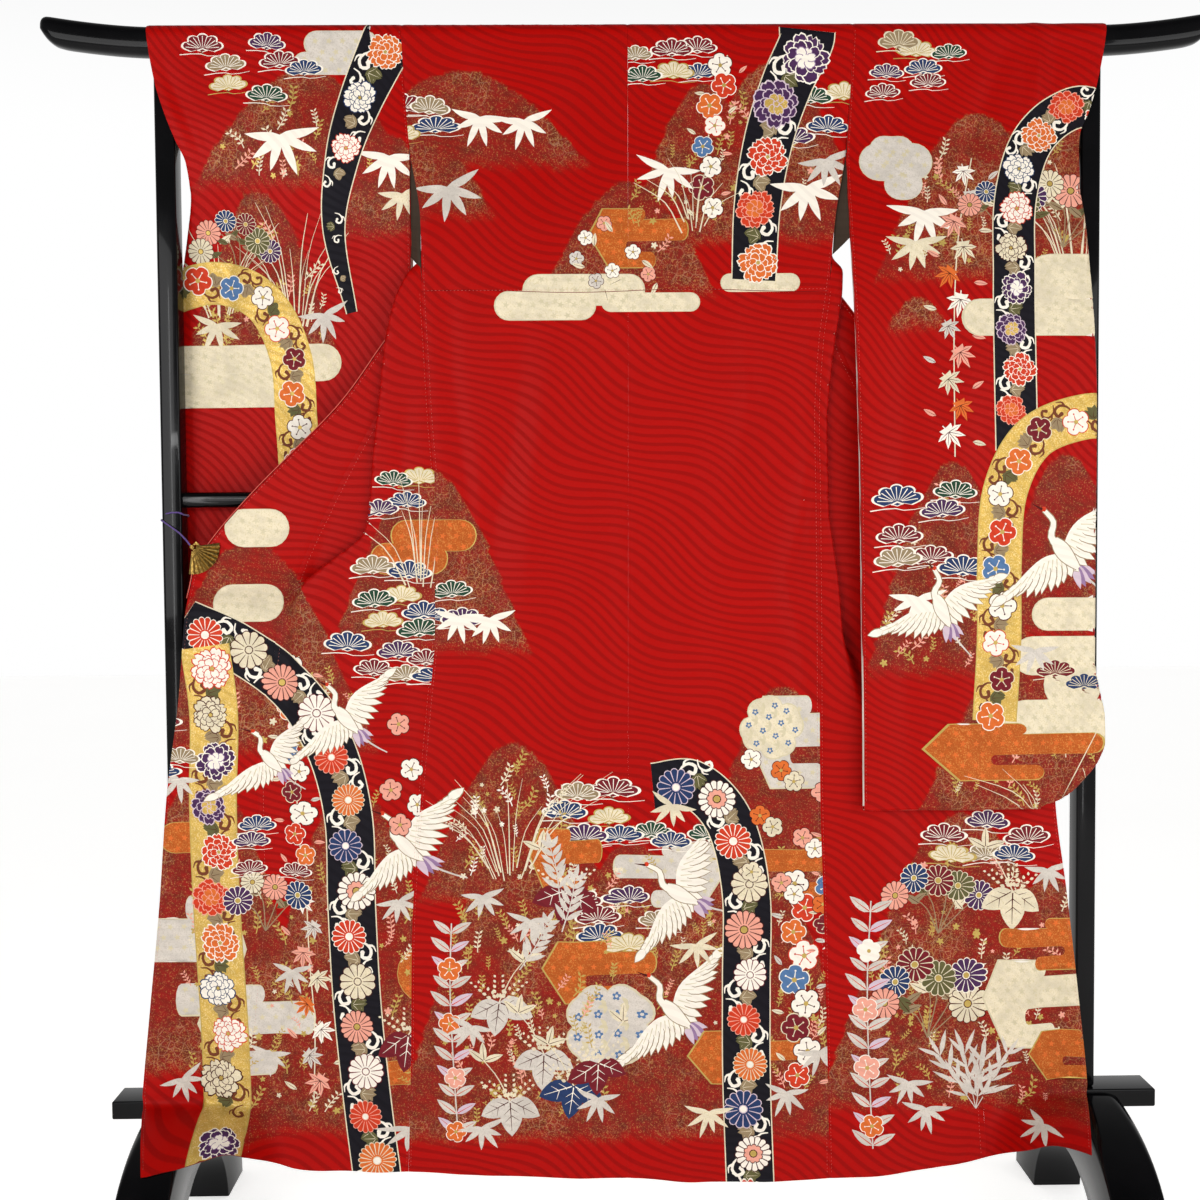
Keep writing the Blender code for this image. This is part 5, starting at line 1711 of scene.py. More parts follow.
def mist(outlines, dye):
    """Banks of mist with a fine edge, strewn with tiny woven blossoms."""
    for outline in outlines:
        middle = outline.mean(0)
        area("leaf" if dye == "ochre" else "thread", middle + (outline - middle) * 1.03)
    for outline in outlines:
        area(dye, outline)
    for outline in outlines:
        low, high = outline.min(0), outline.max(0)
        for row, z in enumerate(np.arange(low[1] + 0.006, high[1] - 0.003, 0.015)):
            x = np.arange(low[0] + 0.005 + (row % 2) * 0.0095, high[0], 0.019)
            clear = np.ones(len(x), bool)
            for dx, dz in ((0.006, 0.0), (-0.006, 0.0), (0.0, 0.005), (0.0, -0.005)):
                clear &= in_outline(np.stack([x + dx, np.full(len(x), z + dz)], 1), outline)
            for place in x[clear]:
                lay(place, z, [("orange" if dye == "ochre" else "thread", BLOSSOM)], 0.01, 40 * row)


def cloud(bars, dye):
    """Mist in bars with round ends."""
    mist([capsule(x0, x1, z0, z1) for (x0, z0), (x1, z1) in bars], dye)


def bank(x, z, wide, tall, dye="ochre", flip=1):
    """Mist with sharp corners at one end and two round fingers at the other."""

    def arc(cx, cz, rx, rz, first, last, count=7):
        return [(cx + rx * math.cos(a), cz + rz * math.sin(a))
            for a in np.radians(np.linspace(first, last, count))]

    outline = [(-0.5, 0.05), (-0.36, 0.48)] + arc(0.02, 0.38, 0.05, 0.1, 90, -60) + arc(0.44, 0.13, 0.06,
        0.18, 90, -90)
    outline += arc(-0.1, -0.15, 0.03, 0.09, 90, 270) + arc(0.12, -0.37, 0.05, 0.13, 90, -90) + [(-0.3, -0.5)]
    mist([np.array(outline) * (wide * flip, tall) + (x, z)], dye)


def bush(x, z, seed, size):
    """A clump of narrow leaves on forked twigs."""
    draw = random.Random(seed)
    for lean in (-34, -12, 8, 30):
        a = math.radians(90 - lean)
        tall = size * draw.uniform(0.7, 1.1)
        top = (x + tall * math.cos(a), z + tall * math.sin(a))
        area("silver", stroke([(x, z), top], 0.0014, 0.0008))
        for share in (0.25, 0.5, 0.75, 1.0):
            spot = (x + share * tall * math.cos(a), z + share * tall * math.sin(a))
            for turn in (-38, 4, 40):
                lay(*spot, [("silver", blade(1.0, 0.17, 0.0, 3))], size * draw.uniform(0.32, 0.46),
                    turn - lean + draw.uniform(-10, 10))


def pines(x, z, wide, tall, count, seed, size=0.052):
    """A grove of pine crowns in mixed colours, the far ones first."""
    draw = random.Random(seed)
    places = []
    for _ in range(count * 12):
        spot = (x + draw.uniform(-wide, wide) / 2, z + draw.uniform(-tall, tall) / 2)
        if all(abs(spot[0] - p[0]) > size * 0.62 or abs(spot[1] - p[1]) > size * 0.36 for p in places):
            places.append(spot)
        if len(places) == count:
            break
    dyes = ["navy", "maroon", "cream", "purple", "taupe", "green", "maroon", "navy"]
    for k, (px, pz) in enumerate(sorted(places, key=lambda p: -p[1])):
        body = dyes[(k * 3 + seed) % len(dyes)]
        lay(px, pz, pine(body, "white" if body != "cream" else "leaf", seed=seed + k),
            size * draw.uniform(0.9, 1.12), draw.uniform(-5, 5))


def mum_spray(x, z, seed, count, size, spread):
    """Chrysanthemums on thin stems with small leaves."""
    draw = random.Random(seed)
    pairs = (("cream", "line"), ("purple", "white"), ("olive", "cream"), ("maroon", "cream"),
        ("navy", "white"), ("salmon", "line"))
    for k in range(count):
        a = math.radians(90 + (k - (count - 1) / 2) * 150 / count + draw.uniform(-10, 10))
        reach = spread * draw.uniform(0.7, 1.1)
        px, pz = x + reach * math.cos(a), z + reach * math.sin(a)
        line = curve([(x, z - 0.02), ((x + px) / 2 + 0.008, (z + pz) / 2), (px, pz)], 8)
        area("taupe", stroke(line, 0.0016, 0.001))
        for side in (-1, 1):
            lay((x * 0.4 + px * 0.6) + side * 0.006, z * 0.4 + pz * 0.6,
                leaf(draw.choice(("taupe", "olive", "cream"))), size * 0.62, side * draw.uniform(40, 80))
    for k in range(count):
        a = math.radians(90 + (k - (count - 1) / 2) * 150 / count)
        reach = spread * draw.uniform(0.75, 1.1)
        main, mark = pairs[(seed + k) % len(pairs)]
        lay(x + reach * math.cos(a), z + reach * math.sin(a), mum(main, mark, rays=14),
            size * draw.uniform(0.85, 1.15), draw.uniform(0, 90))


def undergrowth(x, z, wide, tall, count, seed, dyes=("leaf", "leaf", "leaf", "cream", "salmon")):
    """Small sprigs, buds and tiny blossoms strewn over a hill."""
    draw = random.Random(seed)
    for _ in range(int(count * 1.25)):
        px, pz = x + draw.uniform(-0.5, 0.5) * wide, z + draw.uniform(-0.5, 0.5) * tall
        dye = draw.choice(dyes)
        if not on_hill(px, pz):
            continue
        if draw.random() < 0.3:
            lay(px, pz, [(dye, petals(0.5, 5, 0.5, 3))], draw.uniform(0.006, 0.012), draw.uniform(0, 72))
            continue
        twig = curve([(0, 0), (0.1, 0.5), (draw.uniform(-0.2, 0.3), 1.0)], 5)
        shapes = [(dye, stroke(twig, 0.06, 0.02))]
        for x0, y0 in twig[1:]:
            shapes += [(dye, spin(blade(0.28, 0.12, 0.0, 2), -hand * 52, x0, y0)) for hand in (-1, 1)]
        lay(px, pz, shapes, draw.uniform(0.014, 0.03), draw.uniform(-40, 40))


def grass(x, z, seed, size, turn=0, dye="white"):
    lay(x, z, bamboo_grass(dye, seed), size, turn)


def tufts(places, seed, size, even="silver"):
    """Sprays of bamboo grass, each turned a little more than the last."""
    for k, (x, z) in enumerate(places):
        grass(x, z, seed + k, size, 9 * k - 20, "silver" if k % 2 else even)


def grasses(x, z, seed, count, tall, spread):
    """A tuft of curving reeds."""
    draw = random.Random(seed)
    for _ in range(count):
        lean = draw.uniform(-1, 1) * spread
        shape = reed(tall * draw.uniform(0.55, 1.1), lean, draw.uniform(0.0009, 0.0018))
        lay(x + lean * 0.25, z + draw.uniform(-0.012, 0.012), [shape])


def leafy_spray(x, z, seed, size):
    """Three broad leaves under spikes of paired buds, with a shoot of young leaves."""
    draw = random.Random(seed)
    dye = draw.choice(("cream", "silver", "navy", "maroon"))
    mark = "line" if dye in ("cream", "silver") else "white"
    for degrees in (118, -118, 180):
        broad = np.concatenate([blade(1.0, 0.62, 0.05, 7), [(0, 0)]])
        lay(x, z, [(dye, broad), (mark, stroke([(0, 0.05), (0.04, 0.85)], 0.035, 0.01))]
            + [(mark, stroke([(0, y), (side * 0.2, y + 0.16)], 0.022, 0.008)) for y in (0.2, 0.42)
            for side in (-1, 1)], size * draw.uniform(0.85, 1.05), degrees + draw.uniform(-8, 8))
    for lean in (-0.55, 0.0, 0.55):
        for k in range(5):
            for hand in (-1, 1):
                px = x + lean * 0.012 * (k + 1) + hand * 0.0042
                lay(px, z + 0.006 + k * (0.0075 - abs(lean) * 0.004), [("cream", blade(1.0, 0.7, 0.0, 3))],
                    0.0075 - 0.0007 * k, -hand * 40 - lean * 60)
    tip = (x + draw.choice((-1, 1)) * size * 0.7, z + size * 1.15)
    area("cream", stroke(curve([(x, z), ((x + tip[0]) / 2, z + size * 0.7), tip], 6), 0.0018, 0.0012))
    for degrees in (-62, 0, 62):
        lay(*tip, leaf("cream"), size * 0.55, degrees + draw.uniform(-10, 10))


def vine(points, seed, size):
    """A hanging vine: pairs of pale leaves with a small flower now and then."""
    draw = random.Random(seed)
    line = curve(points, 30)
    area("silver", stroke(line, 0.0018))
    for k, (x, z, _) in enumerate(along(line, size * 0.72, size * 0.4)):
        for hand in (-1, 1):
            motif = leaf("silver" if (k + hand) % 3 else "lilac", "vermilion")
            lay(x, z, motif, size * draw.uniform(0.8, 1.0), hand * 58)
        if k % 3 == 2:
            motif = plum(draw.choice(("orange", "salmon", "white", "orange")), "white")
            lay(x + draw.uniform(-0.003, 0.003), z, motif, size * draw.uniform(0.8, 1.0), draw.uniform(0, 72))


def plaque(x, z, size, dye="silver", turn=45):
    """A lobed lozenge of silver with scattered blossoms woven in."""
    draw = random.Random(0)
    angle = np.linspace(0, math.tau, 48, endpoint=False)
    reach = 0.4 + 0.09 * np.abs(np.cos(2 * angle)) ** 0.6 + 0.03 * np.abs(np.sin(4 * angle))
    outline = np.stack([reach * np.cos(angle), reach * np.sin(angle)], 1)
    shapes = [("thread", outline * 1.05), (dye, outline)]
    for i in range(-2, 3):
        for j in range(-2, 3):
            if i * i + j * j > 5:
                continue
            px, py = i * 0.17 + draw.uniform(-0.02, 0.02), j * 0.17 + draw.uniform(-0.02, 0.02)
            if (i + j) % 2:
                shapes.append(("blue", petals(0.055, 5, 0.4, 3, centre=(px, py))))
                shapes.append((dye, dot(px, py, 0.022, 5)))
            else:
                shapes += [("thread", spin(blade(0.11, 0.05), 60 * n, px, py)) for n in range(3)]
    lay(x, z, shapes, size, turn)


PEONIES = [
    peony(main, mark, middle, k + 1) for k, (main, mark, middle) in enumerate((
        ("vermilion", "salmon", "orange"), ("white", "vermilion", None), ("purple", "lilac", "gold"),
        ("orange", "white", None), ("cream", "line", None), ("vermilion", "white", None),
        ("white", "navy", None), ("purple", "white", "white")))
]
MUMS = [
    mum("vermilion", "white", "white"), mum("white", "maroon", "white", 14),
    mum("navy", "lilac", "white", 14), mum("cream", "line", "cream", 12),
    mum("vermilion", "salmon", "white", 16), mum("white", second="salmon"),
    mum("salmon", "line"), mum("orange", "cream", "white", 20),
]
PLUMS = [plum("white"), plum("vermilion", "white"), plum("orange", "white"), plum("white", "vermilion"),
         plum("blue", "white"), plum("white"), plum("maroon", "cream")]
MAPLES = [maple("white"), maple("silver"), maple("salmon"), maple("cream"), maple("orange")]


def draw_left_sleeve():
    each(hill, (-0.451, 1.518, 0.171, 0.15), (-0.523, 1.261, 0.12, 0.243), (-0.333, 1.447, 0.086, 0.129))
    cloud([((-0.466, 1.66), (-0.371, 1.691)), ((-0.451, 1.685), (-0.351, 1.72))], "silver")
    undergrowth(-0.469, 1.568, 0.214, 0.1, 26, 78)
    undergrowth(-0.54, 1.354, 0.214, 0.186, 40, 79)
    pines(-0.523, 1.665, 0.143, 0.089, 7, 3)
    each(grass, (-0.484, 1.557, 1, 0.103, 4), (-0.337, 1.531, 2, 0.084, -6),
        (-0.317, 1.482, 3, 0.073, 8, "cream"))
    grasses(-0.586, 1.342, 4, 14, 0.12, 0.086)
    grasses(-0.474, 1.325, 5, 14, 0.143, 0.071)
    mum_spray(-0.557, 1.397, 1, 6, 0.034, 0.066)
    flower_band([(-0.327, 1.725), (-0.374, 1.625), (-0.403, 1.54), (-0.417, 1.447), (-0.394, 1.334)], 0.077,
        "black", PEONIES, 11, end=0.017)
    cloud([((-0.683, 1.204), (-0.451, 1.251)), ((-0.669, 1.24), (-0.414, 1.291))], "cream")
    flower_band([(-0.683, 1.357), (-0.59, 1.38), (-0.52, 1.35), (-0.483, 1.275), (-0.477, 1.182),
        (-0.474, 1.082), (-0.474, 0.954)], 0.06, "gold", PLUMS, 12, size=0.041)
    grass(-0.591, 1.308, 4, 0.073, -5, "cream")
    grass(-0.431, 1.32, 5, 0.07, 12, "silver")


def draw_right_sleeve():
    each(hill, (0.486, 1.377, 0.154, 0.226), (0.396, 1.307, 0.049, 0.037), (0.617, 1.411, 0.086, 0.171),
        (0.443, 0.828, 0.123, 0.286), (0.603, 0.882, 0.114, 0.243), (0.546, 0.611, 0.164, 0.243))
    each(undergrowth, (0.474, 1.468, 0.271, 0.186, 40, 80), (0.446, 0.954, 0.214, 0.257, 40, 81),
        (0.56, 0.682, 0.257, 0.114, 26, 82))
    pines(0.4, 1.654, 0.103, 0.063, 6, 2)
    lay(0.377, 1.697, pine("taupe", "cream", seed=4), 0.057)
    cloud([((0.32, 1.508), (0.42, 1.56)), ((0.354, 1.48), (0.406, 1.525)), ((0.334, 1.528), (0.396, 1.571))],
        "silver")
    grass(0.406, 1.445, 6, 0.096, -4)
    grass(0.396, 1.404, 7, 0.084, 6, "cream")
    garland([(0.477, 1.54), (0.454, 1.425), (0.446, 1.297), (0.446, 1.122)], MAPLES, 3, 0.046)
    grasses(0.62, 1.38, 6, 14, 0.143, 0.086)
    mum_spray(0.6, 1.432, 3, 6, 0.043, 0.074)
    mum_spray(0.51, 1.447, 2, 4, 0.034, 0.057)
    cloud([((0.46, 1.29), (0.689, 1.34)), ((0.546, 1.328), (0.689, 1.402))], "cream")
    flower_band([(0.691, 1.585), (0.629, 1.611), (0.566, 1.568), (0.536, 1.482), (0.531, 1.368),
        (0.531, 1.254), (0.533, 1.131)], 0.06, "black", PEONIES, 13)
    pines(0.417, 1.011, 0.1, 0.129, 7, 5, 0.063)
    grass(0.396, 0.911, 8, 0.084)
    cloud([((0.557, 0.88), (0.689, 0.925)), ((0.531, 0.818), (0.689, 0.871)),
        ((0.517, 0.722), (0.689, 0.782)), ((0.574, 0.768), (0.653, 0.84))], "cream")
    bank(0.531, 0.711, 0.251, 0.08)
    flower_band([(0.691, 1.171), (0.631, 1.177), (0.557, 1.148), (0.517, 1.075), (0.509, 0.975),
        (0.509, 0.868), (0.503, 0.754)], 0.063, "gold", PLUMS, 14, size=0.044)
    each(lay, (0.603, 0.985, crane(1), 0.16, -8), (0.429, 0.908, crane(2), 0.137, -24),
        (0.589, 0.818, pine("maroon", "cream", seed=8), 0.057),
        (0.629, 0.8, pine("navy", "cream", seed=9), 0.054))
    grass(0.56, 0.84, 10, 0.066, 0, "silver")
    grasses(0.589, 0.618, 8, 12, 0.071, 0.1)


def draw_far_sleeve(side):
    """The face turned away carries the same bands and hills, more sparely."""
    x = side * 0.49
    hill(x, 1.46, 0.15, 0.16)
    hill(x, 0.86, 0.15, 0.22)
    flower_band([(x - 0.05, 1.69), (x + 0.01, 1.56), (x + 0.02, 1.4), (x, 1.2)], 0.062, "black", PEONIES, 21)
    cloud([((x - 0.12, 1.14), (x + 0.1, 1.18)), ((x - 0.06, 1.1), (x + 0.14, 1.15))], "cream")
    flower_band([(x + 0.08, 1.08), (x + 0.03, 1.06), (x, 0.98), (x, 0.86), (x, 0.74)], 0.058, "gold", PLUMS,
        22, size=0.043)
    pines(x - 0.06, 0.95, 0.1, 0.12, 6, 4)
    grass(x - 0.08, 1.5, 11, 0.07)
    lay(x + 0.09, 0.88, crane(3), 0.14, 20)


def draw_shoulders(left, right):
    use(left, "back")
    hill(-0.235, 1.54, 0.19, 0.125)
    hill(-0.29, 1.47, 0.11, 0.1)
    pines(-0.29, 1.594, 0.071, 0.049, 4, 1, 0.057)
    each(grass, (-0.211, 1.585, 12, 0.08, -8), (-0.146, 1.581, 13, 0.077, 6),
        (-0.251, 1.485, 14, 0.096, 12, "silver"))
    for cloth in (left, right):
        use(cloth, "back")
        hill(-0.003, 1.36, 0.126, 0.149)
        bank(0.011, 1.431, 0.137, 0.083)
        cloud([((-0.189, 1.317), (-0.051, 1.357)), ((-0.149, 1.337), (0.017, 1.38)),
            ((-0.04, 1.328), (0.094, 1.354))], "cream")
        for k, (x, z) in enumerate(((-0.063, 1.431), (-0.037, 1.451), (-0.076, 1.402), (-0.026, 1.385),
                (0.024, 1.38), (-0.049, 1.371), (0.003, 1.411))):
            lay(x, z, plum(("white", "salmon", "silver")[k % 3]), 0.023, 20 * k)
            lay(x + 0.012, z - 0.012, leaf("cream"), 0.019, 40 * k)
    hill(0.2, 1.432, 0.149, 0.243)
    hill(0.103, 1.475, 0.1, 0.171)
    for k, (x, z) in enumerate(((0.017, 1.461), (0.189, 1.54), (0.131, 1.511))):
        undergrowth(x, z, 0.157, 0.129, 16, 83 + k)
    pines(0.063, 1.671, 0.109, 0.063, 6, 6)
    pines(0.263, 1.594, 0.08, 0.071, 4, 2, 0.06)
    cloud([((0.126, 1.355), (0.234, 1.38))], "cream")
    garland([(0.137, 1.685), (0.114, 1.597), (0.106, 1.525), (0.109, 1.457)], PLUMS, 5, 0.036)
    flower_band([(0.249, 1.72), (0.246, 1.7), (0.22, 1.645), (0.194, 1.568), (0.177, 1.475), (0.171, 1.371)],
        0.08, "black", PEONIES, 15, end=0.063)
    each(grass, (0.051, 1.511, 15, 0.084, -8), (0.249, 1.482, 16, 0.103, 8),
        (0.277, 1.525, 17, 0.077, 14, "silver"))
    grasses(0.089, 1.447, 9, 10, 0.086, 0.071)


def draw_left_hem(body, okumi):
    """The pulled-out front, its gore and the left of the back."""
    for view in ("near", "back"):
        use(body, view)
        hill(-0.286, 0.865, 0.143, 0.246)
        cloud([((-0.337, 0.997), (-0.22, 1.04)), ((-0.366, 0.965), (-0.26, 1.008))], "ochre")
    use(body, "near")
    pines(-0.326, 1.071, 0.063, 0.051, 4, 2, 0.054)
    pines(-0.343, 0.945, 0.071, 0.057, 4, 4, 0.057)
    use(body, "front")
    pines(-0.34, 0.861, 0.137, 0.1, 9, 7, 0.06)
    use(body, "back")
    pines(-0.26, 0.92, 0.051, 0.063, 4, 5, 0.054)
    grass(-0.246, 0.891, 18, 0.073, -4)
    grass(-0.2, 0.888, 19, 0.073, 6)
    use(body, "near")
    grasses(-0.297, 0.954, 10, 12, 0.143, 0.086)
    for cloth, view in ((body, "front"), (okumi, "all")):
        use(cloth, view)
        each(hill, (-0.54, 0.725, 0.186, 0.286), (-0.604, 0.268, 0.157, 0.429), (-0.397, 0.182, 0.171, 0.486))
        cloud([((-0.571, 1.005), (-0.483, 1.057)), ((-0.591, 0.9), (-0.494, 0.951))], "cream")
        bank(-0.626, 0.428, 0.149, 0.171, "silver", -1)
        bank(-0.537, 0.322, 0.166, 0.129, "silver")
        cloud([((-0.669, 0.574), (-0.58, 0.617)), ((-0.337, 0.357), (-0.28, 0.44)),
            ((-0.366, 0.24), (-0.283, 0.274))], "ochre")
        undergrowth(-0.469, 0.382, 0.343, 0.371, 100, 75)
        undergrowth(-0.483, 0.725, 0.271, 0.229, 40, 76)
        garland([(-0.469, 0.851), (-0.48, 0.754), (-0.474, 0.64), (-0.469, 0.554)], PLUMS, 7, 0.037)
        garland([(-0.463, 0.525), (-0.46, 0.425), (-0.454, 0.325), (-0.457, 0.218)], MAPLES, 8, 0.046)
        flower_band([(-0.631, 0.897), (-0.56, 0.865), (-0.483, 0.808), (-0.429, 0.728), (-0.403, 0.625),
            (-0.4, 0.497), (-0.394, 0.354), (-0.38, 0.197), (-0.363, 0.054)], 0.069, "black", MUMS, 16)
        flower_band([(-0.603, 0.865), (-0.591, 0.768), (-0.594, 0.64), (-0.591, 0.497), (-0.583, 0.325),
            (-0.58, 0.182), (-0.577, 0.054)], 0.069, "gold", PEONIES, 17)
        each(lay, (-0.403, 0.76, crane(4), 0.131, -6), (-0.511, 0.702, crane(5), 0.114, -4),
            (-0.32, 0.577, crane(6), 0.14))
        for k, (x, z) in enumerate(((-0.331, 0.754), (-0.314, 0.69), (-0.343, 0.661), (-0.306, 0.64),
                (-0.331, 0.611))):
            lay(x, z, plum("white" if k % 2 else "salmon"), 0.034, 30 * k)
        mum_spray(-0.523, 0.482, 4, 4, 0.037, 0.057)
        leafy_spray(-0.323, 0.311, 11, size=0.054)
        tufts([(-0.646, 0.668), (-0.523, 0.274), (-0.486, 0.394), (-0.32, 0.165), (-0.331, 0.491),
            (-0.64, 0.24)], 30, 0.063)
        pines(-0.514, 0.568, 0.071, 0.086, 4, 8, 0.051)
        pines(-0.651, 0.725, 0.043, 0.086, 3, 1, 0.051)
    use(body, "back")
    lay(-0.32, 0.577, crane(6), 0.14)


def draw_back_hem(left, right):
    use(left, "back")
    hill(-0.171, 0.511, 0.14, 0.214)
    hill(-0.14, 0.165, 0.214, 0.471)
    use(right, "back")
    hill(0.21, 0.497, 0.137, 0.307)
    hill(0.131, 0.165, 0.214, 0.471)
    for cloth in (left, right):
        use(cloth, "back")
        hill(-0.004, 0.311, 0.157, 0.271)
        bank(0.049, 0.537, 0.157, 0.091, "silver", -1)
        undergrowth(0.017, 0.468, 0.243, 0.286, 50, 71)
        pines(-0.031, 0.622, 0.137, 0.071, 7, 9, 0.063)
        pines(-0.023, 0.468, 0.114, 0.086, 6, 3, 0.06)
        bank(-0.051, 0.4, 0.16, 0.089)
        plaque(-0.04, 0.322, 0.12)
        lay(0.066, 0.508, crane(7), 0.149, 14)
        lay(0.057, 0.337, crane(8), 0.154)
    use(left, "back")
    undergrowth(-0.154, 0.325, 0.243, 0.3, 90, 72)
    undergrowth(-0.171, 0.611, 0.171, 0.157, 46, 73, ("cream", "white", "leaf"))
    bank(-0.097, 0.56, 0.1, 0.091)
    grasses(-0.176, 0.54, 13, 18, 0.137, 0.129)
    vine([(-0.26, 0.471), (-0.263, 0.382), (-0.26, 0.282), (-0.254, 0.165)], 9, 0.036)
    for k, (x, z) in enumerate(((-0.194, 0.357), (-0.131, 0.282), (-0.18, 0.214), (-0.089, 0.237),
            (-0.097, 0.517), (-0.054, 0.268))):
        leafy_spray(x, z, 20 + k, size=0.051)
    for k, (x, z) in enumerate(((-0.094, 0.5), (-0.143, 0.44), (-0.114, 0.545))):
        lay(x, z, fern("silver", k), 0.086, (-14, -30, 10)[k])
    tufts([(-0.237, 0.311), (-0.057, 0.205), (-0.149, 0.461), (-0.214, 0.497), (-0.217, 0.165)], 40, 0.066)
    use(right, "back")
    undergrowth(0.203, 0.382, 0.186, 0.343, 70, 74)
    bank(0.24, 0.725, 0.157, 0.131, "silver")
    plaque(0.194, 0.745, 0.086, "cream", 20)
    bank(0.16, 0.274, 0.171, 0.077)
    bank(0.246, 0.545, 0.157, 0.086, "ochre", -1)
    pines(0.089, 0.597, 0.086, 0.043, 3, 2, 0.057)
    garland([(0.234, 0.54), (0.231, 0.44), (0.234, 0.34), (0.237, 0.237)], PLUMS, 10, 0.043)
    garland([(0.286, 0.64), (0.28, 0.525), (0.274, 0.425)], PLUMS + MAPLES, 11, 0.034)
    flower_band([(0.026, 0.662), (0.083, 0.665), (0.134, 0.611), (0.157, 0.511), (0.157, 0.382),
        (0.157, 0.24), (0.163, 0.054)], 0.069, "black", MUMS, 18)
    tufts([(0.049, 0.625), (0.211, 0.211), (0.103, 0.182), (0.263, 0.268), (0.089, 0.425)], 50, 0.066,
        "cream")
    for k in range(14):
        x, z = 0.165 + 0.03 * (k % 5) + 0.012 * (k % 2), 0.7 - 0.016 * k
        lay(x, z, plum(("white", "orange", "cream", "salmon")[k % 4]), 0.031, 25 * k)


def draw_right_hem(body, okumi):
    for cloth, view in ((body, "front"), (okumi, "all")):
        use(cloth, view)
        hill(0.467, 0.205, 0.214, 0.414)
        hill(0.589, 0.217, 0.129, 0.314)
        undergrowth(0.474, 0.382, 0.286, 0.371, 90, 77)
        pines(0.48, 0.58, 0.157, 0.057, 6, 3, 0.06)
        mum_spray(0.417, 0.317, 6, 6, 0.051, 0.083)
        mum_spray(0.431, 0.468, 7, 5, 0.043, 0.071)
        leafy_spray(0.537, 0.508, 31, size=0.054)
        each(bank, (0.574, 0.347, 0.154, 0.126, "cream"), (0.594, 0.431, 0.149, 0.074, "ochre", -1),
            (0.629, 0.271, 0.137, 0.071))
        bush(0.486, 0.194, 86, 0.091)
        vine([(0.334, 0.497), (0.329, 0.382), (0.331, 0.268), (0.337, 0.14)], 12, 0.039)
        tufts([(0.554, 0.185), (0.386, 0.222), (0.414, 0.182), (0.589, 0.525)], 60, 0.067)


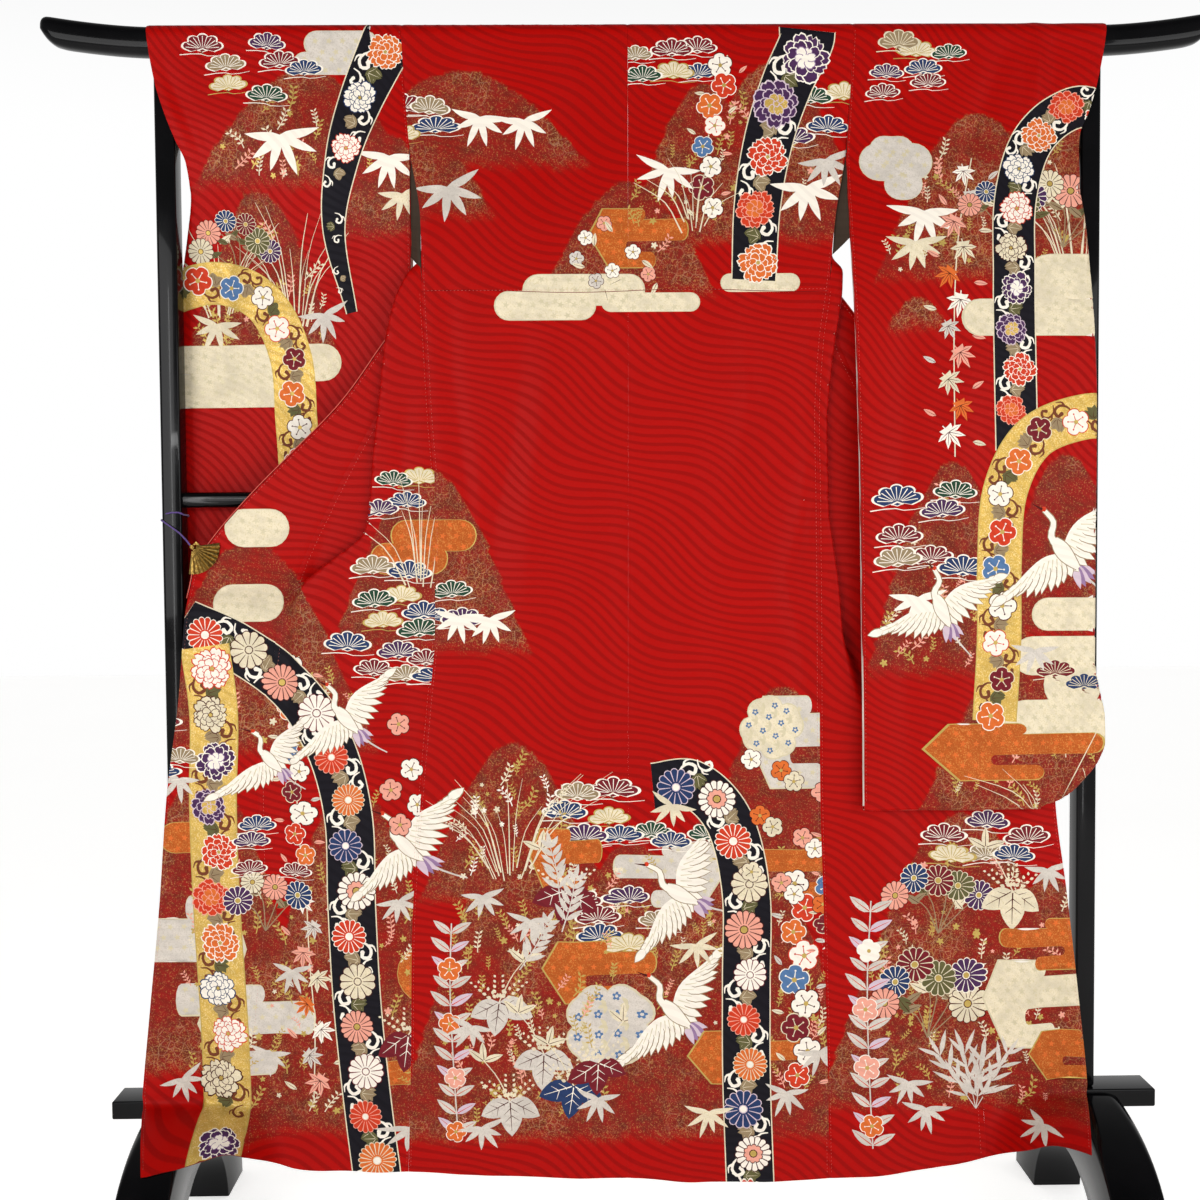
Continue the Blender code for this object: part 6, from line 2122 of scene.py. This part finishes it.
# Soft troughs and ridges where the hanging cloth swings in and out, uneven as it hangs: a line,
# how wide and how deep
SOFT_FOLDS = {
    ("body_left", "back"): (
        ([(-0.149, 1.325), (-0.171, 1.14), (-0.196, 1.034), (-0.203, 0.815)], 0.018, -0.0046),
        ([(-0.103, 1.297), (-0.14, 1.082), (-0.154, 0.84)], 0.02, 0.0036),
        ([(-0.254, 1.38), (-0.251, 1.24), (-0.231, 1.068), (-0.229, 0.84)], 0.013, -0.0036),
        ([(-0.214, 0.725), (-0.237, 0.468), (-0.231, 0.068)], 0.018, -0.0042),
        ([(-0.094, 0.754), (-0.086, 0.468), (-0.077, 0.068)], 0.022, 0.0036),
        ([(-0.034, 1.154), (-0.04, 0.868), (-0.031, 0.525)], 0.016, -0.0024),
        ([(-0.094, 1.711), (-0.109, 1.582), (-0.117, 1.44)], 0.02, -0.0024),
        ([(-0.226, 1.711), (-0.237, 1.597), (-0.263, 1.454)], 0.017, -0.0032),
    ),
    ("body_left", "front"): (
        ([(-0.323, 0.84), (-0.337, 0.54), (-0.323, 0.082)], 0.018, -0.0042),
        ([(-0.443, 0.84), (-0.46, 0.525), (-0.451, 0.082)], 0.018, 0.0036),
        ([(-0.404, 1.14), (-0.443, 1.011), (-0.469, 0.911)], 0.013, -0.003),
    ),
    ("body_left", "near"): (
        ([(-0.311, 1.211), (-0.326, 1.082), (-0.32, 0.954)], 0.01, -0.0026),
    ),
    ("body_left", "far"): (
        ([(-0.12, 1.6), (-0.14, 1.3), (-0.16, 1.0)], 0.02, -0.003),
    ),
    ("body_right", "back"): (
        ([(0.251, 1.325), (0.263, 1.144), (0.217, 0.961), (0.254, 0.768)], 0.016, -0.0046),
        ([(0.157, 1.34), (0.166, 1.211), (0.143, 1.082)], 0.017, -0.0036),
        ([(0.089, 1.282), (0.077, 1.011), (0.086, 0.725)], 0.03, 0.0034),
        ([(0.094, 0.725), (0.109, 0.468), (0.1, 0.068)], 0.018, -0.004),
        ([(0.246, 0.668), (0.234, 0.397), (0.246, 0.068)], 0.022, 0.0036),
        ([(0.097, 1.697), (0.089, 1.554), (0.106, 1.397)], 0.018, -0.0026),
        ([(0.231, 1.697), (0.246, 1.554), (0.28, 1.425)], 0.014, -0.003),
    ),
    ("body_right", "front"): (
        ([(0.403, 0.568), (0.414, 0.325), (0.426, 0.097)], 0.018, -0.004),
        ([(0.357, 0.568), (0.366, 0.325), (0.371, 0.097)], 0.014, 0.003),
    ),
    ("body_right", "far"): (
        ([(0.12, 1.6), (0.15, 1.3), (0.17, 1.0)], 0.02, -0.003),
    ),
    ("okumi_left", "all"): (
        ([(-0.566, 0.84), (-0.574, 0.468), (-0.563, 0.082)], 0.02, 0.0034),
        ([(-0.489, 1.082), (-0.531, 0.954), (-0.566, 0.84)], 0.013, -0.0028),
        ([(-0.626, 0.754), (-0.631, 0.468), (-0.623, 0.082)], 0.014, -0.0034),
    ),
    ("okumi_right", "all"): (
        ([(0.531, 0.568), (0.551, 0.325), (0.569, 0.097)], 0.018, 0.0034),
        ([(0.589, 0.568), (0.617, 0.325), (0.634, 0.097)], 0.014, -0.0032),
    ),
    ("sleeve_left", "back"): (
        ([(-0.677, 1.668), (-0.651, 1.614), (-0.623, 1.548)], 0.009, 0.0046),
        ([(-0.651, 1.68), (-0.623, 1.617), (-0.591, 1.54)], 0.01, -0.0036),
        ([(-0.54, 1.611), (-0.574, 1.397), (-0.591, 1.168)], 0.02, -0.0046),
        ([(-0.357, 1.668), (-0.394, 1.468), (-0.423, 1.268)], 0.016, -0.0034),
        ([(-0.469, 1.625), (-0.489, 1.411), (-0.511, 1.14)], 0.022, 0.0036),
        ([(-0.606, 1.182), (-0.58, 1.011), (-0.571, 0.754)], 0.015, -0.0034),
    ),
    ("sleeve_left", "far"): (
        ([(-0.42, 1.6), (-0.44, 1.2), (-0.43, 0.72)], 0.022, -0.004),
        ([(-0.54, 1.55), (-0.55, 1.15), (-0.54, 0.72)], 0.02, 0.0034),
    ),
    ("sleeve_right", "back"): (
        ([(0.597, 1.731), (0.594, 1.674), (0.59, 1.614), (0.58, 1.54)], 0.014, -0.0026),
        ([(0.57, 1.731), (0.573, 1.668), (0.566, 1.594)], 0.01, 0.0042),
        ([(0.531, 1.711), (0.486, 1.582), (0.437, 1.411)], 0.016, -0.0034),
        ([(0.386, 1.34), (0.371, 1.04), (0.386, 0.625)], 0.02, -0.0042),
        ([(0.46, 1.297), (0.451, 0.954), (0.463, 0.611)], 0.024, 0.004),
        ([(0.597, 1.097), (0.58, 0.868), (0.589, 0.64)], 0.018, -0.0034),
        ([(0.654, 1.554), (0.64, 1.325), (0.657, 1.082)], 0.014, -0.0032),
        ([(0.374, 1.668), (0.366, 1.554), (0.343, 1.44)], 0.012, -0.0028),
    ),
    ("sleeve_right", "far"): (
        ([(0.42, 1.6), (0.44, 1.2), (0.43, 0.72)], 0.022, -0.004),
        ([(0.56, 1.5), (0.55, 1.15), (0.56, 0.72)], 0.02, 0.0034),
    ),
}


def draw_picture(cloths):
    """Lays every motif on its cloth."""
    draw_shoulders(cloths["body_left"], cloths["body_right"])
    for word, side, draw in (("left", -1, draw_left_sleeve), ("right", 1, draw_right_sleeve)):
        use(cloths["sleeve_" + word], "back")
        draw()
        use(cloths["sleeve_" + word], "far")
        draw_far_sleeve(side)
    draw_back_hem(cloths["body_left"], cloths["body_right"])
    draw_left_hem(cloths["body_left"], cloths["okumi_left"])
    draw_right_hem(cloths["body_right"], cloths["okumi_right"])
    for key in ("body_left", "body_right"):
        tuck = [(x, 1.357 + 0.002 * math.sin(x * 20)) for x in np.linspace(-0.32, 0.32, 30)]
        use(cloths[key], "back")
        # A thin darker red line along the sewn tuck: painted shade along its fold
        area("seam", stroke(tuck, 0.0009))
    for (key, view), folds in SOFT_FOLDS.items():
        cloths[key].creases += [(view, *fold) for fold in folds]


# The stand and the clip


def solid(name, node, rings, material, smooth):
    """A closed skin through rings of points."""
    shape = bmesh.new()
    made = [[shape.verts.new(point) for point in ring] for ring in rings]
    count = len(rings[0])
    for ring, after in zip(made, made[1:]):
        for j in range(count):
            k = (j + 1) % count
            shape.faces.new((ring[j], ring[k], after[k], after[j]))
    for end in (made[0], made[-1]):
        shape.faces.new(end)
    bmesh.ops.recalc_face_normals(shape, faces=shape.faces)
    return piece_of(name, node, mesh_of(name, shape), material, smooth)


def mesh_of(name, shape):
    mesh = bpy.data.meshes.new(name)
    shape.to_mesh(mesh)
    shape.free()
    return mesh


def finish(mesh, material, smooth):
    """One look all over, smooth but for edges sharper than so many degrees."""
    mesh.materials.clear()
    mesh.materials.append(material)
    mesh.shade_smooth()
    mesh.set_sharp_from_angle(angle=math.radians(smooth))


def worked_out(item):
    """The mesh that an object's modifiers make of it."""
    graph = bpy.context.evaluated_depsgraph_get()
    return bpy.data.meshes.new_from_object(item.evaluated_get(graph))


def piece_of(name, node, mesh, material, smooth):
    finish(mesh, material, smooth)
    piece = new_object(name, mesh)
    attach(piece, "root")
    if node:
        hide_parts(node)
    return piece


def rounded_block(name, node, low, high, material, edge):
    """A squared bar with rounded edges."""
    shape = bmesh.new()
    bmesh.ops.create_cube(shape, size=1.0)
    size = [b - a for a, b in zip(low, high)]
    bmesh.ops.scale(shape, vec=size, verts=shape.verts)
    bmesh.ops.translate(shape, vec=[(a + b) / 2 for a, b in zip(low, high)], verts=shape.verts)
    bmesh.ops.bevel(shape, geom=shape.edges[:], offset=edge, segments=5, profile=0.5, affect="EDGES")
    return piece_of(name, node, mesh_of(name, shape), material, 40)


def rail_section(across, middle, half_height, half_depth, count=40):
    ring = []
    for k in range(count):
        turn = math.tau * k / count
        c, s = math.cos(turn), math.sin(turn)
        y = half_depth * math.copysign(abs(c) ** (2 / RAIL_SQUARENESS), c)
        z = middle + half_height * math.copysign(abs(s) ** (2 / RAIL_SQUARENESS), s)
        ring.append((across, y, z))
    return ring


def top_rail(material):
    rings = []
    reach = np.concatenate([np.linspace(0, 0.66, 12), np.linspace(0.675, 0.8, 14),
        [0.806, 0.811, 0.8145, 0.817, 0.819, RAIL_HALF]])
    for x in np.concatenate([-reach[:0:-1], reach]):
        past = max(0.0, abs(x) - RAIL_RISE_FROM)
        rise = RAIL_RISE * (past / (RAIL_HALF - RAIL_RISE_FROM)) ** 1.6
        end = max(0.0, (abs(x) - 0.808) / 0.012)
        shrink = 1.0 - 0.45 * (1 - math.sqrt(max(0.0, 1 - end * end)))
        ring = rail_section(x, RAIL_Z + rise, RAIL_HALF_HEIGHT * shrink, RAIL_HALF_DEPTH * shrink)
        slant = RAIL_TIP_SLANT * float(ease(abs(x), 0.78, RAIL_HALF))
        leaned = []
        for px, py, pz in ring:
            under = max(0.0, (RAIL_Z + rise - pz) / RAIL_HALF_HEIGHT)
            leaned.append((px - math.copysign(slant * under, x), py, pz))
        rings.append(leaned)
    solid("rail_top", "stand_top_rail", rings, material, smooth=50)


def foot_ring(share, side):
    """A section across the foot: its outer, floor-reaching arc and its hollow under it."""
    outer_end = math.acos(-FOOT_CENTRE_Z / FOOT_RADIUS)
    inner_end = math.acos(-FOOT_CENTRE_Z / FOOT_HOLLOW)
    a, b = share * outer_end, share * inner_end
    top = (-FOOT_RADIUS * math.sin(a), FOOT_CENTRE_Z + FOOT_RADIUS * math.cos(a))
    under = (-FOOT_HOLLOW * math.sin(b), FOOT_CENTRE_Z + FOOT_HOLLOW * math.cos(b))
    if abs(share) == 1.0:
        top, under = (top[0], 0.0), (under[0], 0.0)
    length = math.dist(top, under)
    down = ((under[0] - top[0]) / length, (under[1] - top[1]) / length)
    curl = float(blend(FOOT_CROWN_ROUND, FOOT_TOE_ROUND, ease(abs(share), 0.1, 0.62)))
    low, high = FOOT_IN, FOOT_OUT
    corner = []
    for turn in np.linspace(0, math.pi / 2, 9):
        corner.append((low + curl * (1 - math.cos(turn)), curl * (1 - math.sin(turn))))
    outline = corner + [(low + high - x, d) for x, d in reversed(corner)]
    outline += [(high, length - 0.002), (high - 0.0006, length - 0.0006), (high - 0.002, length)]
    outline += [(low + 0.002, length), (low + 0.0006, length - 0.0006), (low, length - 0.002)]
    return [(side * x, top[0] + down[0] * d, top[1] + down[1] * d) for x, d in outline]


def foot(name, node, side, material):
    """An arched foot, notched for the plank that joins the two."""
    rings = [foot_ring(share, side) for share in np.linspace(-1, 1, 49)]
    body = solid(name, node, rings, material, smooth=35)
    half = LOWER_RAIL_DEPTH / 2 + SEAM_GAP
    bottom = LOWER_RAIL_TOP - LOWER_RAIL_HEIGHT - SEAM_GAP
    ends = sorted((side * 0.6, side * 0.72))
    mesh = bpy.data.meshes.new("notch")
    corners = [(x, y, z) for x in ends for y in (-half, half) for z in (bottom, 0.25)]
    mesh.from_pydata(corners, [], [(0, 1, 3, 2), (4, 6, 7, 5), (0, 4, 5, 1), (2, 3, 7, 6), (0, 2, 6, 4),
        (1, 5, 7, 3)])
    notch = new_object("notch", mesh)
    cut_out = body.modifiers.new("Notch", "BOOLEAN")
    cut_out.operation, cut_out.object, cut_out.solver = "DIFFERENCE", notch, "EXACT"
    cut_mesh = worked_out(body)
    body.modifiers.clear()
    body.data = cut_mesh
    bpy.data.objects.remove(notch)
    finish(cut_mesh, material, 35)


def make_stand():
    material = lacquer()
    top_rail(material)
    half = POST_DEPTH / 2
    top = RAIL_Z - RAIL_HALF_HEIGHT - SEAM_GAP
    for word, side in (("left", -1), ("right", 1)):
        ends = sorted((side * (POST_OUT - POST_WIDTH), side * POST_OUT))
        rounded_block("post_" + word, "stand_post_" + word, (ends[0], -half, LOWER_RAIL_TOP + SEAM_GAP),
            (ends[1], half, top), material, 0.0042)
        foot("foot_" + word, "stand_foot_" + word, side, material)
    reach = POST_OUT - POST_WIDTH - SEAM_GAP
    rings = [rail_section(x, MIDDLE_RAIL_Z, MIDDLE_RAIL_HEIGHT / 2, MIDDLE_RAIL_HEIGHT / 2, 32)
        for x in np.linspace(-reach, reach, 9)]
    solid("rail_middle", "stand_middle_rail", rings, material, smooth=50)
    rounded_block("plank", "stand_lower_rail", (-LOWER_RAIL_HALF, -LOWER_RAIL_DEPTH / 2,
        LOWER_RAIL_TOP - LOWER_RAIL_HEIGHT), (LOWER_RAIL_HALF, LOWER_RAIL_DEPTH / 2, LOWER_RAIL_TOP),
        material, 0.0028)


def cord_line():
    """The clip's cord: up from the pin to the post, once round it and back to its own start."""
    half_x, half_y, corner = POST_WIDTH / 2 + 0.0014, POST_DEPTH / 2 + 0.0014, 0.0056
    middle = -(POST_OUT - POST_WIDTH / 2)
    lead = curve([CORD_START, (-0.6262, -0.0284, 1.015), (-0.636, -0.0252, 1.0245), (-0.648, -0.0215, 1.033),
        (middle - half_x + corner, -half_y, 1.04)], 24)
    points = [tuple(p) for p in lead]
    turns = [(-1, -1, 180, 270), (-1, 1, 90, 180), (1, 1, 0, 90), (1, -1, -90, 0)]
    for k, (sx, sy, low, high) in enumerate(turns):
        for s in range(7):
            a = math.radians(high - (high - low) * s / 6) if k else math.radians(270 - 90 * s / 6)
            points.append((middle + sx * (half_x - corner) + corner * math.cos(a),
                sy * (half_y - corner) + corner * math.sin(a), 0.0))
    fixed = points[: len(lead)]
    rest = points[len(lead) :]
    for n, (x, y, _) in enumerate(rest):
        fixed.append((x, y, 1.0402 + 0.0135 * (n + 1) / len(rest)))
    fixed.append((middle, -half_y - 0.0012, 1.0535))
    fixed.append((middle - 0.007, -half_y - 0.003, 1.052))
    return fixed


def make_cord():
    path = [tuple(map(float, p)) for p in cord_line()]
    count, rings = 12, []
    places = np.array(path)
    run = np.gradient(places, axis=0)
    run /= np.linalg.norm(run, axis=1)[:, None]
    side = np.cross(run[0], (0.0, 0.3, 1.0))
    side /= np.linalg.norm(side)
    for k, (place, way) in enumerate(zip(places, run)):
        side = side - way * (side @ way)
        side /= np.linalg.norm(side)
        other = np.cross(way, side)
        radius = CORD_WIDTH / 2 * (1.0 if 0 < k < len(places) - 1 else 0.8)
        angles = np.linspace(0, math.tau, count, endpoint=False)
        rings.append([tuple(place + radius * (math.cos(a) * side + math.sin(a) * other)) for a in angles])
    cord = solid("cord_of_clip", "clip_cord", rings, cord_silk(), smooth=70)
    lengths = np.concatenate([[0], np.cumsum(np.linalg.norm(np.diff(places, axis=0), axis=1))])
    uv = cord.data.uv_layers.new(name="weave")
    for polygon in cord.data.polygons:
        for loop in polygon.loop_indices:
            vertex = cord.data.loops[loop].vertex_index
            uv.data[loop].uv = ((vertex % count) / count, lengths[vertex // count] * 140)


def plate(name, node, rows, material, smooth):
    """A thin plate through rows of points."""
    rows = np.array(rows)
    wide = rows.shape[1]
    faces = [(i * wide + j, i * wide + j + 1, (i + 1) * wide + j + 1, (i + 1) * wide + j)
        for i in range(len(rows) - 1) for j in range(wide - 1)]
    mesh = bpy.data.meshes.new(name)
    mesh.from_pydata(rows.reshape(-1, 3).tolist(), [], faces)
    blank = new_object("blank", mesh)
    wall = blank.modifiers.new("Wall", "SOLIDIFY")
    wall.thickness, wall.offset = CLIP_SHEET, 0.0
    made = worked_out(blank)
    bpy.data.objects.remove(blank)
    shape = bmesh.new()
    shape.from_mesh(made)
    bmesh.ops.recalc_face_normals(shape, faces=shape.faces)
    shape.to_mesh(made)
    shape.free()
    return piece_of(name, node, made, material, smooth)


def make_clip():
    material = brass()
    depths = [float(front_seam(-1, level)[1]) for level in (0.965, 0.985, 1.02)]
    wall = 0.0008 + SEAM_GAP + CLIP_SHEET / 2
    near = min(depths) - wall - CLIP_PLEAT + CLIP_SEAT
    far = max(depths) + COLLAR_BACK + wall
    px, pz = CLIP_PIVOT
    rows = []
    for radius in np.linspace(CLIP_INNER, CLIP_OUTER, 9):
        row = []
        count = 8 * CLIP_RIBS
        for k in range(count + 1):
            turn = math.radians(float(blend(CLIP_FROM, CLIP_TO, k / count)))
            fold = abs((k / 4) % 2 - 1) * 2 - 1
            pleat = CLIP_PLEAT * fold * radius / CLIP_OUTER
            scallop = 0.0006 * (1 - abs(fold)) * (radius > CLIP_OUTER - 0.001)
            reach = radius + scallop
            row.append((px + reach * math.cos(turn), near + pleat, pz + reach * math.sin(turn)))
        rows.append(row)
    plate("fan_of_clip", "clip_fan", rows, material, 20)
    ends = (near - CLIP_PLEAT - 0.001, far - CLIP_SHEET / 2 - SEAM_GAP)
    rings = []
    for y, radius in ((ends[0], 0.0016), (ends[0] + 0.0005, 0.003), (ends[0] + 0.0012, CLIP_PIN),
            (ends[1], CLIP_PIN)):
        rings.append([(px + radius * math.cos(a), y, pz + radius * math.sin(a))
            for a in np.linspace(0, math.tau, 24, endpoint=False)])
    solid("pin_of_clip", "clip_pin", rings, material, smooth=40)
    rows = []
    middle = math.radians(-45)
    for radius in (-0.005, 0.0035, 0.012, 0.019, 0.026):
        row = []
        for degrees in (-20, -32, -45, -58, -70):
            turn = math.radians(degrees)
            if radius < 0.004:
                across = 0.006 * (degrees + 45) / 25
                x = radius * math.cos(middle) - across * math.sin(middle)
                z = radius * math.sin(middle) + across * math.cos(middle)
            else:
                x, z = radius * math.cos(turn), radius * math.sin(turn)
            row.append((px + x, far, pz + z))
        rows.append(row)
    plate("jaw_of_clip", "clip_jaw", rows, material, 30)


# Stitches: their distance apart, length and thickness
STITCH_STEP, STITCH_LONG, STITCH_THICK = 0.0052, 0.0012, 0.0002


def stitch_nodes(material):
    """Small stitches set along a line, each a little uneven."""
    tree = bpy.data.node_groups.new("stitches", "GeometryNodeTree")
    face = tree.interface
    face.new_socket("Geometry", in_out="INPUT", socket_type="NodeSocketGeometry")
    face.new_socket("Geometry", in_out="OUTPUT", socket_type="NodeSocketGeometry")

    def new(kind, **settings):
        node = tree.nodes.new(kind)
        for key, value in settings.items():
            setattr(node, key, value)
        return node

    given, made = new("NodeGroupInput"), new("NodeGroupOutput")
    line = new("GeometryNodeMeshToCurve")
    points = new("GeometryNodeCurveToPoints", mode="LENGTH")
    points.inputs["Length"].default_value = STITCH_STEP
    ball = new("GeometryNodeMeshUVSphere")
    ball.inputs["Segments"].default_value = 5
    ball.inputs["Rings"].default_value = 3
    size = new("ShaderNodeCombineXYZ")
    size.inputs[0].default_value = size.inputs[1].default_value = STITCH_THICK
    half = new("ShaderNodeMath", operation="MULTIPLY")
    half.inputs[0].default_value = STITCH_LONG
    uneven = new("FunctionNodeRandomValue", data_type="FLOAT")
    uneven.inputs[2].default_value, uneven.inputs[3].default_value = 0.75, 1.15
    uneven.inputs["Seed"].default_value = 4
    place = new("GeometryNodeInstanceOnPoints")
    real, dye = new("GeometryNodeRealizeInstances"), new("GeometryNodeSetMaterial")
    dye.inputs["Material"].default_value = material
    for source, out, node, into in ((given, "Geometry", line, "Mesh"), (line, "Curve", points, "Curve"),
            (uneven, 1, half, 1), (half, 0, size, 2), (points, "Points", place, "Points"),
            (ball, "Mesh", place, "Instance"), (points, "Rotation", place, "Rotation"),
            (size, 0, place, "Scale"), (place, "Instances", real, "Geometry"),
            (real, "Geometry", dye, "Geometry"), (dye, "Geometry", made, "Geometry")):
        tree.links.new(source.outputs[out], node.inputs[into])
    return tree


def stitch(name, tree, lines):
    """A row of stitches along each line, which lies on the face of a sheet."""
    points, edges = [], []
    for line in lines:
        edges += [(len(points) + k, len(points) + k + 1) for k in range(len(line) - 1)]
        points += [tuple(p) for p in line]
    mesh = bpy.data.meshes.new(name)
    mesh.from_pydata(points, edges, [])
    guide = new_object("guide", mesh)
    guide.modifiers.new("Stitches", "NODES").node_group = tree
    made = worked_out(guide)
    bpy.data.objects.remove(guide)
    piece = new_object(name, made)
    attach(piece, "root")
    return piece


def on_sheet(cloth, u, v):
    """Places just proud of the sheet's outer face."""
    u, v = np.broadcast_arrays(np.asarray(u, float), np.asarray(v, float))
    where, normal = cloth.at(u, v), cloth.normal(u, v)
    raised = cloth.lift(u, v, where, normal)
    return where + normal * (raised + WALL / 2 + 0.00018)[:, None]


def thread():
    material, shader = new_material("sewing_thread")
    place = add("TexCoord").outputs["Object"]
    twist = noise(place, 1500.0, 2.0, 0.6)
    tone = mix(band(twist, 0.35, 0.65), linear("d88478"), linear("a8403a"))
    fill(shader, base_color=tone, roughness=0.55, sheen_weight=0.2)
    return material


# Making it all

set_camera()
make_cord()
set_light()
DYE_MATERIALS = {name: silk("dye_" + name, shade, **settings) for name, (shade, settings) in SILKS.items()}
cloths = {}
for word, side in (("left", -1), ("right", 1)):
    grid, turn_row = body_grid(side)
    cloths["body_" + word] = Cloth("body_" + word, grid, turn_row)
    cloths["okumi_" + word] = Cloth("okumi_" + word, okumi_grid(side))
    grid, turn_row = sleeve_grid(side)
    cloths["sleeve_" + word] = Cloth("sleeve_" + word, grid, turn_row)
    cloths["lining_" + word] = Cloth("lining_" + word, sleeve_lining_grid(side))
cloths["collar"] = Cloth("collar", collar_grid(), facing=1)
draw_picture(cloths)

sewing = stitch_nodes(thread())
for word, side in (("left", -1), ("right", 1)):
    cloth = cloths["body_" + word]
    fall = cloth.v[cloth.turn_row]
    up, down = span(0.01, fall - 0.34, 0.01), span(cloth.length - 0.01, fall + 0.4, 0.01)
    tuck = cloth.find("back", [(centre_x(1.357) + (0.002 + k * 0.004) * side, 1.3585) for k in range(70)])
    keep = (tuck[0] > 0.004) & (tuck[0] < cloth.width(tuck[1]) - 0.004)
    rows = [on_sheet(cloth, 0.0032, up), on_sheet(cloth, 0.0032, down),
        on_sheet(cloth, tuck[0][keep], tuck[1][keep]), on_sheet(cloth, cloth.width(down) - 0.0075, down)]
    sewn_body = stitch("stitches_body_" + word, sewing, rows)
    cloth = cloths["sleeve_" + word]
    edge = span(0.02, cloth.v[cloth.turn_row], 0.01)
    sewn_sleeve = stitch("stitches_sleeve_" + word, sewing, [on_sheet(cloth, 0.003, edge)])
    cloth = cloths["okumi_" + word]
    edge = span(0.01, cloth.length - 0.05, 0.01)
    sewn_okumi = stitch("stitches_okumi_" + word, sewing, [on_sheet(cloth, cloth.width(edge) - 0.004, edge)])
    # The body and gores take the darker seam red on their turned edges, as painted shade in the seam gaps
    body = sew(cloths["body_" + word], "cloth_body_" + word, "body_" + word, edge="seam")
    okumi = sew(cloths["okumi_" + word], "cloth_okumi_" + word, "okumi_" + word, edge="seam")
    sleeve = sew(cloths["sleeve_" + word], "cloth_sleeve_" + word, "sleeve_" + word)
    strip = sew(cloths["lining_" + word], "edge_of_sleeve_lining_" + word, "sleeve_lining_" + word, "lining",
        "lining", "lining", wall=LINING_WALL)
    # The pale lining seen through the armhole, dyed dark grey-brown as painted shade
    inside = sew(Cloth("armhole", armhole_grid(side)), "armhole_lining_painted_shade_" + word, None, "shade", "shade",
        "shade", picture=False, wall=LINING_WALL)
collar = sew(cloths["collar"], "cloth_collar", "collar")
make_stand()
make_clip()
